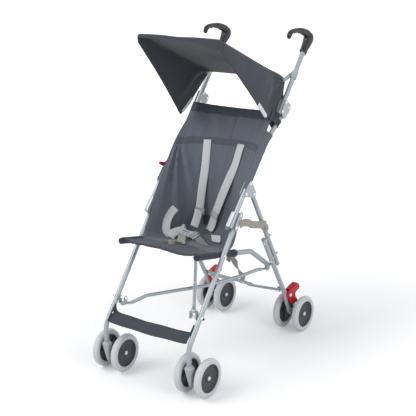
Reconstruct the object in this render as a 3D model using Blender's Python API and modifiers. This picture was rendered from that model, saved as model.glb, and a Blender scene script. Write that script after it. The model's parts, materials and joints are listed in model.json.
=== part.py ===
"""Lightweight umbrella-fold stroller: two tubular sides, an X-brace under a slung fabric seat.

Metres, +Z up, the child looks along -Y, the child's left is +X. The origin is on the floor,
midway between the sides and midway along the stroller.
"""
import math

import bmesh
import bpy
from mathutils import Matrix, Vector

# Fits
CLEARANCE = 0.0003          # gap between faces that touch
RUNNING_GAP = 0.001         # gap between faces that slide or turn past each other
PIN_GAP = 0.0003            # radial gap of a pin in its bore

# Stance
TRACK_HALF = 0.165          # centre plane of each side frame
FRONT_AXLE_Y = -0.316
REAR_AXLE_Y = 0.248
STEM_Y = -0.3555            # vertical swivel axis of the front wheels

# Wheels
WHEEL_RADIUS = 0.0635
WHEEL_SPREAD = 0.038        # wheel centre from the side frame's plane
WHEEL_STEPS = 16
TYRE_HALF_WIDTH = 0.0115
TYRE_SEAT_RADIUS = 0.0460   # bore of the tyre
TREAD_HALF = 0.0040         # flat crown of the tread
RIM_HALF_WIDTH = 0.0085
RIM_WALL = 0.0032
BOSS_RADIUS = 0.0100
BOSS_INNER = 0.0125         # length of the boss towards the leg
BOSS_OUTER = 0.0045
WEB_HALF = 0.0035
RIB_COUNT = 5
RIB_THICKNESS = 0.0030
AXLE_RADIUS = 0.0040
CAP_RADIUS = 0.0068
CAP_LENGTH = 0.0045

# Side frame, as (y, z) in the side's plane
TUBE_RADIUS = 0.0080
MAIN_FOOT = (-0.124, 0.480)
MAIN_BEND = (0.085, 0.705)
MAIN_TOP = (0.226, 0.800)
MAIN_BEND_RADIUS = 0.300
PUSH_FOOT = (0.172, 0.784)
PUSH_TOP = (0.345, 0.9876)
LEG_TOP = (-0.070, 0.513)
LEG_SLOPE = 1.220
LEG_BEND_RADIUS = 0.060
LEG_BOTTOM_Z = 0.1120
REAR_PIVOT = (0.002, 0.557)
REAR_UPPER_END = (0.145, 0.275)
REAR_LOWER_TOP = (0.066, 0.384)
REAR_LOWER_END = (0.1866, 0.1577)
TUBE_OVERHANG = 0.009       # how far a tube runs past its pivot pin

# Plates, pins and rivets
PLATE = 0.0020
PIN_RADIUS = 0.0030
HEAD_RADIUS = 0.0058
HEAD_HEIGHT = 0.0026
EYE_RADIUS = 0.0110

# Seat rail: a side tube inside each front leg, as (y, z)
RAIL_RADIUS = 0.0085
RAIL_X = TRACK_HALF - 0.0175
RAIL_TIP = (-0.270, 0.427)
RAIL_BEND = (0.0145, 0.3575)
RAIL_END = (0.1170, 0.2761)
RAIL_BEND_RADIUS = 0.060
BRACE_EYE_Y = 0.110         # where the X-brace hangs from the rail

# X-brace
BAR_RADIUS = 0.0058
BAR_PAD_RADIUS = 0.0080
BAR_PAD_THICKNESS = 0.0050
BAR_FLAT_END = 0.0165       # how far the bar is pressed flat at its ends
BAR_BOLT_Z = 0.2415         # bolt through the front leg that carries the clevis
CLEVIS_X = TRACK_HALF - 0.0230
CLEVIS_HALF = 0.0125        # half the width between the clevis cheeks' outer faces
CLEVIS_REACH = 0.0180       # bolt to the far face of the clevis's base
CLEVIS_EYE = 0.0080
BAR_MID_GAP = 0.0140        # height between the two bars where they cross
BAR_MID_Z = 0.2445
OPEN_PIVOT_GAP = 0.0020     # between the halves of a pivot that no joint holds together
SADDLE_RADIUS = 0.0068      # of the rail's boss over the bar's rear end
BAR_LOW_Z = 0.2365
BAR_HIGH_Z = 0.2530

# Rear folding brace
BRACE_Z = 0.161
BRACE_PIVOT_X = TRACK_HALF - 0.0200
BRACE_TALL = 0.0240
BRACE_TALL_MIDDLE = 0.0130
BRACE_ROD_RADIUS = 0.0048
BRACE_TONGUE_TALL = 0.0150
BRACE_LAP = 0.0160          # how far each half runs past the middle

# Handles
COLLAR_DEPTH = 0.0410       # how far the collar reaches down the push tube
STEM_RINGS = ((0.0, 0.0000, 0.0108), (0.0045, 0.0000, 0.0122), (0.0130, 0.0006, 0.0112),
              (0.0270, 0.0020, 0.0128), (0.0400, 0.0028, 0.0140))
# up from the collar's foot, rearwards of the tube's axis, radius
GRIP_RINGS = ((0.3522, 0.9930, 0.0152), (0.3545, 1.0010, 0.0155), (0.3494, 1.0088, 0.0138),
              (0.3425, 1.0150, 0.0125), (0.3320, 1.0203, 0.0116), (0.3180, 1.0254, 0.0107),
              (0.3030, 1.0296, 0.0096), (0.2890, 1.0320, 0.0082), (0.2735, 1.0333, 0.0077),
              (0.2575, 1.0336, 0.0074), (0.2430, 1.0304, 0.0080), (0.2355, 1.0242, 0.0082),
              (0.2330, 1.0165, 0.0066))
# y, z and radius of the moulded grip

# Brake
LEVER_PIVOT = (0.207, 0.141)
LEVER_HALF = 0.0110
FOOT_PLATE_HALF = 0.0048
FOOT_KNEE = (0.2045, 0.106)    # the foot strap's bend half way down
FOOT_HEEL = (0.2260, 0.066)    # its bend towards the axle

# Canopy, as (y, z) of the side view
CANOPY_HALF = TRACK_HALF - 0.0130
CANOPY_FRONT = (-0.135, 1.062)
CANOPY_BACK = (0.2305, 0.8855)
CANOPY_TIP = (0.100, 0.757)
CANOPY_VALANCE = 0.022
CANOPY_CLOTH = 0.0024
CANOPY_TURN = 0.1           # share of the cloth's length that is the valance
CANOPY_FOLD = 4.0 / 7.0     # share of its half width that is the top panel
CANOPY_PIVOT = (0.217, 0.883)
CANOPY_PIN = 0.0026
CLIP_AT = 0.140             # distance of the clip up the push tube

# Footrest, as (y, z) of the side view
FOOTREST_REAR = (-0.3130, 0.1960)
FOOTREST_FRONT = (-0.3530, 0.1800)
FOOTREST_BEND = 7.0 / 9.0   # share of its half width where the turned-up end begins
FOOTREST_CORNER = 0.0100    # how far the bend reaches across
FOOTREST_TAB = 0.0300       # height of the turned-up end at the rear
FOOTREST_SAG = 0.0040

# Seat cloth
CLOTH = 0.0024
STRAP = 0.0020
STRAP_WIDTH = 0.025

TUBE_SIDES = 3              # curve bevel resolution of the main tubes: 10 sides
SMALL_SIDES = 2             # the same for slim bars: 8 sides

SIDES = (("left", 1.0), ("right", -1.0))
AXLE_HEIGHT = WHEEL_RADIUS * math.cos(math.pi / WHEEL_STEPS)  # the wheels stand on a flat

PRODUCT = "lightweight_stroller"
COLOURS = {
    # name: (red, green, blue, roughness, metallic)
    "painted_steel": (0.50, 0.56, 0.60, 0.38, 0.25),
    "bright_steel": (0.72, 0.73, 0.74, 0.30, 0.90),
    "tyre_grey": (0.58, 0.60, 0.62, 0.75, 0.0),
    "hub_charcoal": (0.055, 0.062, 0.075, 0.55, 0.0),
    "grip_black": (0.030, 0.030, 0.035, 0.50, 0.0),
    "seat_cloth": (0.070, 0.080, 0.098, 0.90, 0.0),
    "canopy_cloth": (0.060, 0.068, 0.082, 0.90, 0.0),
    "webbing": (0.42, 0.42, 0.40, 0.85, 0.0),
    "brake_red": (0.62, 0.020, 0.045, 0.40, 0.0),
    "buckle_grey": (0.40, 0.44, 0.45, 0.45, 0.0),
    "caster_grey": (0.42, 0.46, 0.49, 0.50, 0.0),
}


# Scene, materials and bodies

def clear_scene():
    for obj in list(bpy.data.objects):
        bpy.data.objects.remove(obj, do_unlink=True)


def new_collection(name):
    collection = bpy.data.collections.new(name)
    bpy.context.scene.collection.children.link(collection)
    return collection


def make_material(name):
    red, green, blue, roughness, metallic = COLOURS[name]
    material = bpy.data.materials.new(name)
    material.use_nodes = True
    shader = material.node_tree.nodes["Principled BSDF"]
    shader.inputs["Base Color"].default_value = (red, green, blue, 1.0)
    shader.inputs["Roughness"].default_value = roughness
    shader.inputs["Metallic"].default_value = metallic
    material.diffuse_color = (red, green, blue, 1.0)
    return material


clear_scene()
PARTS = new_collection(PRODUCT)
TOOLS = new_collection("cutters")
MATERIALS = {name: make_material(name) for name in COLOURS}
BODIES = {}


def make_body(name, at=(0.0, 0.0, 0.0), parent=None):
    """An empty on the joint's axis; everything that moves with the joint is its child."""
    empty = bpy.data.objects.new("body_" + name, None)
    empty.empty_display_size = 0.03
    PARTS.objects.link(empty)
    centre = Vector(at)
    if parent:
        empty.parent = BODIES[parent][0]
        empty.location = centre - BODIES[parent][1]
    else:
        empty.location = centre
    BODIES[name] = (empty, centre)


def finish(obj, name, body, material, smooth_deg=40.0):
    """Names a modelled piece, puts its origin on its body's axis and hangs it there."""
    empty, centre = BODIES[body]
    for collection in list(obj.users_collection):
        collection.objects.unlink(obj)
    PARTS.objects.link(obj)
    obj.name = name
    obj.data.name = name
    obj.hide_render = False
    obj.display_type = "TEXTURED"
    shift = obj.matrix_basis.translation - centre
    rotation = obj.matrix_basis.to_3x3().to_4x4()
    obj.data.transform(Matrix.Translation(shift) @ rotation)
    obj.matrix_basis = Matrix.Identity(4)
    obj.parent = empty
    obj.data.materials.clear()
    obj.data.materials.append(MATERIALS[material])
    obj.data.shade_smooth()
    obj.data.set_sharp_from_angle(angle=math.radians(smooth_deg))
    return obj


# Modelling tools; each returns a closed mesh object in world space

def link_tool(obj):
    TOOLS.objects.link(obj)
    obj.hide_render = True
    obj.display_type = "WIRE"
    return obj


def from_bmesh(label, bm):
    bmesh.ops.recalc_face_normals(bm, faces=bm.faces)
    mesh = bpy.data.meshes.new(label)
    bm.to_mesh(mesh)
    bm.free()
    return link_tool(bpy.data.objects.new(label, mesh))


def baked(obj, weld=0.00001):
    """The evaluated mesh of an object as a new mesh object, with the first one removed."""
    bpy.context.view_layer.update()
    graph = bpy.context.evaluated_depsgraph_get()
    mesh = bpy.data.meshes.new_from_object(obj.evaluated_get(graph), depsgraph=graph)
    mesh.transform(obj.matrix_world)
    bm = bmesh.new()
    bm.from_mesh(mesh)
    bmesh.ops.remove_doubles(bm, verts=bm.verts, dist=weld)
    bmesh.ops.recalc_face_normals(bm, faces=bm.faces)
    bm.to_mesh(mesh)
    bm.free()
    label = obj.name
    bpy.data.objects.remove(obj, do_unlink=True)
    return link_tool(bpy.data.objects.new(label, mesh))


def filleted(points, radius, steps=5):
    """A polyline whose inner corners are arcs of the given radius."""
    points = [Vector(p) for p in points]
    path = [points[0]]
    for before, corner, after in zip(points, points[1:], points[2:]):
        back = (before - corner).normalized()
        ahead = (after - corner).normalized()
        half = back.angle(ahead) / 2.0
        reach = radius / math.tan(half)
        centre = corner + (back + ahead).normalized() * (radius / math.sin(half))
        start = corner + back * reach - centre
        end = corner + ahead * reach - centre
        turn = start.angle(end)
        for step in range(steps + 1):
            share = step / steps
            blend = (start * math.sin((1 - share) * turn) + end * math.sin(share * turn))
            path.append(centre + blend / math.sin(turn))
    path.append(points[-1])
    return path


def tube(label, points, radius, sides=TUBE_SIDES, radii=None):
    """A round bar along a path; radii, if given, scales the radius at each point."""
    curve = bpy.data.curves.new(label, "CURVE")
    curve.dimensions = "3D"
    curve.bevel_depth = radius
    curve.bevel_resolution = sides
    curve.use_fill_caps = True
    spline = curve.splines.new("POLY")
    spline.points.add(len(points) - 1)
    for index, point in enumerate(points):
        spline.points[index].co = (*point, 1.0)
        if radii:
            spline.points[index].radius = radii[index]
    return baked(link_tool(bpy.data.objects.new(label, curve)))


def plate(label, outline, x_low, x_high):
    """A flat piece with an outline in (y, z) and its two faces at x_low and x_high."""
    curve = bpy.data.curves.new(label, "CURVE")
    curve.dimensions = "2D"
    curve.fill_mode = "BOTH"
    curve.extrude = (x_high - x_low) / 2.0
    spline = curve.splines.new("POLY")
    spline.points.add(len(outline) - 1)
    for point, (y, z) in zip(spline.points, outline):
        point.co = (y, z, 0.0, 1.0)
    spline.use_cyclic_u = True
    obj = bpy.data.objects.new(label, curve)
    turn = Matrix(((0.0, 0.0, 1.0), (1.0, 0.0, 0.0), (0.0, 1.0, 0.0))).to_4x4()
    obj.matrix_world = Matrix.Translation(((x_low + x_high) / 2.0, 0.0, 0.0)) @ turn
    return baked(link_tool(obj))


def rod(label, start, end, radius, end_radius=None, sides=12):
    """A cylinder or cone between two points."""
    start = Vector(start)
    end = Vector(end)
    bm = bmesh.new()
    bmesh.ops.create_cone(bm, cap_ends=True, segments=sides, radius1=radius,
                          radius2=radius if end_radius is None else end_radius,
                          depth=(end - start).length)
    turn = (end - start).to_track_quat("Z", "Y").to_matrix().to_4x4()
    bmesh.ops.transform(bm, matrix=Matrix.Translation((start + end) / 2.0) @ turn,
                        verts=bm.verts)
    return from_bmesh(label, bm)


def block(label, centre, size, direction=None):
    """A box; direction, if given, is where its own Y axis points in the side view."""
    bm = bmesh.new()
    bmesh.ops.create_cube(bm, size=1.0)
    turn = Matrix.Identity(4)
    if direction:
        turn = Matrix.Rotation(math.atan2(direction[1], direction[0]), 4, "X")
    scale = Matrix.Diagonal((*size, 1.0))
    bmesh.ops.transform(bm, matrix=Matrix.Translation(centre) @ turn @ scale, verts=bm.verts)
    return from_bmesh(label, bm)


def sheet(label, across, along, place, thickness):
    """A cloth: a grid whose points are placed by a function of (u, v) in -1..1 and 0..1."""
    bm = bmesh.new()
    bmesh.ops.create_grid(bm, x_segments=across, y_segments=along, size=1.0)
    for vert in bm.verts:
        vert.co = place(vert.co.x, (vert.co.y + 1.0) / 2.0)
    mesh = bpy.data.meshes.new(label)
    bm.to_mesh(mesh)
    bm.free()
    obj = link_tool(bpy.data.objects.new(label, mesh))
    shell = obj.modifiers.new("thickness", "SOLIDIFY")
    shell.thickness = thickness
    shell.offset = 0.0
    return baked(obj)


def ribbon(label, points, width, widths, thickness=STRAP):
    """Webbing along a path; widths gives the direction across it at each point."""
    points = [Vector(p) for p in points]
    last = len(points) - 1

    def place(u, v):
        position = v * last
        index = min(int(position + 1e-6), last - 1)
        share = position - index
        middle = points[index].lerp(points[index + 1], share)
        side = Vector(widths[index]).lerp(Vector(widths[index + 1]), share).normalized()
        return middle + side * (u * width / 2.0)

    return sheet(label, 1, last, place, thickness)


def combine(obj, tools, operation):
    for tool in tools:
        modifier = obj.modifiers.new(operation.lower(), "BOOLEAN")
        modifier.operation = operation
        modifier.object = tool
    return obj


def fuse(obj, *tools):
    return combine(obj, tools, "UNION")


def cut(obj, *tools):
    return combine(obj, tools, "DIFFERENCE")


def rivet_head(label, x_face, outward, place, radius=HEAD_RADIUS, height=HEAD_HEIGHT):
    """A low domed head that stands on a face square to X and sinks a little into it."""
    y, z = place
    sunk = 0.0004 * outward
    return rod(label, (x_face - sunk, y, z), (x_face + outward * height, y, z),
               radius, radius * 0.55, sides=8)


def cross_pin(label, x_start, x_end, place, radius=PIN_RADIUS):
    y, z = place
    return rod(label, (x_start, y, z), (x_end, y, z), radius, sides=10)


# Geometry in the side view

def towards(start, end, distance):
    """The point at a distance from start on the line through end."""
    length = math.hypot(end[0] - start[0], end[1] - start[1])
    share = distance / length
    return (start[0] + (end[0] - start[0]) * share, start[1] + (end[1] - start[1]) * share)


def direction(start, end):
    length = math.hypot(end[0] - start[0], end[1] - start[1])
    return ((end[0] - start[0]) / length, (end[1] - start[1]) / length)


def offset(place, way, sideways, ahead=0.0):
    """A point moved along a direction and to its left."""
    return (place[0] + way[0] * ahead - way[1] * sideways,
            place[1] + way[1] * ahead + way[0] * sideways)


def hull(circles, steps=6):
    """The outline round a few circles, each (y, z, radius): the shape of a link plate."""
    cloud = []
    for y, z, radius in circles:
        for step in range(2 * steps):
            angle = math.pi * step / steps
            cloud.append((y + radius * math.cos(angle), z + radius * math.sin(angle)))
    cloud.sort()

    def chain(points):
        path = []
        for point in points:
            while len(path) > 1 and turns_right(path[-2], path[-1], point):
                path.pop()
            path.append(point)
        return path[:-1]

    return chain(cloud) + chain(cloud[::-1])


def turns_right(first, middle, last):
    cross = ((middle[0] - first[0]) * (last[1] - first[1])
             - (middle[1] - first[1]) * (last[0] - first[0]))
    return cross <= 1e-12


def in_plane(x, places):
    return [(x, y, z) for y, z in places]


MAIN_WAY = direction(MAIN_FOOT, MAIN_BEND)
MAIN_TOP_WAY = direction(MAIN_BEND, MAIN_TOP)
PUSH_WAY = direction(PUSH_FOOT, PUSH_TOP)
LEG_CORNER = (STEM_Y, LEG_TOP[1] + LEG_SLOPE * (STEM_Y - LEG_TOP[0]))
LEG_WAY = direction(LEG_TOP, LEG_CORNER)
REAR_UPPER_WAY = direction(REAR_PIVOT, REAR_UPPER_END)
REAR_WAY = direction(REAR_LOWER_TOP, REAR_LOWER_END)
RAIL_WAY = direction(RAIL_TIP, RAIL_BEND)


def leg_at(z):
    return (LEG_TOP[0] + (z - LEG_TOP[1]) / LEG_SLOPE, z)


def rear_leg_at(z):
    share = (z - REAR_LOWER_TOP[1]) / (REAR_LOWER_END[1] - REAR_LOWER_TOP[1])
    return (REAR_LOWER_TOP[0] + share * (REAR_LOWER_END[0] - REAR_LOWER_TOP[0]), z)


def rail_crossing():
    """Where the seat rail passes the front leg, which is where it is pinned to it."""
    rail_slope = RAIL_WAY[1] / RAIL_WAY[0]
    y = ((RAIL_TIP[1] - rail_slope * RAIL_TIP[0]) - (LEG_TOP[1] - LEG_SLOPE * LEG_TOP[0]))
    y /= LEG_SLOPE - rail_slope
    return (y, RAIL_TIP[1] + rail_slope * (y - RAIL_TIP[0]))


RAIL_PIVOT = rail_crossing()
BAR_BOLT = leg_at(BAR_BOLT_Z)
BRACE_ROOT = rear_leg_at(BRACE_Z)
PLATE_FACE = TUBE_RADIUS + CLEARANCE            # inner face of a plate beside a tube
RAIL_UNDERSIDE_Z = (RAIL_END[1] + (BRACE_EYE_Y - RAIL_END[0])
                    * (RAIL_BEND[1] - RAIL_END[1]) / (RAIL_BEND[0] - RAIL_END[0])
                    - RAIL_RADIUS * 1.28)
REAR_PAD_Z = RAIL_UNDERSIDE_Z - 0.0050          # middle of the bar's rear eye


# Wheels

def turned(label, profile, steps):
    """A closed (radius, z) outline turned about Z, listed downwards on its outer side."""
    bm = bmesh.new()
    verts = [bm.verts.new((radius, 0.0, z)) for radius, z in profile]
    for first, second in zip(verts, verts[1:] + verts[:1]):
        bm.edges.new((first, second))
    mesh = bpy.data.meshes.new(label)
    bm.to_mesh(mesh)
    bm.free()
    obj = link_tool(bpy.data.objects.new(label, mesh))
    screw = obj.modifiers.new("turn", "SCREW")
    screw.axis = "Z"
    screw.steps = steps
    screw.render_steps = steps
    screw.use_merge_vertices = True
    screw.merge_threshold = 0.0001
    return obj


def tyre_profile():
    shoulder = WHEEL_RADIUS - 0.0035
    belly = TYRE_SEAT_RADIUS + 0.0070
    upper = [(TYRE_SEAT_RADIUS, RIM_HALF_WIDTH), (belly, TYRE_HALF_WIDTH),
             (shoulder, TYRE_HALF_WIDTH - 0.0017), (WHEEL_RADIUS, TREAD_HALF)]
    return upper + [(radius, -z) for radius, z in reversed(upper)]


def hub_profile():
    rim = TYRE_SEAT_RADIUS - CLEARANCE
    inner = rim - RIM_WALL
    bore = AXLE_RADIUS + PIN_GAP
    return [(rim, RIM_HALF_WIDTH), (rim, -RIM_HALF_WIDTH), (inner, -RIM_HALF_WIDTH),
            (inner, -WEB_HALF), (BOSS_RADIUS + 0.0010, -WEB_HALF), (BOSS_RADIUS, -BOSS_INNER),
            (bore, -BOSS_INNER), (bore, BOSS_OUTER), (BOSS_RADIUS - 0.0010, BOSS_OUTER),
            (BOSS_RADIUS + 0.0005, 0.0005), (inner, WEB_HALF - 0.0005), (inner, RIM_HALF_WIDTH)]


def make_tyre_mesh():
    return baked(turned("tyre_master", tyre_profile(), WHEEL_STEPS))


def make_hub_mesh():
    """A dished disc with a bored boss; ribs stiffen the face that looks at the leg."""
    hub = turned("hub_master", hub_profile(), WHEEL_STEPS)
    start = BOSS_RADIUS
    end = TYRE_SEAT_RADIUS - RIM_WALL + 0.0004
    height = RIM_HALF_WIDTH - 0.0015 - WEB_HALF + 0.0010
    for index in range(RIB_COUNT):
        angle = 2.0 * math.pi * (index + 0.5) / RIB_COUNT
        bm = bmesh.new()
        bmesh.ops.create_cube(bm, size=1.0)
        place = (Matrix.Rotation(angle, 4, "Z")
                 @ Matrix.Translation(((start + end) / 2.0, 0.0,
                                       -WEB_HALF + 0.0010 - height / 2.0))
                 @ Matrix.Diagonal((end - start, RIB_THICKNESS, height, 1.0)))
        bmesh.ops.transform(bm, matrix=place, verts=bm.verts)
        fuse(hub, from_bmesh(f"hub_rib_{index + 1}", bm))
    return baked(hub)


def wheel_turn(outward):
    """Stands a turned piece up as a wheel: its +Z to the outside, a flat of it below."""
    half_step = Matrix.Rotation(math.pi / WHEEL_STEPS, 4, "Z")
    return Matrix.Rotation(outward * math.pi / 2.0, 4, "Y") @ half_step


def make_wheels(end, side, sign, axle_y, tyre, hub, carrier):
    for place, outward in (("outer", sign), ("inner", -sign)):
        name = f"{end}_wheel_{side}_{place}"
        centre = (sign * TRACK_HALF + outward * WHEEL_SPREAD, axle_y, AXLE_HEIGHT)
        make_body(name, centre, carrier)
        for kind, master, material in (("tyre", tyre, "tyre_grey"),
                                       ("hub", hub, "hub_charcoal")):
            copy = link_tool(bpy.data.objects.new("copy", master.data.copy()))
            copy.matrix_basis = Matrix.Translation(centre) @ wheel_turn(outward)
            finish(copy, f"{end}_{kind}_{side}_{place}", name, material)


def axle_with_caps(label, sign, axle_y):
    """A steel rod with a push-on cap outside each wheel."""
    x = sign * TRACK_HALF
    reach = WHEEL_SPREAD + BOSS_OUTER + RUNNING_GAP / 2.0
    axle = rod(label, (x - reach - 0.001, axle_y, AXLE_HEIGHT),
               (x + reach + 0.001, axle_y, AXLE_HEIGHT), AXLE_RADIUS, sides=10)
    for way in (-1.0, 1.0):
        start = (x + way * reach, axle_y, AXLE_HEIGHT)
        end = (x + way * (reach + CAP_LENGTH), axle_y, AXLE_HEIGHT)
        fuse(axle, rod(label + "_cap", start, end, CAP_RADIUS, CAP_RADIUS * 0.6, sides=12))
    return axle


def make_caster(side, sign):
    """The swivelling front fork: a tapering housing, a trailing arm and the fixed axle."""
    x = sign * TRACK_HALF
    name = "caster_" + side
    make_body(name, (x, STEM_Y, LEG_BOTTOM_Z), side + "_side")
    top = LEG_BOTTOM_Z - CLEARANCE
    shoulder = top - 0.0075
    axle = (FRONT_AXLE_Y, AXLE_HEIGHT)
    barrel_half = WHEEL_SPREAD - BOSS_INNER - RUNNING_GAP
    body = rod(name, (x, STEM_Y + 0.004, 0.040), (x, STEM_Y, shoulder), 0.0050, 0.0145)
    collar = rod(name + "_collar", (x, STEM_Y, shoulder - 0.002), (x, STEM_Y, top), 0.0105)
    arm = plate(name + "_arm", hull(((STEM_Y + 0.002, shoulder - 0.012, 0.0090),
                                     (STEM_Y + 0.004, 0.052, 0.0060),
                                     (axle[0], axle[1], 0.0080))), x - 0.0060, x + 0.0060)
    barrel = cross_pin(name + "_barrel", x - barrel_half, x + barrel_half, axle, 0.0088)
    fuse(body, collar, arm, barrel, axle_with_caps(name + "_axle", sign, FRONT_AXLE_Y))
    finish(body, name, name, "caster_grey")


# Side frames

def make_push_tube(side, sign):
    x = sign * TRACK_HALF
    push = tube("push_tube", in_plane(x, (PUSH_FOOT, PUSH_TOP)), TUBE_RADIUS)
    finish(push, "push_tube_" + side, side + "_side", "painted_steel")


def make_handle(side, sign):
    """A moulded hook over the push tube's end, scalloped where the fingers close."""
    x = sign * TRACK_HALF
    collar_foot = towards(PUSH_TOP, PUSH_FOOT, COLLAR_DEPTH)
    places = [offset(collar_foot, PUSH_WAY, -rearwards, up) for up, rearwards, _ in STEM_RINGS]
    places += [(y, z) for y, z, _ in GRIP_RINGS]
    radii = [radius for *_, radius in STEM_RINGS + GRIP_RINGS]
    grip = tube("handle", in_plane(x, places), 1.0, TUBE_SIDES, radii)
    socket_end = towards(PUSH_TOP, PUSH_FOOT, -CLEARANCE)
    socket_start = towards(PUSH_TOP, PUSH_FOOT, COLLAR_DEPTH + 0.010)
    socket = tube("handle_socket", in_plane(x, (socket_start, socket_end)),
                  TUBE_RADIUS + CLEARANCE)
    cut(grip, socket)
    for index, (distance, bulge) in enumerate(((0.010, 0.0100), (0.034, 0.0150))):
        start = (x, *offset(collar_foot, PUSH_WAY, -bulge, distance))
        end = (x, *offset(collar_foot, PUSH_WAY, -bulge - 0.0042, distance))
        fuse(grip, rod(f"handle_screw_{index + 1}", start, end, 0.0040, 0.0030, sides=8))
    finish(grip, "handle_" + side, side + "_side", "grip_black")


def make_main_tube(side, sign):
    x = sign * TRACK_HALF
    path = filleted(in_plane(x, (MAIN_FOOT, MAIN_BEND, MAIN_TOP)), MAIN_BEND_RADIUS, 3)
    main = tube("main_tube", path, TUBE_RADIUS)
    fuse(main, rivet_head("main_rivet", x + sign * (TUBE_RADIUS - 0.0012), sign,
                          towards(MAIN_FOOT, MAIN_BEND, 0.012), 0.0045, 0.0028))
    finish(main, "main_tube_" + side, side + "_side", "painted_steel")


def paired_plates(label, outline, x):
    """Two like plates, one on each side of the tubes."""
    inner = PLATE_FACE
    outer = PLATE_FACE + PLATE
    return (plate(label, outline, x - outer, x - inner),
            plate(label + "_cheek", outline, x + inner, x + outer))


def both_heads(label, x, places):
    """Rivet heads on the outer faces of a pair of plates."""
    face = PLATE_FACE + PLATE
    heads = []
    for place in places:
        for way in (-1.0, 1.0):
            heads.append(rivet_head(label + "_head", x + way * face, way, place))
    return heads


def make_clamp(side, sign):
    """The pressed channel that joins the push tube's foot to the main tube's top."""
    x = sign * TRACK_HALF
    top = towards(MAIN_TOP, MAIN_BEND, 0.012)
    low = towards(MAIN_TOP, MAIN_BEND, 0.050)
    push_low = towards(PUSH_FOOT, PUSH_TOP, 0.006)
    push_high = towards(PUSH_FOOT, PUSH_TOP, 0.040)
    outline = hull(((*top, 0.0100), (*low, 0.0100), (*push_low, 0.0080), (*push_high, 0.0080)))
    clamp, cheek = paired_plates("tube_clamp", outline, x)
    middle = offset(towards(MAIN_TOP, MAIN_BEND, 0.031), MAIN_TOP_WAY,
                    -(PLATE_FACE + PLATE / 2.0))
    web = block("clamp_web", (x, *middle), (2 * PLATE_FACE + PLATE, 0.036, PLATE),
                MAIN_TOP_WAY)
    fuse(clamp, cheek, web, *both_heads("clamp", x, (top, push_low, push_high)))
    finish(clamp, "tube_clamp_" + side, side + "_side", "painted_steel")


def make_knuckle(side, sign):
    """Two plates on the main tube that carry the rear leg's pivot pin."""
    x = sign * TRACK_HALF
    near = ((REAR_PIVOT[0] - MAIN_FOOT[0]) * MAIN_WAY[0]
            + (REAR_PIVOT[1] - MAIN_FOOT[1]) * MAIN_WAY[1])
    upper = towards(MAIN_FOOT, MAIN_BEND, near + 0.016)
    lower = towards(MAIN_FOOT, MAIN_BEND, near - 0.022)
    outline = hull(((*upper, 0.0090), (*lower, 0.0090), (*REAR_PIVOT, EYE_RADIUS)))
    knuckle, cheek = paired_plates("knuckle", outline, x)
    middle = offset(towards(MAIN_FOOT, MAIN_BEND, near - 0.003), MAIN_WAY,
                    -(PLATE_FACE + 0.0030))
    web = block("knuckle_web", (x, *middle), (2 * PLATE_FACE + PLATE, 0.026, 0.0040), MAIN_WAY)
    face = PLATE_FACE + PLATE / 2.0
    pin = cross_pin("knuckle_pin", x - face, x + face, REAR_PIVOT)
    fuse(knuckle, cheek, web, pin, *both_heads("knuckle", x, (upper, lower, REAR_PIVOT)))
    finish(knuckle, "knuckle_" + side, side + "_side", "painted_steel")


def leg_bracket(x, sign):
    """The channel at the front leg's top that the main tube's foot lies in."""
    inner = -sign * PLATE_FACE
    leg_low = towards(LEG_TOP, LEG_CORNER, 0.048)
    leg_high = towards(LEG_TOP, LEG_CORNER, 0.006)
    main_low = towards(MAIN_FOOT, MAIN_BEND, 0.004)
    main_high = towards(MAIN_FOOT, MAIN_BEND, 0.048)
    back = hull(((*leg_low, 0.0105), (*leg_high, 0.0105), (*main_low, 0.0112),
                 (*main_high, 0.0112)))
    cover = hull(((*leg_low, 0.0105), (*leg_high, 0.0105)))
    low, high = sorted((x + inner, x + inner - sign * PLATE))
    channel = [plate("bracket_back", back, low, high)]
    low, high = sorted((x - inner, x - inner + sign * PLATE))
    channel.append(plate("bracket_cover", cover, low, high))
    flange = offset(towards(MAIN_FOOT, MAIN_BEND, 0.026), MAIN_WAY, TUBE_RADIUS + 0.0022)
    channel.append(block("bracket_flange", (x - sign * 0.0030, *flange),
                         (2 * PLATE_FACE - 0.0030, 0.050, PLATE * 0.9), MAIN_WAY))
    for place in (leg_low, leg_high):
        span = PLATE_FACE + PLATE / 2.0
        channel.append(cross_pin("bracket_pin", x - span, x + span, place))
        channel.append(rivet_head("bracket_head", x - inner + sign * PLATE, sign, place))
    return channel


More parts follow.
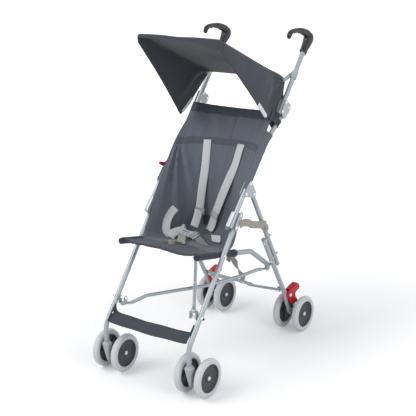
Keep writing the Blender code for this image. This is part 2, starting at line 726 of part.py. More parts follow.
def make_front_leg(side, sign):
    """The lower leg, its top bracket, the rail's pivot pin and the brace's bolt."""
    x = sign * TRACK_HALF
    path = filleted(in_plane(x, (LEG_TOP, LEG_CORNER, (STEM_Y, LEG_BOTTOM_Z))),
                    LEG_BEND_RADIUS, 5)
    leg = tube("front_leg", path, TUBE_RADIUS)
    rail_inner = RAIL_X - RAIL_RADIUS
    pivot_end = sign * (rail_inner - RUNNING_GAP - HEAD_HEIGHT)
    pivot = cross_pin("rail_pivot", x + sign * 0.002, pivot_end, RAIL_PIVOT)
    pivot_head = rod("rail_pivot_head", (sign * (rail_inner - RUNNING_GAP), *RAIL_PIVOT),
                     (pivot_end, *RAIL_PIVOT), HEAD_RADIUS, HEAD_RADIUS * 0.6, sides=8)
    bolt_inner = sign * (CLEVIS_X - CLEVIS_HALF - 0.0050)
    bolt = cross_pin("brace_bolt", x + sign * 0.0155, bolt_inner, BAR_BOLT)
    bolt_head = rod("brace_bolt_head",
                    (sign * (CLEVIS_X - CLEVIS_HALF - RUNNING_GAP), *BAR_BOLT),
                    (bolt_inner, *BAR_BOLT), 0.0055, sides=6)
    nut = rod("brace_nut", (x + sign * (TUBE_RADIUS - 0.001), *BAR_BOLT),
              (x + sign * (TUBE_RADIUS + 0.0040), *BAR_BOLT), 0.0055, sides=6)
    outer_head = rivet_head("rail_rivet", x + sign * (TUBE_RADIUS - 0.001), sign, RAIL_PIVOT,
                            0.0045, 0.0022)
    fuse(leg, *leg_bracket(x, sign), pivot, pivot_head, bolt, bolt_head, nut, outer_head)
    finish(leg, "front_leg_" + side, side + "_side", "painted_steel")


def foot_outline(axle):
    """A bent strap from the rear leg to the axle, with an ear for the brake lever's pin."""
    places = ((*towards(REAR_LOWER_END, REAR_LOWER_TOP, 0.016), 0.0062), (*FOOT_KNEE, 0.0062),
              (*FOOT_HEEL, 0.0070), (*axle, 0.0110))
    ways = [direction(a[:2], b[:2]) for a, b in zip(places, places[1:])]
    front, rear = [], []
    for index, (y, z, half) in enumerate(places[:-1]):
        before, after = ways[max(index - 1, 0)], ways[index]
        way = direction((0.0, 0.0), (before[0] + after[0], before[1] + after[1]))
        rear.append(offset((y, z), way, half))
        front.append(offset((y, z), way, -half))
    turn = math.atan2(ways[-1][1], ways[-1][0])
    heel = arc(places[-1][:2], places[-1][2], turn - math.pi / 2.0, turn + math.pi / 2.0, 6)
    ear = arc(LEVER_PIVOT, 0.0072, math.radians(-50.0), math.radians(80.0), 4)
    return front + heel + [rear[2], rear[1]] + ear + [rear[0]]


def arc(centre, radius, start, end, steps):
    angles = [start + (end - start) * step / steps for step in range(steps + 1)]
    return [(centre[0] + radius * math.cos(a), centre[1] + radius * math.sin(a)) for a in angles]


def make_rear_leg(side, sign):
    """Two tubes bolted side by side, the lower one ending in the flat wheel foot."""
    x = sign * TRACK_HALF
    name = "rear_leg_" + side
    make_body(name, (x, *REAR_PIVOT), side + "_side")
    top = towards(REAR_PIVOT, REAR_UPPER_END, -TUBE_OVERHANG)
    leg = tube("rear_leg", in_plane(x, (top, REAR_UPPER_END)), TUBE_RADIUS)
    lower = tube("rear_lower", in_plane(x, (REAR_LOWER_TOP, REAR_LOWER_END)), TUBE_RADIUS)
    fuse(leg, lower)
    for index, distance in enumerate((0.014, 0.098)):
        front = towards(REAR_LOWER_TOP, REAR_LOWER_END, distance)
        back = offset(front, REAR_WAY, 0.0360)
        start = offset(front, REAR_WAY, -0.0040)
        fuse(leg, rod(f"leg_bolt_{index + 1}", (x, *start), (x, *back), 0.0032, sides=8))
    axle = (REAR_AXLE_Y, AXLE_HEIGHT)
    half = FOOT_PLATE_HALF
    foot = plate("foot_plate", foot_outline(axle), x - half, x + half)
    barrel_half = WHEEL_SPREAD - BOSS_INNER - RUNNING_GAP
    barrel = cross_pin("foot_barrel", x - barrel_half, x + barrel_half, axle, 0.0088)
    pin = cross_pin("lever_pin", x - LEVER_HALF - 0.0022, x + LEVER_HALF + 0.0022,
                    LEVER_PIVOT)
    heads = [rivet_head("lever_head", x + way * (LEVER_HALF + 0.0014), way, LEVER_PIVOT,
                        0.0050, 0.0020) for way in (-1.0, 1.0)]
    fuse(leg, foot, barrel, pin, *heads, *brace_lug(sign))
    bore = cross_pin("axle_bore", x - 0.03, x + 0.03, axle, AXLE_RADIUS + PIN_GAP)
    pivot_bore = cross_pin("pivot_bore", x - 0.012, x + 0.012, REAR_PIVOT,
                           PIN_RADIUS + PIN_GAP)
    cut(leg, bore, pivot_bore)
    finish(leg, name, name, "painted_steel")
    rear_axle = axle_with_caps("rear_axle", sign, REAR_AXLE_Y)
    finish(rear_axle, "rear_axle_" + side, name, "bright_steel")


def brace_axis():
    """The way the rear brace's hinge pins point: square to the rear leg, rearwards."""
    return Vector((0.0, -REAR_WAY[1], REAR_WAY[0]))


def brace_point(x, up=0.0, out=0.0):
    """A point of the rear brace: up runs up the leg, out runs rearwards, square to it."""
    place = offset(BRACE_ROOT, REAR_WAY, out, -up)
    return Vector((x, *place))


def brace_lug(sign):
    """The ear on the rear leg's inner side that holds the folding brace's hinge pin."""
    inner = sign * (BRACE_PIVOT_X - 0.0075)
    outer = sign * TRACK_HALF
    lug = block("brace_lug", brace_point((inner + outer) / 2.0, 0.0020, 0.0068),
                (abs(outer - inner), 0.0120, 0.0024), REAR_WAY)
    pin = rod("brace_pin", brace_point(sign * BRACE_PIVOT_X, 0.0, 0.0062),
              brace_point(sign * BRACE_PIVOT_X, 0.0, -0.0062), 0.0026, sides=8)
    head = rod("brace_pin_head", brace_point(sign * BRACE_PIVOT_X, 0.0, -0.0042),
               brace_point(sign * BRACE_PIVOT_X, 0.0, -0.0062), 0.0050, sides=8)
    return lug, pin, head


def make_brace(side, sign):
    """One half of the folding rear brace: a flat plate on the right, a rod on the left."""
    name = "rear_brace_" + side
    make_body(name, brace_point(sign * BRACE_PIVOT_X), "rear_leg_" + side)
    pivot = sign * BRACE_PIVOT_X
    eye = rod(name, brace_point(pivot, 0.0, -0.0034), brace_point(pivot, 0.0, 0.0042), 0.0072,
              sides=12)
    if side == "right":
        thin = 0.0010
        outline = ((pivot - 0.0015, BRACE_TALL / 2.0), (-0.030, BRACE_TALL_MIDDLE / 2.0 + 0.002),
                   (BRACE_LAP, BRACE_TALL_MIDDLE / 2.0), (BRACE_LAP, -BRACE_TALL_MIDDLE / 2.0),
                   (-0.030, -BRACE_TALL_MIDDLE / 2.0 - 0.002),
                   (pivot - 0.0015, -BRACE_TALL / 2.0))
        rows = [[brace_point(px, up, out) for px, up in outline] for out in (-thin, thin)]
        fuse(eye, prism(name + "_blade", *rows))
        tip = brace_point(0.0, 0.0, thin - 0.0004)
        fuse(eye, rod(name + "_rivet", tip, brace_point(0.0, 0.0, thin + 0.0024),
                      HEAD_RADIUS, HEAD_RADIUS * 0.6, sides=8))
    else:
        level = -0.0068
        start = brace_point(pivot - 0.0062, 0.0, 0.0)
        path = [start, brace_point(pivot - 0.016, 0.0, 0.0), brace_point(0.045, 0.0, level),
                brace_point(0.020, 0.0, level)]
        fuse(eye, tube(name + "_rod", path, BRACE_ROD_RADIUS, SMALL_SIDES))
        lap = 0.0042
        tall = BRACE_TONGUE_TALL / 2.0
        ends = ((0.040, tall), (-BRACE_LAP, tall), (-BRACE_LAP, -tall), (0.040, -tall))
        rows = [[brace_point(px, up, out) for px, up in ends] for out in (-lap, -lap + 0.0024)]
        fuse(eye, prism(name + "_tongue", *rows))
        fuse(eye, rod(name + "_rivet", brace_point(0.0, 0.0, -lap + 0.0004),
                      brace_point(0.0, 0.0, -lap - 0.0024), HEAD_RADIUS, HEAD_RADIUS * 0.6,
                      sides=8))
    bore = rod(name + "_bore", brace_point(pivot, 0.0, 0.012), brace_point(pivot, 0.0, -0.012),
               0.0026 + PIN_GAP, sides=8)
    cut(eye, bore)
    finish(eye, name, name, "painted_steel")


def prism(label, first, second):
    """A closed solid between two like outlines."""
    bm = bmesh.new()
    lower = [bm.verts.new(point) for point in first]
    upper = [bm.verts.new(point) for point in second]
    bm.faces.new(lower)
    bm.faces.new(upper[::-1])
    count = len(lower)
    for index in range(count):
        after = (index + 1) % count
        bm.faces.new((lower[index], upper[index], upper[after], lower[after]))
    return from_bmesh(label, bm)


def make_seat_rail(side, sign):
    """The side tube of the seat, pinned inside the front leg; the X-brace hangs from its end."""
    name = "seat_rail_" + side
    make_body(name, (sign * RAIL_X, *RAIL_PIVOT), side + "_side")
    x = sign * RAIL_X
    path = filleted(in_plane(x, (RAIL_TIP, RAIL_BEND, RAIL_END)), RAIL_BEND_RADIUS, 4)
    rail = tube("seat_rail", path, RAIL_RADIUS)
    cut(rail, cross_pin("rail_bore", x - 0.012, x + 0.012, RAIL_PIVOT, PIN_RADIUS + PIN_GAP))
    saddle = rod("eye_saddle", (x, BRACE_EYE_Y, REAR_PAD_Z + 0.016),
                 (x, BRACE_EYE_Y, REAR_PAD_Z + BAR_PAD_THICKNESS / 2.0 + OPEN_PIVOT_GAP),
                 SADDLE_RADIUS, sides=10)
    fuse(rail, saddle)
    finish(rail, name, name, "painted_steel")


# X-brace

def clevis_side(up):
    """Heights of the clevis's base and of the bar's eye, above or below the bolt."""
    base = BAR_BOLT_Z + up * (CLEVIS_REACH - PLATE / 2.0)
    eye = BAR_BOLT_Z + up * (CLEVIS_REACH + CLEARANCE + BAR_PAD_THICKNESS / 2.0)
    return base, eye


def make_clevis(side, sign, up):
    """A U bracket on the leg's bolt; the bar's eye turns on a pin in its base."""
    name = "front_clevis_" + side
    make_body(name, (sign * CLEVIS_X, *BAR_BOLT), side + "_side")
    x = sign * CLEVIS_X
    base, eye = clevis_side(up)
    outline = hull(((*BAR_BOLT, CLEVIS_EYE),
                    (BAR_BOLT[0], base - up * CLEVIS_EYE * 0.9, CLEVIS_EYE)))
    clevis = plate(name, outline, x - CLEVIS_HALF, x - CLEVIS_HALF + PLATE)
    cheek = plate(name + "_cheek", outline, x + CLEVIS_HALF - PLATE, x + CLEVIS_HALF)
    floor = block(name + "_base", (x, BAR_BOLT[0], base),
                  (2 * CLEVIS_HALF, 2 * CLEVIS_EYE, PLATE))
    tip = eye + up * (BAR_PAD_THICKNESS / 2.0 + CLEARANCE)
    pin = rod(name + "_pin", (x, BAR_BOLT[0], base), (x, BAR_BOLT[0], tip + up * 0.0020),
              PIN_RADIUS, sides=10)
    head = rod(name + "_pin_head", (x, BAR_BOLT[0], tip), (x, BAR_BOLT[0], tip + up * 0.0022),
               HEAD_RADIUS, HEAD_RADIUS * 0.6, sides=8)
    fuse(clevis, cheek, floor, pin, head)
    cut(clevis, cross_pin(name + "_bore", x - 0.02, x + 0.02, BAR_BOLT, PIN_RADIUS + PIN_GAP))
    finish(clevis, name, name, "painted_steel")


def make_bar(letter, front_side, sign, up):
    """A slim bent bar from one front leg to the other side's seat rail."""
    name = "x_bar_" + letter
    eye = clevis_side(up)[1]
    front = Vector((sign * CLEVIS_X, BAR_BOLT[0], eye))
    rear = Vector((-sign * RAIL_X, BRACE_EYE_Y, REAR_PAD_Z))
    make_body(name, front, "front_clevis_" + front_side)
    middle_z = BAR_MID_Z + up * BAR_MID_GAP / 2.0
    dip = BAR_HIGH_Z if up > 0 else BAR_LOW_Z

    def between(share, z):
        flat = front.lerp(rear, share)
        return Vector((flat.x, flat.y, z))

    crossing = front.x / (front.x - rear.x)
    pad = BAR_PAD_RADIUS / (rear - front).length
    corners = [between(pad * 0.6, front.z), between(0.06, front.z), between(0.16, dip),
               between(crossing - 0.06, middle_z), between(crossing + 0.06, middle_z),
               between(0.80, (middle_z + rear.z) / 2.0), between(0.93, rear.z),
               between(1.0 - pad * 0.6, rear.z)]
    bar = tube(name, filleted(corners, 0.050, 2), BAR_RADIUS, SMALL_SIDES)
    for index, end in enumerate((front, rear)):
        half = Vector((0.0, 0.0, BAR_PAD_THICKNESS / 2.0))
        fuse(bar, rod(f"{name}_eye_{index + 1}", end - half, end + half, BAR_PAD_RADIUS,
                      sides=12))
    cut(bar, rod(name + "_bore", front - Vector((0, 0, 0.01)), front + Vector((0, 0, 0.01)),
                 PIN_RADIUS + PIN_GAP, sides=10))
    for index, end in enumerate((front, rear)):
        trim = Vector((0.0, 0.0, 0.0100))
        half = Vector((0.0, 0.0, BAR_PAD_THICKNESS / 2.0))
        for way in (-1.0, 1.0):
            cut(bar, rod(f"{name}_trim_{index + 1}", end + half * way,
                         end + half * way + trim * way, BAR_FLAT_END, sides=12))
    under = BAR_PAD_THICKNESS / 2.0
    fuse(bar, rod(name + "_bolt_head", rear - Vector((0, 0, under - 0.0010)),
                  rear - Vector((0, 0, under + 0.0026)), HEAD_RADIUS + 0.0010, HEAD_RADIUS,
                  sides=8))
    # The bars cross without touching: the collar hangs from one, the rivet's head from the other.
    centre = Vector((0.0, between(crossing, 0.0).y, middle_z))
    if up > 0:
        fuse(bar, rod(name + "_collar", centre - Vector((0, 0, BAR_RADIUS - 0.0010)),
                      centre - Vector((0, 0, BAR_MID_GAP - BAR_RADIUS - OPEN_PIVOT_GAP)),
                      0.0072, sides=10))
    else:
        fuse(bar, rod(name + "_rivet_head", centre - Vector((0, 0, BAR_RADIUS - 0.0010)),
                      centre - Vector((0, 0, BAR_RADIUS + 0.0026)), HEAD_RADIUS,
                      HEAD_RADIUS * 0.6, sides=8))
    finish(bar, name, name, "painted_steel")


# Brake levers

def make_brake(side, sign):
    """A foot lever astride the wheel foot: a hooked pedal above, a blunt tooth below."""
    name = "brake_lever_" + side
    make_body(name, (sign * TRACK_HALF, *LEVER_PIVOT), "rear_leg_" + side)
    x = sign * TRACK_HALF
    pivot_y, pivot_z = LEVER_PIVOT
    shape = ((-0.014, 0.003), (-0.008, 0.011), (0.008, 0.017), (0.030, 0.023), (0.050, 0.026),
             (0.060, 0.022), (0.066, 0.013), (0.065, 0.003), (0.056, -0.001), (0.044, -0.003),
             (0.039, -0.011), (0.043, -0.022), (0.054, -0.036), (0.041, -0.043),
             (0.024, -0.043), (0.006, -0.0275), (-0.009, -0.008))
    outline = [(pivot_y + dy, pivot_z + dz) for dy, dz in shape]
    lever = plate(name, outline, x - LEVER_HALF, x + LEVER_HALF)
    edge = lever.modifiers.new("soft_edges", "BEVEL")
    edge.width = 0.0022
    edge.segments = 1
    edge.limit_method = "ANGLE"
    edge.angle_limit = math.radians(50.0)
    lever = baked(lever)
    slot_half = FOOT_PLATE_HALF + RUNNING_GAP
    reach = hull(((pivot_y - 0.020, pivot_z + 0.009, 0.012),
                  (pivot_y - 0.010, pivot_z + 0.016, 0.011),
                  (pivot_y + 0.009, pivot_z, 0.012), (pivot_y + 0.004, pivot_z - 0.050, 0.020),
                  (pivot_y + 0.043, pivot_z - 0.051, 0.022)), 4)
    slot = plate(name + "_slot", reach, x - slot_half, x + slot_half)
    bore = cross_pin(name + "_bore", x - 0.02, x + 0.02, LEVER_PIVOT, PIN_RADIUS + PIN_GAP)
    cut(lever, slot, bore)
    finish(lever, name, name, "brake_red", 30.0)


# Storage latch

def make_latch():
    """The hook on the right main tube that holds the folded sides together."""
    x = -(TRACK_HALF + PLATE_FACE + PLATE + HEAD_HEIGHT + RUNNING_GAP)
    place = towards(MAIN_FOOT, MAIN_BEND, 0.176)
    make_body("storage_latch", (x, *place), "right_side")
    half = 0.0020
    tab = offset(place, MAIN_WAY, 0.0200, -0.006)
    hook = offset(place, MAIN_WAY, -0.0120, 0.026)
    latch = plate("storage_latch", hull(((*place, 0.0072), (*tab, 0.0052))), x - half, x + half)
    arm = plate("latch_arm", hull(((*place, 0.0060), (*hook, 0.0045))), x - half, x + half)
    lip = offset(hook, MAIN_WAY, -0.0080, -0.002)
    nose = plate("latch_nose", hull(((*hook, 0.0044), (*lip, 0.0030))), x - half, x + half)
    thumb = block("latch_thumb", (x - 0.002, *tab), (0.0095, 0.0085, 0.0040), MAIN_WAY)
    fuse(latch, arm, nose, thumb)
    cut(latch, cross_pin("latch_bore", x - 0.01, x + 0.01, place, PIN_RADIUS + PIN_GAP))
    finish(latch, "storage_latch", "storage_latch", "brake_red")
    stud_end = x - half - RUNNING_GAP
    stud = cross_pin("latch_stud", -(TRACK_HALF + 0.004), stud_end - 0.0020, place)
    head = rod("latch_stud_head", (stud_end, *place), (stud_end - 0.0020, *place),
               HEAD_RADIUS, HEAD_RADIUS * 0.6, sides=8)
    fuse(bpy.data.objects["main_tube_right"], stud, head)


# Canopy

def clip_place():
    return towards(PUSH_FOOT, PUSH_TOP, CLIP_AT)


def make_canopy_clip(side, sign):
    """The bracket that grips the push tube and reaches forward to the canopy's pivot."""
    x = sign * TRACK_HALF
    grip = clip_place()
    sleeve = tube("clip_sleeve", in_plane(x, (towards(grip, PUSH_TOP, -0.013),
                                              towards(grip, PUSH_TOP, 0.013))),
                  TUBE_RADIUS + 0.0032)
    inner = sign * (CANOPY_HALF + CANOPY_CLOTH / 2.0 + RUNNING_GAP)
    reach = max(abs(inner) + 0.0040, TRACK_HALF - TUBE_RADIUS)
    low, high = sorted((inner, sign * reach))
    arm = plate("clip_arm", hull(((*offset(grip, PUSH_WAY, 0.0040), 0.0075),
                                  (*CANOPY_PIVOT, 0.0070))), low, high)
    head = sign * (CANOPY_HALF - CANOPY_CLOTH / 2.0 - RUNNING_GAP)
    pin = cross_pin("clip_pin", inner + sign * 0.0020, head - sign * 0.0010, CANOPY_PIVOT,
                    CANOPY_PIN)
    cap = rod("clip_cap", (head, *CANOPY_PIVOT), (head - sign * 0.0020, *CANOPY_PIVOT),
              0.0052, 0.0040, sides=8)
    fuse(sleeve, arm, pin, cap)
    cut(sleeve, tube("clip_bore", in_plane(x, (towards(grip, PUSH_TOP, -0.030),
                                               towards(grip, PUSH_TOP, 0.030))),
                     TUBE_RADIUS + CLEARANCE))
    finish(sleeve, "canopy_clip_" + side, side + "_side", "buckle_grey")


def canopy_place(u, v):
    """Top panel between the side panels; the sides hang as triangles towards their tips."""
    share = max(v - CANOPY_TURN, 0.0) / (1.0 - CANOPY_TURN)
    turned_down = max(1.0 - v / CANOPY_TURN, 0.0)
    top = (CANOPY_FRONT[0] + (CANOPY_BACK[0] - CANOPY_FRONT[0]) * share,
           CANOPY_FRONT[1] + (CANOPY_BACK[1] - CANOPY_FRONT[1]) * share
           - CANOPY_VALANCE * turned_down)
    inward = 0.014 * math.sin(math.pi * share)
    low_front = (CANOPY_FRONT[0] + 0.002, CANOPY_FRONT[1] - CANOPY_VALANCE - 0.006)
    low = (low_front[0] + (CANOPY_TIP[0] - low_front[0]) * share + inward,
           low_front[1] + (CANOPY_TIP[1] - low_front[1]) * share + inward * 0.5)
    side = math.copysign(1.0, u)
    reach = abs(u)
    if reach <= CANOPY_FOLD:
        spread = reach / CANOPY_FOLD
        sag = 0.006 * (1.0 - spread * spread) * math.sin(math.pi * share)
        return Vector((side * spread * CANOPY_HALF, top[0], top[1] - sag))
    drop = (reach - CANOPY_FOLD) / (1.0 - CANOPY_FOLD)
    bulge = 0.003 * math.sin(math.pi * drop) * share
    return Vector((side * (CANOPY_HALF + bulge), top[0] + (low[0] - top[0]) * drop,
                   top[1] + (low[1] - top[1]) * drop))


def make_canopy():
    make_body("canopy", (0.0, *CANOPY_PIVOT), "left_side")
    canopy = sheet("canopy", 14, 10, canopy_place, CANOPY_CLOTH)
    cut(canopy, *[cross_pin("eyelet_" + side, sign * (CANOPY_HALF - 0.006),
                            sign * (CANOPY_HALF + 0.006), CANOPY_PIVOT, CANOPY_PIN + PIN_GAP)
                  for side, sign in SIDES])
    finish(canopy, "canopy", "canopy", "canopy_cloth", 50.0)


# Seat cloth

def smooth_path(keys, share):
    """A point on a smooth curve through evenly numbered keys (Catmull-Rom)."""
    position = share * (len(keys) - 1)
    index = min(int(position), len(keys) - 2)
    t = position - index
    a = Vector(keys[max(index - 1, 0)])
    b = Vector(keys[index])
    c = Vector(keys[index + 1])
    d = Vector(keys[min(index + 2, len(keys) - 1)])
    return 0.5 * ((2 * b) + (c - a) * t + (2 * a - 5 * b + 4 * c - d) * t * t
                  + (3 * b - a - 3 * c + d) * t ** 3)


def rail_seat(y):
    """Height of the cloth's middle where it lies over the rail; it leaves it at a slant."""
    axis = RAIL_TIP[1] + (y - RAIL_TIP[0]) * RAIL_WAY[1] / RAIL_WAY[0]
    return axis + (RAIL_RADIUS + CLOTH / 2.0) * 1.08 + CLEARANCE


SEAT_EDGE = (
    # y, z, half the cloth's width there
    (0.1450, 0.7950, TRACK_HALF - 0.0050), (0.1060, 0.7460, TRACK_HALF - 0.0050),
    (0.0500, 0.6900, TRACK_HALF - 0.0050), (-0.0060, 0.6330, TRACK_HALF - 0.0080),
    (-0.0380, 0.5920, TRACK_HALF - 0.0180), (-0.0570, 0.5400, TRACK_HALF - 0.0200),
    (-0.0720, 0.4830, TRACK_HALF - 0.0210), (-0.0850, 0.4300, TRACK_HALF - 0.0210),
    (-0.1000, rail_seat(-0.1000) + 0.0045, RAIL_X),
    *((y, rail_seat(y), RAIL_X) for y in (-0.150, -0.205, -0.262)))
SEAT_MIDDLE = (
    (0.1550, 0.7880, 0.0), (0.1310, 0.7420, 0.0), (0.1020, 0.6860, 0.0), (0.0760, 0.6240, 0.0),
    (0.0590, 0.5620, 0.0), (0.0470, 0.5020, 0.0), (0.0400, 0.4440, 0.0), (0.0230, 0.3950, 0.0),
    (-0.0420, 0.3790, 0.0), (-0.1200, 0.3880, 0.0), (-0.1950, 0.4020, 0.0),
    (-0.2560, 0.4130, 0.0))


def seat_place(u, v):
    """The slung seat: v runs from the top hem down the back and out along the base."""
    edge = smooth_path(SEAT_EDGE, v)
    middle = smooth_path(SEAT_MIDDLE, v)
    place = edge.lerp(middle, 1.0 - abs(u) ** 2.6)
    depth = math.sin(math.pi * min(max((v - 0.20) / 0.55, 0.0), 1.0))
    folds = 0.0035 * depth * math.sin(9.0 * u) * (1.0 - u * u)
    return Vector((u * edge.z, place.x - folds, place.y + folds * 0.4))


def make_seat():
    seat = sheet("seat", 14, 22, seat_place, CLOTH)
    finish(seat, "seat", "left_side", "seat_cloth", 60.0)


# Straps and buckle

def seat_front(u, v, lift):
    """A point a little in front of, or above, the seat cloth."""
    step = 0.01
    here = seat_place(u, v)
    along = seat_place(u, v + step) - here
    across = seat_place(u + step, v) - here
    return here + across.cross(along).normalized() * -lift


def make_harness():
    wide = (1.0, 0.0, 0.0)
    lift = (CLOTH + STRAP) / 2.0 + 0.0028
    for side, sign in SIDES:
        points = [seat_front(sign * 0.29, 0.24 + 0.05 * step, lift + 0.0022 * step)
                  for step in range(6)]
        points.append(Vector((sign * 0.030, -0.004, 0.446)))
        points.append(Vector((sign * 0.0165, -0.0262, 0.4197)))
        strap = ribbon("shoulder_strap_" + side, points, STRAP_WIDTH, [wide] * len(points))
        finish(strap, "shoulder_strap_" + side, "left_side", "webbing")
    make_buckle()
    waist = [seat_front(-0.90, 0.63, lift - 0.0009), Vector((-0.1050, -0.0720, 0.4320)),
             Vector((-0.0800, -0.0700, 0.4220)), Vector((-0.0550, -0.0620, 0.4150)),
             Vector((-0.0290, -0.0540, 0.4130))]
    upright = [(0.10, 0.35, 1.0), (0.10, 0.45, 1.0), (0.0, 0.50, 1.0), (0.0, 0.52, 1.0),
               (0.0, 0.55, 1.0)]
    strap = ribbon("waist_strap", waist, STRAP_WIDTH, upright)
    finish(strap, "waist_strap", "left_side", "webbing")
    crotch = [seat_front(0.0, 0.855, lift), Vector((0.0, -0.1260, 0.4020)),
              Vector((0.0, -0.1000, 0.4045)), Vector((0.0, -0.0712, 0.4000))]
    strap = ribbon("crotch_strap", crotch, STRAP_WIDTH, [wide] * len(crotch))
    finish(strap, "crotch_strap", "left_side", "webbing")


def make_buckle():
    """The harness lock: a shallow moulded body with a waisted outline."""
    outline = ((0.0190, 0.0240), (0.0280, 0.0120), (0.0220, -0.0060), (0.0160, -0.0240))
    shape = [*outline, *[(-x, y) for x, y in reversed(outline)]]
    tilt = Matrix.Rotation(math.radians(28.0), 4, "X")
    place = Matrix.Translation((0.0, -0.0480, 0.4080)) @ tilt
    rows = [[place @ Vector((x, y, z)) for x, y in shape] for z in (-0.0055, 0.0055)]
    body = prism("harness_buckle", *rows)
    edge = body.modifiers.new("soft_edges", "BEVEL")
    edge.width = 0.0018
    edge.segments = 1
    finish(baked(body), "harness_buckle", "left_side", "buckle_grey", 30.0)


def make_side_strap(side, sign):
    """Webbing that stops the legs from spreading: bracket to rear leg, wrapped round it."""
    x = sign * TRACK_HALF
    leg = towards(REAR_PIVOT, REAR_UPPER_END, 0.136)
    out = TUBE_RADIUS + STRAP / 2.0 + CLEARANCE
    start = (-0.0560, 0.4820)
    skip = sign * (PLATE_FACE + PLATE + STRAP / 2.0 + CLEARANCE)
    points = [(x + skip, start[0] - 0.012, start[1] - 0.002), (x + skip, *start),
              (x + skip, start[0] + 0.040, start[1] - 0.020),
              (x + sign * out, leg[0] - 0.014, leg[1] + 0.006),
              (x + sign * out, leg[0] + 0.004, leg[1] - 0.002)]
    turn = direction(REAR_PIVOT, REAR_UPPER_END)
    upright = [(0.0, 0.30, 1.0)] * 3 + [(0.0, -turn[0], -turn[1])] * 2
    strap = ribbon("side_strap_" + side, points, STRAP_WIDTH * 0.9, upright)
    finish(strap, "side_strap_" + side, side + "_side", "webbing")


def make_pull_strap():
    """Twisted webbing from the seat's underside to the middle of the rear brace."""
    top = seat_front(0.0, 0.682, -(CLOTH / 2.0 + 0.0008))
    bottom = brace_point(0.0, BRACE_TONGUE_TALL / 2.0 + 0.0008, 0.0)
    count = 9
    points = []
    widths = []
    for index in range(count):
        share = index / (count - 1)
        sag = 0.010 * math.sin(math.pi * share)
        point = top.lerp(bottom, share)
        points.append(Vector((point.x, point.y + sag, point.z)))
        angle = math.pi * 1.5 * share
        widths.append((math.cos(angle), math.sin(angle) * 0.8, math.sin(angle) * 0.4))
    strap = ribbon("pull_strap", points, STRAP_WIDTH * 0.72, widths)
    finish(strap, "pull_strap", "rear_brace_right", "webbing")


def make_footrest():
    """A shelf of coated cloth between the front legs, its ends turned up and riveted on."""
    tab_half = TRACK_HALF - TUBE_RADIUS - CLOTH / 2.0 - CLEARANCE

    def place(u, v):
        reach = abs(u)
        y = FOOTREST_REAR[0] + (FOOTREST_FRONT[0] - FOOTREST_REAR[0]) * v
        z = FOOTREST_REAR[1] + (FOOTREST_FRONT[1] - FOOTREST_REAR[1]) * v
        turned = max(reach - FOOTREST_BEND, 0.0) / (1.0 - FOOTREST_BEND)
        flat = min(reach / FOOTREST_BEND, 1.0)
        x = (tab_half - FOOTREST_CORNER) * flat + FOOTREST_CORNER * min(turned * 3.0, 1.0) ** 0.6
        rise = FOOTREST_TAB * (1.0 - 0.80 * v) * turned
        droop = FOOTREST_SAG * (1.0 - flat * flat)
        return Vector((math.copysign(x, u), y, z - droop + rise))

    strip = sheet("footrest", 18, 4, place, CLOTH)
    finish(strip, "footrest", "left_side", "seat_cloth", 60.0)


# The whole stroller

def build():
    make_body("left_side")
    make_body("right_side")
    tyre = make_tyre_mesh()
    hub = make_hub_mesh()
    for side, sign in SIDES:
        make_main_tube(side, sign)
        make_push_tube(side, sign)
        make_handle(side, sign)
        make_clamp(side, sign)
        make_knuckle(side, sign)
        make_front_leg(side, sign)
        make_caster(side, sign)
        make_rear_leg(side, sign)
        make_seat_rail(side, sign)
        make_brace(side, sign)
        make_brake(side, sign)
        make_canopy_clip(side, sign)
        make_side_strap(side, sign)
        make_wheels("front", side, sign, FRONT_AXLE_Y, tyre, hub, "caster_" + side)
        make_wheels("rear", side, sign, REAR_AXLE_Y, tyre, hub, "rear_leg_" + side)
    bpy.data.objects.remove(tyre, do_unlink=True)
    bpy.data.objects.remove(hub, do_unlink=True)
    for letter, side, sign, up in (("a", "right", -1.0, -1.0), ("b", "left", 1.0, 1.0)):
        make_clevis(side, sign, up)
        make_bar(letter, side, sign, up)
    make_latch()
    make_canopy()
    make_seat()
    make_harness()
    make_footrest()
    make_pull_strap()
    print(len([obj for obj in PARTS.objects if obj.type == "MESH"]), "pieces")


build()
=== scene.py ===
# %% [markdown]
# # A folding stroller, piece by piece
#
# This lesson dresses a finished model of a lightweight stroller. Its two tubular sides, its wheels
# and its joints already exist as plain solids. Here each of them gets the shape and the finish
# that the eye expects: rounded rubber, pressed brackets, woven cloth, webbing and stitches.
#
# Everything is in metres. The floor is at Z = 0, the child faces -Y, and the child's left is +X.

# %% Load the solids
import json
import math

import bmesh
import bpy
import numpy as np
from mathutils import Matrix, Vector


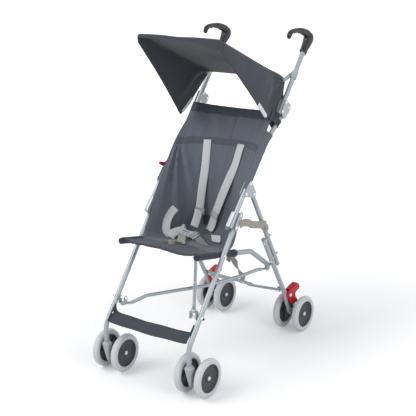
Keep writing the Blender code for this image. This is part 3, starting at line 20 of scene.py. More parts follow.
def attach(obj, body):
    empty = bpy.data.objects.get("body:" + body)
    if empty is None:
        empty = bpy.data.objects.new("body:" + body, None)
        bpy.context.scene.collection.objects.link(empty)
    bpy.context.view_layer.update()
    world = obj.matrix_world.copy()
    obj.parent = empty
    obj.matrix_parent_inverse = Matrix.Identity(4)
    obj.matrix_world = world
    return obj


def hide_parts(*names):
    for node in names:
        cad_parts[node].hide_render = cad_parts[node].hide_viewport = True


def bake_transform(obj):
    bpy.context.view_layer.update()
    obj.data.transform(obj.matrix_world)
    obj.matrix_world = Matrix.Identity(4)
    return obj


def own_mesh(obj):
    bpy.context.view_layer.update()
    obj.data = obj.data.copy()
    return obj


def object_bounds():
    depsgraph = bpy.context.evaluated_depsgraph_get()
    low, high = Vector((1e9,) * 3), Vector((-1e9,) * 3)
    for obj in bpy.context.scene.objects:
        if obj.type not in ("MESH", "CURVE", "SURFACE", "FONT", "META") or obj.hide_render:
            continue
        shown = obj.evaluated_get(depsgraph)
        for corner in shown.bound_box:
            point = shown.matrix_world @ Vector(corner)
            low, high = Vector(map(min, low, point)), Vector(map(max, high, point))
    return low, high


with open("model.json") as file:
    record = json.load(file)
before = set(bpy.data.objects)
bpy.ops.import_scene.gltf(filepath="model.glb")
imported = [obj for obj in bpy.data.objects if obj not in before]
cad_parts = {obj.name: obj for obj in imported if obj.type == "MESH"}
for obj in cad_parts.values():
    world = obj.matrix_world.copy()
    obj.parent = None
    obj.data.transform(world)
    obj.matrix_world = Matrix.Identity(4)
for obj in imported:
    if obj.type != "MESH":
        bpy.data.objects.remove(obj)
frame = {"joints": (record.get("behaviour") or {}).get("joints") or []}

solid_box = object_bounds()

# %% [markdown]
# ## Measures
#
# A stroller is mostly the same few sizes used again: 16 mm tube, 25 mm webbing, 6 mm pins.
# Naming them once keeps pieces that touch in agreement. The joints already know where the pins
# are, so their places are read from the model and not typed again.

# %% Places of the pins, read from the joints
pin_of = {joint["name"]: Vector(joint["pos_m"]) for joint in frame["joints"] if "pos_m" in joint}
SIDES = (("left", 1.0), ("right", -1.0))
side_x = pin_of["caster_swivel_left"].x
swivel_y = pin_of["caster_swivel_left"].y
swivel_z = pin_of["caster_swivel_left"].z
knuckle_pin = tuple(pin_of["rear_leg_fold_left"].yz)
rail_pin = tuple(pin_of["seat_rail_tilt_left"].yz)
clevis_pin = tuple(pin_of["clevis_pitch_left"].yz)
lever_pin = tuple(pin_of["brake_press_left"].yz)
canopy_pin = tuple(pin_of["canopy_tilt"].yz)
latch_pin = tuple(pin_of["latch_turn"].yz)
front_axle = tuple(pin_of["front_wheel_left_outer_spin"].yz)
rear_axle = tuple(pin_of["rear_wheel_left_outer_spin"].yz)
print("side plane x =", round(side_x, 4), "wheel axles", front_axle, rear_axle)

# %% Stock sizes
tube_radius = 0.0080
rail_radius = 0.0085
rail_x = 0.1475
pin_radius = 0.0030
plate_gap = 0.0083          # from a tube's axis to the plate beside it
plate_thick = 0.0020
webbing_width = 0.0250
near_strap_width, side_strap_width, pull_strap_width = 0.0300, 0.0225, 0.0180
webbing_thick = 0.0018
cloth_thick = 0.0018

# %% The side view, as (y, z)
main_foot, main_bend, main_top = (-0.124, 0.480), (0.085, 0.705), (0.226, 0.800)
push_foot, push_top = (0.172, 0.784), (0.345, 0.9876)
leg_top = (-0.070, 0.513)
leg_slope = 1.220
leg_corner = (swivel_y, leg_top[1] + leg_slope * (swivel_y - leg_top[0]))
rear_upper_end = (0.145, 0.275)
rear_lower_top, rear_lower_end = (0.066, 0.384), (0.1866, 0.1577)
rail_tip, rail_bend, rail_end = (-0.270, 0.427), (0.0145, 0.3575), (0.1170, 0.2761)

# %% [markdown]
# ## Small geometry helpers
#
# Most brackets are drawn in the side view, so a point there is a pair (y, z). These helpers step
# along a line, move sideways from it, and draw the outline round a few circles, which is the
# shape of nearly every pressed link plate.

# %% Steps and directions in the side view
def heading(start, end):
    """The unit direction from one side-view point to another."""
    way = Vector(end) - Vector(start)
    return tuple(way / way.length)


def step_from(start, end, distance):
    way = heading(start, end)
    return (start[0] + way[0] * distance, start[1] + way[1] * distance)


def beside(place, way, sideways, ahead=0.0):
    """A point moved along a direction and to its left."""
    return (place[0] + way[0] * ahead - way[1] * sideways,
            place[1] + way[1] * ahead + way[0] * sideways)


main_way = heading(main_foot, main_bend)
main_top_way = heading(main_bend, main_top)
push_way = heading(push_foot, push_top)
rear_way = heading(rear_lower_top, rear_lower_end)
rear_upper_way = heading(knuckle_pin, rear_upper_end)

# %% Outlines and smooth curves
def round_outline(circles, steps=10):
    """The convex outline round a few circles, each (y, z, radius)."""
    cloud = sorted((y + r * math.cos(math.pi * k / steps), z + r * math.sin(math.pi * k / steps))
                   for y, z, r in circles for k in range(2 * steps))

    def half(points):
        path = []
        for p in points:
            while len(path) > 1 and ((path[-1][0] - path[-2][0]) * (p[1] - path[-2][1])
                                     - (path[-1][1] - path[-2][1]) * (p[0] - path[-2][0])) <= 1e-12:
                path.pop()
            path.append(p)
        return path[:-1]

    return half(cloud) + half(cloud[::-1])


def smooth_curve(keys, count, closed=False):
    """Points on a Catmull-Rom curve through the keys."""
    keys = [Vector(k) for k in keys]
    n = len(keys)
    spans = n if closed else n - 1
    found = []
    for k in range(count if closed else count + 1):
        place = spans * k / count
        i = min(int(place), spans - 1)
        t = place - i
        if closed:
            a, b, c, d = (keys[(i + j) % n] for j in (-1, 0, 1, 2))
        else:
            a, b = keys[max(i - 1, 0)], keys[i]
            c, d = keys[i + 1], keys[min(i + 2, n - 1)]
        found.append(0.5 * (2 * b + (c - a) * t + (2 * a - 5 * b + 4 * c - d) * t * t
                            + (3 * b - a - 3 * c + d) * t ** 3))
    return found


def bent(points, radius, steps=10):
    """A polyline whose inner corners are arcs of one radius, as a tube bender leaves them."""
    points = [Vector(p) for p in points]
    path = [points[0]]
    for before, corner, after in zip(points, points[1:], points[2:]):
        back, ahead = (before - corner).normalized(), (after - corner).normalized()
        half = back.angle(ahead) / 2
        reach = radius / math.tan(half)
        centre = corner + (back + ahead).normalized() * (radius / math.sin(half))
        first, last = corner + back * reach - centre, corner + ahead * reach - centre
        turn = first.angle(last)
        path += [centre + (first * math.sin((1 - k / steps) * turn)
                           + last * math.sin(k / steps * turn)) / math.sin(turn)
                 for k in range(steps + 1)]
    return path + [points[-1]]


def in_side(x, places):
    return [Vector((x, y, z)) for y, z in places]


print("leg corner", [round(c, 3) for c in leg_corner])

# %% [markdown]
# ## Turning numbers into meshes
#
# Three builders make nearly all the hard parts. A tube is a ring of points carried along a path.
# A turned part is a profile swept round an axle. A plate is an outline with softened edges, and
# the softening matters most: pressed steel and moulded plastic never have a knife edge, and the
# thin line of light along a soft edge is what makes a part look real. Modifiers could do the
# same, but building the rings directly keeps every piece light and predictable.

# %% A tube along a path
def ring_faces(rings, sides):
    """Four-sided faces between rings of points that follow each other."""
    return [(i * sides + k, i * sides + (k + 1) % sides, (i + 1) * sides + (k + 1) % sides,
             (i + 1) * sides + k) for i in range(rings - 1) for k in range(sides)]


def tube_mesh(path, radius, sides=20, squash=None, ends="round", soft=0.0015):
    """Rings along a path. radius is a number or one per point; squash flattens a ring:
    (share across the first side way, share across the second) per point."""
    path = [Vector(p) for p in path]
    radii = list(radius) if hasattr(radius, "__len__") else [radius] * len(path)
    shares = list(squash) if squash else [(1.0, 1.0)] * len(path)
    if ends == "round":
        for at, step in ((0, 1), (-1, -1)):
            r = radii[at]
            inward = (path[at + step] - path[at]).normalized()
            tip = path[at].copy()
            lip = min(soft, r * 0.9)
            rings = [(tip + inward * lip * (1 - math.sin(a)), r - lip * (1 - math.cos(a)))
                     for a in (math.radians(d) for d in (90, 60, 30, 0))]
            share = shares[at]
            if at == 0:
                path = [p for p, _ in rings] + path[1:]
                radii = [q for _, q in rings] + radii[1:]
                shares = [share] * 4 + shares[1:]
            else:
                path = path[:-1] + [p for p, _ in rings[::-1]]
                radii = radii[:-1] + [q for _, q in rings[::-1]]
                shares = shares[:-1] + [share] * 4
    way = (path[1] - path[0]).normalized()
    side = Vector((1, 0, 0)) if abs(way.x) < 0.9 else Vector((0, 0, 1))
    points, faces = [], ring_faces(len(path), sides)
    for i, place in enumerate(path):
        ahead = path[min(i + 1, len(path) - 1)] - path[max(i - 1, 0)]
        if ahead.length > 1e-7:
            way = ahead.normalized()
        side = (side - way * side.dot(way)).normalized()
        up = way.cross(side)
        wide, deep = shares[i]
        for k in range(sides):
            a = 2 * math.pi * k / sides
            points.append(place + (side * math.cos(a) * wide + up * math.sin(a) * deep) * radii[i])
    if ends != "open":
        faces.append(tuple(range(sides))[::-1])
        last = (len(path) - 1) * sides
        faces.append(tuple(range(last, last + sides)))
    return points, faces


# %% A turned part
def turned_mesh(profile, centre, axis, sides=48, closed=False):
    """A profile of (radius, distance along the axis) swept round the axis."""
    axis = Vector(axis).normalized()
    centre = Vector(centre)
    side = axis.orthogonal().normalized()
    up = axis.cross(side)
    points, faces, rings = [], [], []
    for radius, along in profile:
        start = len(points)
        if radius < 1e-7:
            points.append(centre + axis * along)
            rings.append([start] * sides)
            continue
        for k in range(sides):
            a = 2 * math.pi * k / sides
            points.append(centre + axis * along + (side * math.cos(a) + up * math.sin(a)) * radius)
        rings.append(list(range(start, start + sides)))
    pairs = list(zip(rings, rings[1:])) + ([(rings[-1], rings[0])] if closed else [])
    for low, high in pairs:
        for k in range(sides):
            n = (k + 1) % sides
            corner = [low[k], low[n], high[n], high[k]]
            corner = [c for i, c in enumerate(corner) if c not in corner[:i]]
            if len(corner) > 2:
                faces.append(tuple(corner))
    return points, faces


# %% A plate with softened edges
def shrink(outline, distance):
    """The outline moved inwards by a distance, corner by corner."""
    n = len(outline)
    area = sum(outline[i][0] * outline[(i + 1) % n][1] - outline[(i + 1) % n][0] * outline[i][1]
               for i in range(n))
    turn = 1.0 if area > 0 else -1.0
    moved = []
    for i in range(n):
        a, b, c = Vector(outline[i - 1]), Vector(outline[i]), Vector(outline[(i + 1) % n])
        first, second = (b - a).normalized(), (c - b).normalized()
        normal = Vector((-(first.y + second.y), first.x + second.x))
        if normal.length < 1e-6:
            normal = Vector((-first.y, first.x))
        normal.normalize()
        grow = 1 / max(normal.dot(Vector((-first.y, first.x))), 0.5)
        moved.append(tuple(b + normal * distance * turn * grow))
    return moved


def slab_mesh(outline, low, high, soft, lift):
    """A plate with rounded edges. lift turns (first, second, height) into a point in space."""
    soft = min(soft, abs(high - low) * 0.49)
    rings = []
    for side, level in ((1, low), (-1, high)):
        steps = [(soft * 1.35, 0.0), (soft, 0.0), (soft * 0.42, soft * 0.18),
                 (soft * 0.10, soft * 0.55), (0.0, soft)]
        stack = [(inset, level + side * rise * (1 if high > low else -1))
                 for inset, rise in steps]
        rings += stack if side == 1 else stack[::-1]
    n = len(outline)
    points, faces = [], ring_faces(len(rings), n)
    for inset, height in rings:
        points += [lift(a, b, height) for a, b in (shrink(outline, inset) if inset else outline)]
    faces.append(tuple(range(n))[::-1])
    last = (len(rings) - 1) * n
    faces.append(tuple(range(last, last + n)))
    return points, faces


def plate_mesh(outline, x_low, x_high, soft=0.0006):
    """A plate drawn in the side view, between two planes of X."""
    return slab_mesh(outline, x_low, x_high, soft, lambda y, z, x: Vector((x, y, z)))


# %% Blocks, rivets and pins
def block_mesh(centre, size, way=(1.0, 0.0), soft=0.0006):
    """A bar with rounded edges; way is where its own Y points in the side view."""
    half_y, half_z = size[1] / 2, size[2] / 2
    rows = ((-half_y, -half_z), (half_y, -half_z), (half_y, half_z), (-half_y, half_z))
    centre = Vector(centre)

    def lift(a, b, x):
        return centre + Vector((x, a * way[0] - b * way[1], a * way[1] + b * way[0]))

    return slab_mesh(rows, -size[0] / 2, size[0] / 2, soft, lift)


def rivet_mesh(at, axis, radius=0.0056, height=0.0024):
    """A domed head with a small step at its foot, standing on a face."""
    dome = [(radius * 1.02, -0.0004), (radius * 1.02, 0.0002), (radius * 0.98, 0.0005)]
    dome += [(radius * math.cos(math.radians(d)) * 0.97,
              0.0005 + (height - 0.0005) * math.sin(math.radians(d)))
             for d in (10, 30, 50, 68, 82)] + [(0.0, height)]
    return turned_mesh(dome, at, axis, 20)


def pin_mesh(start, end, radius=pin_radius, sides=16):
    return tube_mesh([start, end], radius, sides, soft=0.0005)


def hex_nut_mesh(at, axis, radius=0.0058, height=0.0042):
    """A six-sided nut with the rounded corners that a spanner leaves."""
    axis = Vector(axis).normalized()
    side = axis.orthogonal().normalized()
    up = axis.cross(side)
    ring = [(radius * math.cos(math.pi * k / 3), radius * math.sin(math.pi * k / 3))
            for k in range(6)]
    return slab_mesh(ring, -0.0003, height, 0.0007,
                     lambda a, b, h: Vector(at) + side * a + up * b + axis * h)


print("builders ready")

# %% [markdown]
# ## Cloth is a grid
#
# A woven sheet has a width and a length. Building it as a grid with the same two directions lets
# the weave follow the cloth, because each point can remember where it lay when the cloth was
# flat. That memory is stored as an attribute called `lay`, in metres. Every piece gets one, and
# on hard parts it is simply the place in space.

# %% A sheet from a grid of points
def sheet_mesh(rows, thick, round_edge=True):
    """Both faces of a sheet and its rolled edges. rows is an array [along][across][xyz]."""
    grid = np.asarray(rows, float)
    along, across = grid.shape[:2]
    du, dv = np.gradient(grid, axis=1), np.gradient(grid, axis=0)
    normal = np.cross(du, dv)
    normal /= np.maximum(np.linalg.norm(normal, axis=2, keepdims=True), 1e-12)
    step_u = np.linalg.norm(np.diff(grid, axis=1), axis=2)
    step_v = np.linalg.norm(np.diff(grid, axis=0), axis=2)
    u = np.concatenate([np.zeros((along, 1)), np.cumsum(step_u, axis=1)], axis=1)
    u -= u[:, across // 2][:, None]
    v = np.concatenate([np.zeros((1, across)), np.cumsum(step_v, axis=0)], axis=0)
    lay = np.stack([u, v, np.zeros_like(u)], axis=2).reshape(-1, 3)
    n = along * across
    top = (grid + normal * thick / 2).reshape(-1, 3)
    low = (grid - normal * thick / 2).reshape(-1, 3)
    faces = []
    for i in range(along - 1):
        for k in range(across - 1):
            a = i * across + k
            b, c, d = a + 1, a + across + 1, a + across
            faces += [(a, b, c, d), (n + a, n + d, n + c, n + b)]
    rim = ([(0, k) for k in range(across)] + [(i, across - 1) for i in range(1, along)]
           + [(along - 1, k) for k in range(across - 2, -1, -1)]
           + [(i, 0) for i in range(along - 2, 0, -1)])
    flat = grid.reshape(-1, 3)
    middle, start = [], 2 * n
    for i, k in rim:
        inner = grid[min(max(i, 1), along - 2), min(max(k, 1), across - 2)]
        out = grid[i, k] - inner
        size = np.linalg.norm(out)
        push = out / size * thick * 0.45 if size > 1e-9 and round_edge else 0
        middle.append(flat[i * across + k] + push)
    count = len(rim)
    for r in range(count):
        s = (r + 1) % count
        a, b = rim[r][0] * across + rim[r][1], rim[s][0] * across + rim[s][1]
        faces += [(a, start + r, start + s, b), (start + r, n + a, n + b, start + s)]
    points = np.concatenate([top, low, np.array(middle)])
    rim_lay = np.array([lay[i * across + k] for i, k in rim])
    return [Vector(p) for p in points], faces, np.concatenate([lay, lay, rim_lay])


def flat_size(rows):
    """Width, length and area that the cloth of a grid was cut to."""
    grid = np.asarray(rows, float)
    wide = np.linalg.norm(np.diff(grid, axis=1), axis=2).sum(axis=1).max()
    long = np.linalg.norm(np.diff(grid, axis=0), axis=2).sum(axis=0).max()
    a, b = np.diff(grid, axis=1)[:-1], np.diff(grid, axis=0)[:, :-1]
    area = np.linalg.norm(np.cross(a, b), axis=2).sum()
    return float(wide), float(long), float(min(area, wide * long))


# %% Webbing along a path
def webbing_grid(path, ways, width, cells=6, count=None):
    """Rows of points for a strap: ways gives the direction across it at each key."""
    count = count or 8 * (len(path) - 1)
    middle = smooth_curve(path, count)
    side = smooth_curve(ways, count)
    rows = []
    for place, way, before, after in zip(middle, side, [middle[0]] + middle, middle[1:] + [middle[-1]]):
        along = (after - before).normalized()
        way = (way - along * way.dot(along)).normalized()
        rows.append([place + way * width * (k / cells - 0.5) for k in range(cells + 1)])
    return np.array([[list(p) for p in row] for row in rows])


# %% From meshes to a piece that rides on the model
scene_pieces = {}


def joined(meshes):
    """One list of points and one of faces from several meshes."""
    points, faces = [], []
    for mesh in meshes:
        start = len(points)
        points += mesh[0]
        faces += [tuple(start + i for i in face) for face in mesh[1]]
    return points, faces


def new_mesh(name, points, faces):
    """Mesh data whose faces all look outwards."""
    data = bpy.data.meshes.new(name)
    data.from_pydata([tuple(p) for p in points], [], faces)
    bm = bmesh.new()
    bm.from_mesh(data)
    bmesh.ops.recalc_face_normals(bm, faces=bm.faces)
    bm.to_mesh(data)
    bm.free()
    return data


def piece(name, meshes, finish, body, stands_for=(), sharp=38.0):
    """Joins meshes into one object, gives it a finish and hangs it on a body of the model."""
    data = new_mesh(name, *joined(meshes))
    lays = [mesh[2] if len(mesh) > 2 else np.array([list(p) for p in mesh[0]]) for mesh in meshes]
    lay = data.attributes.new("lay", "FLOAT_VECTOR", "POINT")
    lay.data.foreach_set("vector", np.concatenate(lays).astype(np.float32).ravel())
    data.shade_smooth()
    data.set_sharp_from_angle(angle=math.radians(sharp))
    data.materials.append(finishes[finish])
    obj = bpy.data.objects.new(name, data)
    bpy.context.scene.collection.objects.link(obj)
    if body:
        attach(obj, body)
    if stands_for:
        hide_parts(*([stands_for] if isinstance(stands_for, str) else stands_for))
    scene_pieces[name] = obj
    return obj


print("piece builder ready")

# %% [markdown]
# ## Small effects that many finishes share
#
# Real surfaces are never one flat number. Paint has a faint orange-peel skin, moulded plastic a
# fine grain, cloth a weave, and everything that stands on the street gathers dust low down. Each
# of these effects is needed by several finishes, so each is made once, as a shader node group
# with named inputs, and every material sets its own values. The groups only work out heights,
# masks and colours. The shader that turns them into light stays in the material.

# %% A helper for node groups
def new_group(name, inputs, outputs):
    tree = bpy.data.node_groups.new(name, "ShaderNodeTree")
    for label, kind, value in inputs:
        socket = tree.interface.new_socket(name=label, in_out="INPUT", socket_type=kind)
        if value is not None:
            socket.default_value = value
    for label, kind in outputs:
        tree.interface.new_socket(name=label, in_out="OUTPUT", socket_type=kind)
    return tree, tree.nodes.new("NodeGroupInput"), tree.nodes.new("NodeGroupOutput")


def add_math(tree, operation, first, second=None, third=None, clamp=False):
    node = tree.nodes.new("ShaderNodeMath")
    node.operation = operation
    node.use_clamp = clamp
    for socket, value in zip(node.inputs, (first, second, third)):
        if value is None:
            continue
        if isinstance(value, (int, float)):
            socket.default_value = value
        else:
            tree.links.new(value, socket)
    return node.outputs[0]


def add_noise(tree, place, scale, detail=3.0, roughness=0.55):
    node = tree.nodes.new("ShaderNodeTexNoise")
    node.inputs["Detail"].default_value = detail
    node.inputs["Roughness"].default_value = roughness
    tree.links.new(place, node.inputs["Vector"])
    if isinstance(scale, (int, float)):
        node.inputs["Scale"].default_value = scale
    else:
        tree.links.new(scale, node.inputs["Scale"])
    return node.outputs["Fac"]


FLOAT, VECTOR = "NodeSocketFloat", "NodeSocketVector"

# %% Grain: the fine skin of paint and moulded plastic
grain, start, end = new_group("Surface grain", [("Place", VECTOR, None), ("Size", FLOAT, 0.001),
                                                ("Patch size", FLOAT, 0.03)],
                              [("Height", FLOAT), ("Patches", FLOAT)])
fine = add_noise(grain, start.outputs["Place"], add_math(grain, "DIVIDE", 1.0, start.outputs["Size"]))
wide = add_noise(grain, start.outputs["Place"],
                 add_math(grain, "DIVIDE", 1.0, start.outputs["Patch size"]), 4.0)
grain.links.new(fine, end.inputs["Height"])
grain.links.new(wide, end.inputs["Patches"])

# %% Weave: warp over weft, then weft over warp
weave, start, end = new_group("Plain weave", [("Lay", VECTOR, None), ("Thread", FLOAT, 0.0009),
                                              ("Rib", FLOAT, 1.0)],
                              [("Height", FLOAT), ("Over", FLOAT), ("Slub", FLOAT)])
split = weave.nodes.new("ShaderNodeSeparateXYZ")
weave.links.new(start.outputs["Lay"], split.inputs[0])
turn = add_math(weave, "DIVIDE", math.pi, start.outputs["Thread"])
wave_x = add_math(weave, "SINE", add_math(weave, "MULTIPLY", split.outputs["X"], turn))
wave_y = add_math(weave, "SINE", add_math(weave, "MULTIPLY", split.outputs["Y"],
                                          add_math(weave, "MULTIPLY", turn, start.outputs["Rib"])))
over = add_math(weave, "GREATER_THAN", add_math(weave, "MULTIPLY", wave_x, wave_y), 0.0)
warp = add_math(weave, "ABSOLUTE", wave_x)
weft = add_math(weave, "ABSOLUTE", wave_y)
height = add_math(weave, "ADD", add_math(weave, "MULTIPLY", warp, over),
                  add_math(weave, "MULTIPLY", weft, add_math(weave, "SUBTRACT", 1.0, over)))
stretch = weave.nodes.new("ShaderNodeMapping")
stretch.inputs["Scale"].default_value = (40.0, 900.0, 1.0)
weave.links.new(start.outputs["Lay"], stretch.inputs["Vector"])
weave.links.new(height, end.inputs["Height"])
weave.links.new(over, end.inputs["Over"])
weave.links.new(add_noise(weave, stretch.outputs["Vector"], 1.0, 2.0), end.inputs["Slub"])

# %% Edge wear and road dust
wear, start, end = new_group("Edge wear", [("Place", VECTOR, None), ("Start", FLOAT, 0.53)],
                             [("Mask", FLOAT)])
shape = wear.nodes.new("ShaderNodeNewGeometry")
edge = wear.nodes.new("ShaderNodeMapRange")
wear.links.new(shape.outputs["Pointiness"], edge.inputs["Value"])
wear.links.new(start.outputs["Start"], edge.inputs["From Min"])
edge.inputs["From Max"].default_value = 0.62
broken = add_noise(wear, start.outputs["Place"], 160.0, 5.0, 0.7)
wear.links.new(add_math(wear, "MULTIPLY", edge.outputs["Result"],
                        add_math(wear, "MULTIPLY_ADD", broken, 2.4, -0.8, True), clamp=True),
               end.inputs["Mask"])

dust, start, end = new_group("Road dust", [("Place", VECTOR, None), ("Top", FLOAT, 0.14)],
                             [("Mask", FLOAT)])
split = dust.nodes.new("ShaderNodeSeparateXYZ")
dust.links.new(start.outputs["Place"], split.inputs[0])
low = dust.nodes.new("ShaderNodeMapRange")
dust.links.new(split.outputs["Z"], low.inputs["Value"])
dust.links.new(start.outputs["Top"], low.inputs["From Min"])
low.inputs["From Max"].default_value = 0.0
speck = add_noise(dust, start.outputs["Place"], 70.0, 6.0, 0.65)
dust.links.new(add_math(dust, "MULTIPLY", low.outputs["Result"],
                        add_math(dust, "MULTIPLY_ADD", speck, 2.2, -0.7, True), clamp=True),
               end.inputs["Mask"])
print("effect groups:", [g.name for g in (grain, weave, wear, dust)])

# %% [markdown]
# ## Finishes
#
# A finish starts from one base colour. For the seat's base and the rail sleeves it is the seat cloth
# made darker, which is painted shade. The effects then shift it a little: patches change the
# roughness, wear brightens an edge, dust dulls the lower parts. Values that are the same all over,
# such as the coat of clear paint or the sheen of cloth, are typed straight into the shader.

# %% A helper for finishes
finishes = {}               # each finish by its name


def new_finish(name, slot, colour, roughness, metallic=0.0, **extra):
    """A material with a Principled shader and its `lay` attribute ready to use."""
    material = bpy.data.materials.new(name)
    material.use_nodes = True
    tree = material.node_tree
    shader = tree.nodes["Principled BSDF"]
    shader.inputs["Base Color"].default_value = (*colour, 1.0)
    shader.inputs["Roughness"].default_value = roughness
    shader.inputs["Metallic"].default_value = metallic
    for label, value in extra.items():
        shader.inputs[label.replace("_", " ")].default_value = value
    material.diffuse_color = (*colour, 1.0)
    finishes[name] = material
    lay = tree.nodes.new("ShaderNodeAttribute")
    lay.attribute_name = "lay"
    return tree, shader, lay.outputs["Vector"]


def use_group(tree, group, place, **values):
    node = tree.nodes.new("ShaderNodeGroup")
    node.node_tree = group
    tree.links.new(place, node.inputs[0])
    for label, value in values.items():
        node.inputs[label.replace("_", " ")].default_value = value
    return node


def mix_colour(tree, mask, first, second):
    node = tree.nodes.new("ShaderNodeMix")
    node.data_type = "RGBA"
    for socket, value in ((node.inputs[0], mask), (node.inputs[6], first), (node.inputs[7], second)):
        if isinstance(value, tuple):
            socket.default_value = (*value, 1.0)
        elif isinstance(value, (int, float)):
            socket.default_value = value
        else:
            tree.links.new(value, socket)
    return node.outputs[2]


def add_bump(tree, shader, height, depth, strength=1.0):
    """Turns a height in 0..1 into a bump that is depth metres tall."""
    bump = tree.nodes.new("ShaderNodeBump")
    bump.inputs["Strength"].default_value = strength
    bump.inputs["Distance"].default_value = depth
    tree.links.new(height, bump.inputs["Height"])
    tree.links.new(bump.outputs["Normal"], shader.inputs["Normal"])


def shade(colour, share):
    return tuple(c * share for c in colour)


# %% Hard finishes: paint, bare steel and moulded plastics
def make_hard(name, slot, colour, roughness, metallic, size, depth, worn, spread=0.10, **extra):
    """worn is the colour that rubbed edges show; size and depth are those of the grain."""
    tree, shader, lay = new_finish(name, slot, colour, roughness, metallic, **extra)
    skin = use_group(tree, grain, lay, Size=size, Patch_size=0.045)
    rub = use_group(tree, wear, lay)
    dirt = use_group(tree, dust, lay, Top=0.16)
    body = mix_colour(tree, skin.outputs["Patches"], shade(colour, 1 - spread), shade(colour, 1 + spread))
    body = mix_colour(tree, add_math(tree, "MULTIPLY", rub.outputs["Mask"], 0.55), body, worn)
    body = mix_colour(tree, add_math(tree, "MULTIPLY", dirt.outputs["Mask"], 0.22), body,
                      (0.30, 0.28, 0.25))
    tree.links.new(body, shader.inputs["Base Color"])
    rough = add_math(tree, "MULTIPLY_ADD", skin.outputs["Patches"], 0.18, roughness - 0.09)
    rough = add_math(tree, "MULTIPLY_ADD", dirt.outputs["Mask"], 0.25, rough, True)
    tree.links.new(rough, shader.inputs["Roughness"])
    add_bump(tree, shader, skin.outputs["Height"], depth)


make_hard("satin_paint", "painted_steel", (0.360, 0.408, 0.434), 0.36, 0.25, 0.0022, 0.00008,
          (0.60, 0.64, 0.66), 0.06, Coat_Weight=0.45, Coat_Roughness=0.22)
make_hard("plain_steel", "bright_steel", (0.66, 0.67, 0.68), 0.30, 0.90, 0.0008, 0.00003,
          (0.80, 0.80, 0.80), 0.05)
make_hard("soft_rubber", "tyre_grey", (0.650, 0.670, 0.700), 0.72, 0.0, 0.0007, 0.00009,
          (0.60, 0.61, 0.63), 0.05, Specular_IOR_Level=0.35)
make_hard("moulded_charcoal", "hub_charcoal", (0.034, 0.041, 0.056), 0.48, 0.0, 0.0006, 0.00007,
          (0.11, 0.12, 0.14), 0.12)
make_hard("satin_black", "grip_black", (0.010, 0.010, 0.013), 0.36, 0.0, 0.0009, 0.00012,
          (0.060, 0.060, 0.070), 0.12)
make_hard("gloss_red", "brake_red", (0.520, 0.008, 0.022), 0.30, 0.0, 0.0010, 0.00004, (0.72, 0.10, 0.12),
          0.07, Coat_Weight=0.06, Coat_Roughness=0.15, Specular_IOR_Level=0.25)
make_hard("pale_moulding", "buckle_grey", (0.370, 0.415, 0.430), 0.42, 0.0, 0.0006, 0.00005,
          (0.50, 0.54, 0.55), 0.06)
make_hard("grey_moulding", "caster_grey", (0.410, 0.455, 0.480), 0.44, 0.0, 0.0007, 0.00006,
          (0.54, 0.57, 0.59), 0.06)
make_hard("white_cap", "bright_steel", (0.80, 0.81, 0.82), 0.28, 0.0, 0.0008, 0.00003, (0.86, 0.86, 0.86),
          0.03, Coat_Weight=0.3)
print("hard finishes:", list(finishes))

# %% Soft finishes: cloth, webbing, thread
def make_woven(name, slot, colour, thread, depth, rib=1.0, contrast=0.16, fade=0.10, **extra):
    """Woven stuff; its threads follow the cloth through the lay attribute."""
    tree, shader, lay = new_finish(name, slot, colour, 0.86, 0.0, Specular_IOR_Level=0.28,
                                             Sheen_Weight=0.25, Sheen_Roughness=0.45, **extra)
    cloth = use_group(tree, weave, lay, Thread=thread, Rib=rib)
    age = use_group(tree, grain, lay, Size=0.0012, Patch_size=0.075)
    body = mix_colour(tree, cloth.outputs["Over"], shade(colour, 1 - contrast), shade(colour, 1 + contrast))
    slub = mix_colour(tree, add_math(tree, "MULTIPLY", cloth.outputs["Slub"], 0.35), body,
                      shade(colour, 1.45))
    faded = mix_colour(tree, add_math(tree, "MULTIPLY", age.outputs["Patches"], fade), slub,
                       shade(colour, 1.6))
    tree.links.new(faded, shader.inputs["Base Color"])
    tree.links.new(add_math(tree, "MULTIPLY_ADD", cloth.outputs["Slub"], 0.14, 0.76, True),
                   shader.inputs["Roughness"])
    add_bump(tree, shader, cloth.outputs["Height"], depth, 0.7)


make_woven("seat_weave", "seat_cloth", (0.112, 0.127, 0.154), 0.0009, 0.00018)
make_woven("canopy_weave", "canopy_cloth", (0.046, 0.054, 0.067), 0.0008, 0.00014)
make_woven("pale_webbing", "webbing", (0.560, 0.580, 0.590), 0.0018, 0.00035, 0.45, 0.10)
make_woven("dark_binding", "seat_cloth", (0.042, 0.048, 0.060), 0.0013, 0.00025, 0.6, 0.12)
make_woven("white_tape", "webbing", (0.72, 0.73, 0.76), 0.0007, 0.00010, 0.8, 0.04)
make_woven("sewing_thread", "seat_cloth", (0.040, 0.045, 0.056), 0.0004, 0.00006)
print("soft finishes:", list(finishes)[-6:])

# %% [markdown]
# ## Camera, light and floor
#
# The photograph was taken from the front and a little above, with the stroller turned by about
# 37 degrees and the camera tipped very slightly. The lens is long, near 86 mm, so the picture is
# calm and parallel. The light is that of a white studio: bright everywhere, with two soft lamps
# that leave a faint shadow under the wheels.
#
# A lamp strong enough to burn the floor to white would also wash out the object. So the floor
# stays a normal pale surface for the light, and only its colour is lifted.

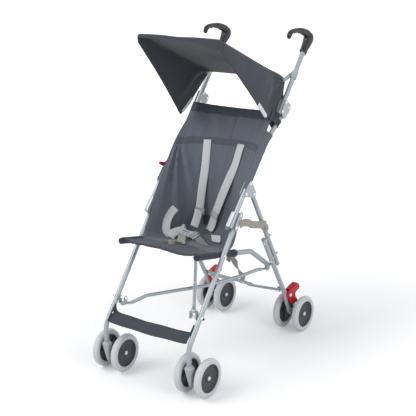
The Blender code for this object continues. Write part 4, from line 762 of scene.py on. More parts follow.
# %% The camera
view_yaw, view_pitch, view_roll = math.radians(36.50), math.radians(17.84), math.radians(-1.98)
back = Vector((math.sin(view_yaw) * math.cos(view_pitch),
               -math.cos(view_yaw) * math.cos(view_pitch), math.sin(view_pitch)))
level_right = (-back).cross(Vector((0, 0, 1))).normalized()
level_up = level_right.cross(-back)
c, s = math.cos(view_roll), math.sin(view_roll)
right, up = level_right * c + level_up * s, level_up * c - level_right * s
camera_data = bpy.data.cameras.new("studio_camera")
camera_data.lens, camera_data.sensor_width = 86.11, 36.0
camera = bpy.data.objects.new("studio_camera", camera_data)
camera.matrix_world = Matrix((right, up, back)).transposed().to_4x4()
camera.location = (1.836, -2.491, 1.480)
bpy.context.scene.collection.objects.link(camera)
bpy.context.scene.camera = camera
bpy.context.scene.view_settings.view_transform = "Standard"
print("camera at", tuple(round(v, 3) for v in camera.location))

# %% Soft light all round
world = bpy.data.worlds.new("white_studio")
bpy.context.scene.world = world
world.use_nodes = True
tree = world.node_tree
tree.nodes.clear()
rays = tree.nodes.new("ShaderNodeLightPath")
seen = tree.nodes.new("ShaderNodeMath")
seen.operation, seen.use_clamp = "ADD", True
tree.links.new(rays.outputs["Is Camera Ray"], seen.inputs[0])
tree.links.new(rays.outputs["Is Glossy Ray"], seen.inputs[1])
lighting, showing = (tree.nodes.new("ShaderNodeBackground") for _ in range(2))
lighting.inputs["Color"].default_value = (0.97, 0.98, 1.0, 1.0)
lighting.inputs["Strength"].default_value = 0.66
showing.inputs["Color"].default_value = (1.0, 1.0, 1.0, 1.0)
showing.inputs["Strength"].default_value = 1.0
blend = tree.nodes.new("ShaderNodeMixShader")
output = tree.nodes.new("ShaderNodeOutputWorld")
tree.links.new(seen.outputs[0], blend.inputs[0])
tree.links.new(lighting.outputs[0], blend.inputs[1])
tree.links.new(showing.outputs[0], blend.inputs[2])
tree.links.new(blend.outputs[0], output.inputs["Surface"])


def add_lamp(name, size, power, place, target):
    data = bpy.data.lights.new(name, "AREA")
    data.shape, data.size, data.energy = "DISK", size, power
    lamp = bpy.data.objects.new(name, data)
    lamp.location = place
    lamp.rotation_euler = (Vector(target) - Vector(place)).to_track_quat("-Z", "Y").to_euler()
    bpy.context.scene.collection.objects.link(lamp)
    return lamp


middle = (solid_box[0] + solid_box[1]) / 2
add_lamp("key_lamp", 2.2, 62.0, (-1.6, -2.4, 3.2), middle)
add_lamp("side_lamp", 1.6, 18.0, (2.6, -0.6, 1.6), middle)

# %% The floor
floor_data = bpy.data.meshes.new("studio_floor")
floor_data.from_pydata([(x * 14, y * 14, 0) for x, y in ((-1, -1), (1, -1), (1, 1), (-1, 1))],
                       [], [(0, 1, 2, 3)])
floor = bpy.data.objects.new("studio_floor", floor_data)
bpy.context.scene.collection.objects.link(floor)
tree, shader, _ = new_finish("studio_floor", None, (0.93, 0.93, 0.935), 0.85, Specular_IOR_Level=0.2)
rays = tree.nodes.new("ShaderNodeLightPath")
shown = add_math(tree, "ADD", rays.outputs["Is Camera Ray"], rays.outputs["Is Glossy Ray"], clamp=True)
tone = mix_colour(tree, shown, (0.80, 0.80, 0.81), (0.90, 0.90, 0.90))
tree.links.new(tone, shader.inputs["Base Color"])
spot = tree.nodes.new("ShaderNodeNewGeometry")
reach = tree.nodes.new("ShaderNodeVectorMath")
reach.operation = "LENGTH"
tree.links.new(spot.outputs["Position"], reach.inputs[0])
far_off = tree.nodes.new("ShaderNodeMapRange")
tree.links.new(reach.outputs["Value"], far_off.inputs["Value"])
for label, value in (("From Min", 0.45), ("From Max", 2.20), ("To Min", 0.17), ("To Max", 0.62)):
    far_off.inputs[label].default_value = value
shader.inputs["Emission Color"].default_value = (1.0, 1.0, 1.0, 1.0)
tree.links.new(add_math(tree, "MULTIPLY", shown, far_off.outputs["Result"]),
               shader.inputs["Emission Strength"])
floor_data.materials.append(finishes["studio_floor"])

# %% [markdown]
# ## Tyres
#
# The tyres are solid soft rubber, light grey, with wide rounded shoulders and no tread pattern
# to speak of. A torus would be too round. Turning a profile gives the flat running
# band, the full shoulder and the small step where the rubber closes over the rim. A fine mould
# line runs round the middle, as on every moulded tyre.

# %% Tyre profile
wheel_radius = front_axle[1]                # the wheels just touch the floor
tyre_half = 0.0115
rim_radius = 0.0452
tyre_profile = []
for angle, bulge in ((-90, 0.00), (-70, 0.05), (-50, 0.10), (-32, 0.13), (-16, 0.10), (-7, 0.04)):
    a = math.radians(angle)
    tyre_profile.append((wheel_radius - 0.0085 + 0.0085 * math.cos(a) + bulge * 0.001,
                         0.0112 * math.sin(a)))
tyre_profile += [(wheel_radius, -0.0007), (wheel_radius + 0.0003, -0.0004), (wheel_radius + 0.0003, 0.0004),
                 (wheel_radius, 0.0007)]
tyre_profile += [(r, -z) for r, z in tyre_profile[5::-1]]
side_wall = [(wheel_radius - 0.0105, -tyre_half), (rim_radius + 0.0045, -tyre_half),
             (rim_radius + 0.0028, -0.0111), (rim_radius + 0.0022, -0.0102),
             (rim_radius + 0.0006, -0.0098), (rim_radius, -0.0088)]
tyre_profile = side_wall[::-1] + tyre_profile + [(r, -z) for r, z in side_wall]
print("tyre profile points:", len(tyre_profile))

# %% [markdown]
# ## Hubs
#
# The wheel's centre is a dark moulded disc that lies a little inside the tyre. From the outside it
# is smooth, with a raised lip, a shallow step and a small boss. Towards the leg it shows five
# ribs. A bright cap closes the axle at both ends of each pair.

# %% Hub profile and ribs
hub_profile = [
    (rim_radius, 0.0086), (rim_radius - 0.0006, 0.0092), (rim_radius - 0.0022, 0.0092),
    (rim_radius - 0.0030, 0.0084), (rim_radius - 0.0036, 0.0040), (rim_radius - 0.0048, 0.0030),
    (0.0300, 0.0026), (0.0290, 0.0031), (0.0270, 0.0031), (0.0260, 0.0026), (0.0140, 0.0020),
    (0.0120, 0.0022), (0.0108, 0.0038), (0.0098, 0.0044), (0.0046, 0.0045), (0.0043, 0.0043),
    (0.0043, -0.0122), (0.0050, -0.0125), (0.0094, -0.0125), (0.0100, -0.0118), (0.0110, -0.0035),
    (0.0120, -0.0030), (rim_radius - 0.0048, -0.0030), (rim_radius - 0.0036, -0.0040),
    (rim_radius - 0.0030, -0.0084), (rim_radius - 0.0022, -0.0092), (rim_radius - 0.0006, -0.0092),
    (rim_radius, -0.0086)]


def hub_ribs(centre, outward):
    """Five thin walls on the face that looks at the leg."""
    made = []
    for k in range(5):
        a = 2 * math.pi * (k + 0.5) / 5
        radial = Vector((0, math.cos(a), math.sin(a)))
        across = Vector((0, -math.sin(a), math.cos(a)))
        rows = ((0.0095, -0.0028), (rim_radius - 0.0030, -0.0028),
                (rim_radius - 0.0030, -0.0072), (0.0200, -0.0072), (0.0095, -0.0110))
        made.append(slab_mesh(rows, -0.0013, 0.0013, 0.0004,
                              lambda r, h, t, radial=radial, across=across:
                              Vector(centre) + radial * r + Vector((outward, 0, 0)) * h + across * t))
    return made


for end, axle in (("front", front_axle), ("rear", rear_axle)):
    for side, sign in SIDES:
        for place, outward in (("outer", sign), ("inner", -sign)):
            body = f"{end}_wheel_{side}_{place}"
            centre = pin_of[body + "_spin"]
            way = (outward, 0, 0)
            piece(f"{end}_tyre_{side}_{place}_rubber",
                  [turned_mesh(tyre_profile, centre, way, 64, closed=True)], "soft_rubber",
                  body, f"{end}_tyre_{side}_{place}")
            piece(f"{end}_hub_{side}_{place}_disc",
                  [turned_mesh(hub_profile, centre, way, 48, closed=True), *hub_ribs(centre, outward)],
                  "moulded_charcoal", body, f"{end}_hub_{side}_{place}")
print("wheels:", sum(n.endswith("_rubber") for n in scene_pieces))

# %% [markdown]
# ## Axles and caps
#
# A steel rod passes through each pair of wheels. A push-on cap, domed and bright, holds it. The
# cap is tiny, but in the dark disc it is the first thing the eye finds.

# %% Axle rods and domed caps
wheel_spread = abs(pin_of["front_wheel_left_outer_spin"].x) - side_x
cap_seat = wheel_spread + 0.0045 + 0.0005


def axle_meshes(x, axle):
    return [tube_mesh([(x - cap_seat - 0.001, *axle), (x + cap_seat + 0.001, *axle)], 0.0040, 16)]


def cap_meshes(x, axle):
    dome = [(0.0068, 0.0), (0.0070, 0.0004), (0.0070, 0.0014), (0.0064, 0.0024), (0.0050, 0.0036),
            (0.0030, 0.0043), (0.0, 0.0046)]
    return [turned_mesh(dome, (x + way * cap_seat, *axle), (way, 0, 0), 24) for way in (-1, 1)]


for side, sign in SIDES:
    x = sign * side_x
    piece(f"rear_axle_{side}_rod", axle_meshes(x, rear_axle), "plain_steel",
          f"rear_leg_{side}", f"rear_axle_{side}")
    piece(f"rear_axle_{side}_caps", cap_meshes(x, rear_axle), "white_cap",
          f"rear_leg_{side}")
    piece(f"front_axle_{side}_caps", cap_meshes(x, front_axle), "white_cap",
          f"caster_{side}")
print("cap seat", round(cap_seat, 4))

# %% [markdown]
# ## Front forks
#
# Each front fork turns under the leg. It is one moulding: a collar, a housing that flares into
# two shoulders and then tapers to a blunt point, and a trailing arm that holds the axle behind
# the swivel. The housing is a loft, so it gets a ring of points at each height, a little square
# at the shoulders and round at the ends. The arm is a plate with very soft edges.

# %% The housing as a loft
def loft_mesh(rings, sides=24):
    """rings: (centre, half size in X, half size in Y, squareness from 0 to 1)."""
    points, faces = [], ring_faces(len(rings), sides)
    for centre, wide, deep, square in rings:
        power = 2.0 / (2.0 + 2.5 * square)
        for k in range(sides):
            a = 2 * math.pi * k / sides
            c, s = math.cos(a), math.sin(a)
            points.append(Vector(centre) + Vector((math.copysign(abs(c) ** power, c) * wide,
                                                   math.copysign(abs(s) ** power, s) * deep, 0)))
    faces.append(tuple(range(sides))[::-1])
    faces.append(tuple(range((len(rings) - 1) * sides, len(rings) * sides)))
    return points, faces


barrel_half = wheel_spread - 0.0125 - 0.001
for side, sign in SIDES:
    x = sign * side_x
    levels = ((0.0397, 0.0030, 0.0036, 0.0), (0.0405, 0.0046, 0.0050, 0.0), (0.0480, 0.0062, 0.0064, 0.2),
              (0.0640, 0.0088, 0.0082, 0.4), (0.0800, 0.0114, 0.0100, 0.5), (0.0930, 0.0136, 0.0116, 0.5),
              (0.1000, 0.0146, 0.0126, 0.4), (0.1030, 0.0146, 0.0128, 0.3), (0.1045, 0.0132, 0.0118, 0.1),
              (0.1052, 0.0108, 0.0108, 0.0), (0.1100, 0.0106, 0.0106, 0.0), (0.1114, 0.0098, 0.0098, 0.0))
    housing = loft_mesh([((x, swivel_y + (0.112 - z) * 0.055, z), w, d, q) for z, w, d, q in levels])
    arm = plate_mesh(round_outline(((swivel_y + 0.002, 0.0922, 0.0092), (swivel_y + 0.004, 0.054, 0.0062),
                                    (*front_axle, 0.0086))), x - 0.0060, x + 0.0060, 0.0022)
    web = plate_mesh(round_outline(((swivel_y + 0.008, 0.084, 0.0050), (swivel_y + 0.010, 0.060, 0.0030),
                                    (front_axle[0] - 0.008, front_axle[1] + 0.003, 0.0030))),
                     x - 0.0072, x + 0.0072, 0.0010)
    barrel = turned_mesh([(0.0, -barrel_half), (0.0080, -barrel_half), (0.0088, -barrel_half + 0.0008),
                          (0.0088, -0.0080), (0.0096, -0.0070), (0.0096, 0.0070), (0.0088, 0.0080),
                          (0.0088, barrel_half - 0.0008), (0.0080, barrel_half), (0.0, barrel_half)],
                         (x, *front_axle), (1, 0, 0), 28)
    piece(f"caster_{side}_fork", [housing, arm, web, barrel], "grey_moulding",
          f"caster_{side}", f"caster_{side}")
    piece(f"caster_{side}_rod", axle_meshes(x, front_axle), "plain_steel", f"caster_{side}")
print("forks done, barrel half", round(barrel_half, 4))

# %% [markdown]
# ## The side tubes
#
# The main tube rises from the leg bracket and bends gently towards the handle. The push tube
# starts beside its top end and carries the handle. Both are 16 mm steel with a soft satin paint.
# A curve object with a round bevel would do, but rings along the path leave the ends free to be
# closed by the small domed plugs that real tubes have.

# %% Main tubes, push tubes and their plugs
def plug_meshes(at, away, radius):
    """A moulded end plug: a thin flange and a low dome."""
    dome = [(radius * 1.06, -0.0010), (radius * 1.08, 0.0), (radius * 1.06, 0.0012),
            (radius * 0.92, 0.0024), (radius * 0.60, 0.0034), (0.0, 0.0038)]
    return turned_mesh([(0.0, -0.0012)] + dome, at, away, 24)


def side_vector(way, sign=1.0):
    return Vector((0.0, way[0] * sign, way[1] * sign))


for side, sign in SIDES:
    x = sign * side_x
    path = bent(in_side(x, (main_foot, main_bend, main_top)), 0.300, 16)
    tube = tube_mesh(path, tube_radius, 24)
    rivet = rivet_mesh((x + sign * (tube_radius - 0.0006), *step_from(main_foot, main_bend, 0.012)),
                       (sign, 0, 0), 0.0045, 0.0030)
    parts = [tube, rivet]
    if side == "right":
        latch_x = pin_of["latch_turn"].x
        parts.append(pin_mesh((-side_x - 0.004, *latch_pin), (latch_x - 0.0045, *latch_pin)))
        parts.append(rivet_mesh((latch_x - 0.0030, *latch_pin), (-1, 0, 0), 0.0056, 0.0020))
    piece(f"main_tube_{side}_bent", parts, "satin_paint", f"{side}_side",
          f"main_tube_{side}")
    piece(f"push_tube_{side}_straight", [tube_mesh(in_side(x, (push_foot, push_top)), tube_radius, 24)],
          "satin_paint", f"{side}_side", f"push_tube_{side}")
    piece(f"tube_plugs_{side}", [plug_meshes((x, *main_top), side_vector(main_top_way), tube_radius),
                                 plug_meshes((x, *push_foot), side_vector(push_way, -1), tube_radius)],
          "grey_moulding", f"{side}_side")
print("tubes done")

# %% [markdown]
# ## Pressed brackets
#
# Flat steel joins the tubes: a channel under the push tube, a knuckle for the rear leg's pivot
# and a long bracket where the leg meets the main tube. Each is a pair of cheeks with a web
# between them, and bright rivets through both. The plates are drawn as outlines round the
# rivets, which is how a press tool is laid out.

# %% Clamp, knuckle and their rivets
def cheek_pair(outline, x, soft=0.0006):
    near, far = plate_gap, plate_gap + plate_thick
    return [plate_mesh(outline, x - far, x - near, soft), plate_mesh(outline, x + near, x + far, soft)]


def rivets_on_cheeks(places, x, radius=0.0056):
    face = plate_gap + plate_thick
    return [rivet_mesh((x + way * face, *place), (way, 0, 0), radius) for place in places
            for way in (-1, 1)]


for side, sign in SIDES:
    x = sign * side_x
    top, low = step_from(main_top, main_bend, 0.012), step_from(main_top, main_bend, 0.050)
    push_low, push_high = step_from(push_foot, push_top, 0.006), step_from(push_foot, push_top, 0.040)
    outline = round_outline(((*top, 0.0100), (*low, 0.0100), (*push_low, 0.0080), (*push_high, 0.0080)))
    web_at = beside(step_from(main_top, main_bend, 0.031), main_top_way, -(plate_gap + plate_thick / 2))
    piece(f"tube_clamp_{side}_channel",
          cheek_pair(outline, x) + [block_mesh((x, *web_at),
                                               (2 * plate_gap + plate_thick, 0.036, plate_thick),
                                               main_top_way)],
          "satin_paint", f"{side}_side", f"tube_clamp_{side}")
    piece(f"tube_clamp_{side}_rivets", rivets_on_cheeks((top, push_low, push_high), x),
          "plain_steel", f"{side}_side")

    near = ((knuckle_pin[0] - main_foot[0]) * main_way[0] + (knuckle_pin[1] - main_foot[1]) * main_way[1])
    upper = step_from(main_foot, main_bend, near + 0.016)
    lower = step_from(main_foot, main_bend, near - 0.022)
    outline = round_outline(((*upper, 0.0090), (*lower, 0.0090), (*knuckle_pin, 0.0110)))
    web_at = beside(step_from(main_foot, main_bend, near - 0.003), main_way, -(plate_gap + 0.0030))
    face = plate_gap + plate_thick / 2
    piece(f"knuckle_{side}_plates",
          cheek_pair(outline, x) + [block_mesh((x, *web_at), (2 * plate_gap + plate_thick, 0.026, 0.0040),
                                               main_way),
                                    pin_mesh((x - face, *knuckle_pin), (x + face, *knuckle_pin))],
          "satin_paint", f"{side}_side", f"knuckle_{side}")
    piece(f"knuckle_{side}_rivets", rivets_on_cheeks((upper, lower, knuckle_pin), x),
          "plain_steel", f"{side}_side")
print("brackets done")

# %% [markdown]
# ## Front legs
#
# The lower leg hangs from its bracket, slopes forward and turns straight down above the fork. The
# bracket is open towards the front, so the main tube's foot can be seen in it. Two things are
# bolted through the leg: the pivot of the seat rail, and the fork-shaped clevis of the X-brace.

# %% Legs with bracket, pivot and bolt
clevis_x, clevis_half = pin_of["clevis_pitch_left"].x, 0.0125
for side, sign in SIDES:
    x = sign * side_x
    path = bent(in_side(x, (leg_top, leg_corner, (swivel_y, swivel_z))), 0.060, 14)
    parts = [tube_mesh(path, tube_radius, 24)]
    leg_low, leg_high = step_from(leg_top, leg_corner, 0.048), step_from(leg_top, leg_corner, 0.006)
    main_low, main_high = step_from(main_foot, main_bend, 0.004), step_from(main_foot, main_bend, 0.048)
    back_plate = round_outline(((*leg_low, 0.0105), (*leg_high, 0.0105), (*main_low, 0.0112),
                                (*main_high, 0.0112)))
    cover = round_outline(((*leg_low, 0.0105), (*leg_high, 0.0105)))
    inner, outer = x - sign * plate_gap, x + sign * plate_gap
    parts += [plate_mesh(back_plate, *sorted((inner, inner - sign * plate_thick))),
              plate_mesh(cover, *sorted((outer, outer + sign * plate_thick)))]
    flange = beside(step_from(main_foot, main_bend, 0.026), main_way, tube_radius + 0.0022)
    parts.append(block_mesh((x - sign * 0.0030, *flange), (2 * plate_gap - 0.0030, 0.050, 0.0018),
                            main_way))
    span = plate_gap + plate_thick / 2
    parts += [pin_mesh((x - span, *place), (x + span, *place)) for place in (leg_low, leg_high)]
    piece(f"front_leg_{side}_tube", parts, "satin_paint", f"{side}_side", f"front_leg_{side}")

    rail_inner = rail_x - rail_radius
    bolt_end = clevis_x - clevis_half
    bright = [rivet_mesh((outer + sign * plate_thick, *place), (sign, 0, 0)) for place in (leg_low,
                                                                                           leg_high)]
    bright += [rivet_mesh((x + sign * (tube_radius - 0.0006), *rail_pin), (sign, 0, 0), 0.0048, 0.0030),
               pin_mesh((x + sign * 0.002, *rail_pin), (sign * (rail_inner - 0.0034), *rail_pin)),
               rivet_mesh((sign * (rail_inner - 0.0010), *rail_pin), (-sign, 0, 0), 0.0056, 0.0024),
               pin_mesh((x + sign * 0.0140, *clevis_pin), (sign * (bolt_end - 0.0045), *clevis_pin)),
               hex_nut_mesh((x + sign * (tube_radius - 0.0004), *clevis_pin), (sign, 0, 0)),
               hex_nut_mesh((sign * (bolt_end - 0.0010), *clevis_pin), (-sign, 0, 0), 0.0055, 0.0038)]
    piece(f"front_leg_{side}_bolts", bright, "plain_steel", f"{side}_side")
    piece(f"front_leg_{side}_bolt_cap",
          [plug_meshes((x + sign * 0.0128, *clevis_pin), (sign, 0, 0), 0.0036)],
          "satin_black", f"{side}_side")
print("legs done")

# %% [markdown]
# ## Rear legs
#
# A rear leg is two tubes lying side by side, joined by two long bolts. The upper one hangs from
# the knuckle. The lower one ends in a flat bent strap that reaches down between the wheels to
# the axle, with an ear that carries the brake lever.

# %% Rear legs, bolts and the flat foot
foot_knee, foot_heel = (0.2045, 0.106), (0.2260, 0.066)
brace_root_z = pin_of["rear_brace_fold_left"].z
brace_axis = Vector((0.0, -rear_way[1], rear_way[0]))


def brace_point(x, up=0.0, out=0.0):
    """A point of the rear brace: up runs up the leg, out runs rearwards, square to it."""
    share = (brace_root_z - rear_lower_top[1]) / (rear_lower_end[1] - rear_lower_top[1])
    root = (rear_lower_top[0] + share * (rear_lower_end[0] - rear_lower_top[0]), brace_root_z)
    return Vector((x, *beside(root, rear_way, out, -up)))


for side, sign in SIDES:
    x = sign * side_x
    top = step_from(knuckle_pin, rear_upper_end, -0.009)
    parts = [tube_mesh(in_side(x, (top, rear_upper_end)), tube_radius, 24),
             tube_mesh(in_side(x, (rear_lower_top, rear_lower_end)), tube_radius, 24)]
    foot_path = smooth_curve(in_side(x, (step_from(rear_lower_end, rear_lower_top, 0.016),
                                         step_from(rear_lower_end, rear_lower_top, -0.012),
                                         foot_knee, foot_heel, rear_axle)), 22)
    squash = [(0.62 + 0.30 * max(0.0, 1 - k / 4), 0.78) for k in range(len(foot_path))]
    parts.append(tube_mesh(foot_path, 0.0082, 20, squash))
    ear = round_outline(((*step_from(rear_lower_end, rear_lower_top, 0.010), 0.0056), (*lever_pin, 0.0070)))
    parts.append(plate_mesh(ear, x - 0.0042, x + 0.0042, 0.0014))
    parts.append(turned_mesh([(0.0, -barrel_half), (0.0082, -barrel_half), (0.0088, -barrel_half + 0.0007),
                              (0.0088, -0.0075), (0.0108, -0.0060), (0.0108, 0.0060), (0.0088, 0.0075),
                              (0.0088, barrel_half - 0.0007), (0.0082, barrel_half), (0.0, barrel_half)],
                             (x, *rear_axle), (1, 0, 0), 28))
    brace_x = pin_of["rear_brace_fold_left"].x
    lug_low, lug_high = sorted((sign * (brace_x - 0.0075), x))
    lug = slab_mesh(((-0.0060, 0.0056), (0.0060, 0.0056), (0.0060, 0.0080), (-0.0060, 0.0080)),
                    lug_low, lug_high, 0.0005,
                    lambda a, b, h: brace_point(h, 0.0020 - a, b))
    parts.append(lug)
    piece(f"rear_leg_{side}_tubes", parts, "satin_paint", f"rear_leg_{side}", f"rear_leg_{side}")

    bright = []
    for distance in (0.014, 0.098):
        front = step_from(rear_lower_top, rear_lower_end, distance)
        first, last = (x, *beside(front, rear_way, -0.0040)), (x, *beside(front, rear_way, 0.0345))
        bright.append(pin_mesh(first, last, 0.0031))
        way = Vector(last) - Vector(first)
        bright.append(rivet_mesh(Vector(first) - way.normalized() * 0.0034, -way, 0.0052, 0.0024))
        bright.append(hex_nut_mesh(Vector(last) - way.normalized() * 0.0012, way, 0.0056, 0.0040))
    bright.append(pin_mesh((x - 0.0132, *lever_pin), (x + 0.0132, *lever_pin)))
    bright += [rivet_mesh((x + way * 0.0124, *lever_pin), (way, 0, 0), 0.0050, 0.0020) for way in (-1, 1)]
    bright.append(pin_mesh(brace_point(sign * brace_x, 0, 0.0062),
                           brace_point(sign * brace_x, 0, -0.0055), 0.0026))
    bright.append(rivet_mesh(brace_point(sign * brace_x, 0, -0.0042), -brace_axis, 0.0048, 0.0020))
    bright.append(rivet_mesh(brace_point(sign * brace_x, 0, 0.0078), brace_axis, 0.0048, 0.0020))
    piece(f"rear_leg_{side}_bolts", bright, "plain_steel", f"rear_leg_{side}")
    piece(f"rear_leg_{side}_plugs",
          [plug_meshes((x, *top), side_vector(rear_upper_way, -1), tube_radius),
           plug_meshes((x, *rear_upper_end), side_vector(rear_upper_way), tube_radius),
           plug_meshes((x, *rear_lower_top), side_vector(rear_way, -1), tube_radius)],
          "grey_moulding", f"rear_leg_{side}")
print("rear legs done")

# %% [markdown]
# ## Rear brace
#
# Behind the seat, two halves of a brace lock straight and fold upwards. The right half is a
# tapering flat plate with a folded rib, the left one a thin rod flattened at the middle. They
# overlap at a single rivet.

# %% The two halves of the brace
def brace_slab(rows, low, high, soft):
    return slab_mesh(rows, low, high, soft, lambda a, b, h: brace_point(a, b, h))


pivot = -brace_x
blade = [(pivot - 0.004, 0.0120), (-0.030, 0.0085), (0.0160, 0.0065), (0.0160, -0.0065), (-0.030, -0.0085),
         (pivot - 0.004, -0.0120)]
rib = [(pivot + 0.022, 0.0030), (-0.040, 0.0022), (-0.040, -0.0022), (pivot + 0.022, -0.0030)]
eye_profile = [(0.0029, -0.0034), (0.0070, -0.0034), (0.0073, -0.0028), (0.0073, 0.0036), (0.0070, 0.0042),
               (0.0029, 0.0042)]
piece("rear_brace_right_blade",
      [brace_slab(blade, -0.0010, 0.0010, 0.0004), brace_slab(rib, 0.0006, 0.0026, 0.0009),
       turned_mesh(eye_profile, brace_point(pivot), brace_axis, 24, closed=True)],
      "satin_paint", "rear_brace_right", "rear_brace_right")
pivot = brace_x
rod_path = smooth_curve([brace_point(pivot - 0.0062), brace_point(pivot - 0.016),
                         brace_point(0.095, 0, -0.0030),
                         brace_point(0.045, 0, -0.0064), brace_point(0.020, 0, -0.0064)], 24)
tongue = [(0.044, 0.0030), (0.034, 0.0075), (-0.0160, 0.0075), (-0.0160, -0.0075), (0.034, -0.0075),
          (0.044, -0.0030)]
piece("rear_brace_left_rod",
      [tube_mesh(rod_path, 0.0048, 18, [(1.0, 1.0)] * 16 + [(1.0 + 0.04 * k,
                                                             1.0 - 0.06 * k) for k in range(9)]),
       brace_slab(tongue, -0.0042, -0.0018, 0.0005),
       turned_mesh(eye_profile, brace_point(pivot), brace_axis, 24, closed=True)],
      "satin_paint", "rear_brace_left", "rear_brace_left")
piece("rear_brace_right_rivet", [rivet_mesh(brace_point(0, 0, 0.0010), brace_axis)], "plain_steel",
      "rear_brace_right")
piece("rear_brace_left_rivet", [rivet_mesh(brace_point(0, 0, -0.0042), -brace_axis)], "plain_steel",
      "rear_brace_left")
print("brace done")

# %% [markdown]
# ## Handles
#
# Each handle is a hook of satin black plastic pushed over the tube. It is thick and flat-sided at
# the stem, thinner over the top, and scalloped underneath where the fingers close. A hand-modelled
# mesh under a subdivision surface would be the usual way. Here the hook is a loft: rings along
# its spine, each with its own size, its own squareness and its own finger bump. All of it comes
# from one small table, so left and right agree.

# %% The hook's spine and its rings
collar_depth = 0.0410
stem_rings = ((0.0, 0.0000, 0.0108), (0.0045, 0.0000, 0.0122), (0.0130, 0.0006, 0.0112),
              (0.0270, 0.0020, 0.0128), (0.0400, 0.0028, 0.0140))
grip_rings = ((0.3522, 0.9930, 0.0152), (0.3545, 1.0010, 0.0155), (0.3494, 1.0088, 0.0138),
              (0.3425, 1.0150, 0.0127), (0.3320, 1.0203, 0.0116), (0.3180, 1.0254, 0.0107),
              (0.3030, 1.0296, 0.0096), (0.2890, 1.0320, 0.0084), (0.2735, 1.0333, 0.0078),
              (0.2575, 1.0336, 0.0075), (0.2430, 1.0304, 0.0080), (0.2355, 1.0242, 0.0082),
              (0.2330, 1.0165, 0.0066))
collar_foot = step_from(push_top, push_foot, collar_depth)
spine = [beside(collar_foot, push_way, -back, up_) for up_, back, _ in stem_rings]
spine += [(y, z) for y, z, _ in grip_rings]
thickness = [r for *_, r in stem_rings + grip_rings]
keys = [(y, z, r) for (y, z), r in zip(spine, thickness)]


def hook_mesh(x):
    """Rings square to the spine, flat-sided at the stem and scalloped under the grip."""
    count, sides = 110, 28
    line = smooth_curve(keys, count)
    points, faces = [], ring_faces(count + 1, sides)
    for i, (y, z, r) in enumerate(line):
        before, after = line[max(i - 1, 0)], line[min(i + 1, count)]
        way = Vector((0, after.x - before.x, after.y - before.y)).normalized()
        outer = way.cross(Vector((1, 0, 0)))
        share = i / count
        square = 0.75 * max(0.0, 1 - abs(share - 0.27) / 0.16) ** 0.6 + 0.18
        power = 2.0 / (2.0 + 2.4 * square)
        finger = 0.0
        if 0.53 < share < 0.93:
            finger = 0.0014 * math.cos(2 * math.pi * (share - 0.575) / 0.105)
        lip = 0.0008 * math.exp(-((share - 0.055) / 0.014) ** 2)
        for k in range(sides):
            a = 2 * math.pi * k / sides
            c, s = math.cos(a), math.sin(a)
            wide = math.copysign(abs(c) ** power, c) * (r + lip) * (0.93 if share > 0.12 else 1.0)
            deep = math.copysign(abs(s) ** power, s) * (r + lip)
            if s < 0:
                deep -= finger * abs(s) ** 1.5
            else:
                deep -= 0.0008 * square * s
            points.append(Vector((x, y, z)) + Vector((1, 0, 0)) * wide + outer * deep)
    # The tip closes with two shrinking rings and a cap.
    start = count * sides
    centre = sum((points[start + k] for k in range(sides)), Vector()) / sides
    way = (line[count] - line[count - 1])
    way = Vector((0, way.x, way.y)).normalized()
    previous = start
    for shrunk, ahead in ((0.90, 0.0018), (0.68, 0.0034), (0.35, 0.0044)):
        ring = len(points)
        points += [centre + (points[start + k] - centre) * shrunk + way * ahead for k in range(sides)]
        for k in range(sides):
            n = (k + 1) % sides
            faces.append((previous + k, previous + n, ring + n, ring + k))
        previous = ring
    faces.append(tuple(range(previous, previous + sides)))
    # The foot stays open round the tube, with an inner wall.
    ring = len(points)
    foot = Vector((x, *collar_foot))
    inner = [foot + (points[k] - foot).normalized() * (tube_radius + 0.0004) for k in range(sides)]
    deep_in = Vector((0, *push_way)) * 0.010
    points += inner + [p + deep_in for p in inner]
    for k in range(sides):
        n = (k + 1) % sides
        faces.append((n, k, ring + k, ring + n))
        faces.append((ring + n, ring + k, ring + sides + k, ring + sides + n))
    return points, faces


print("hook rings:", len(keys), "keys")

# %% Side panels, flange and screws of the handles
def stem_place(up_, behind):
    """A point of the stem: up along the push tube, behind its axis."""
    return beside(collar_foot, push_way, -behind, up_)


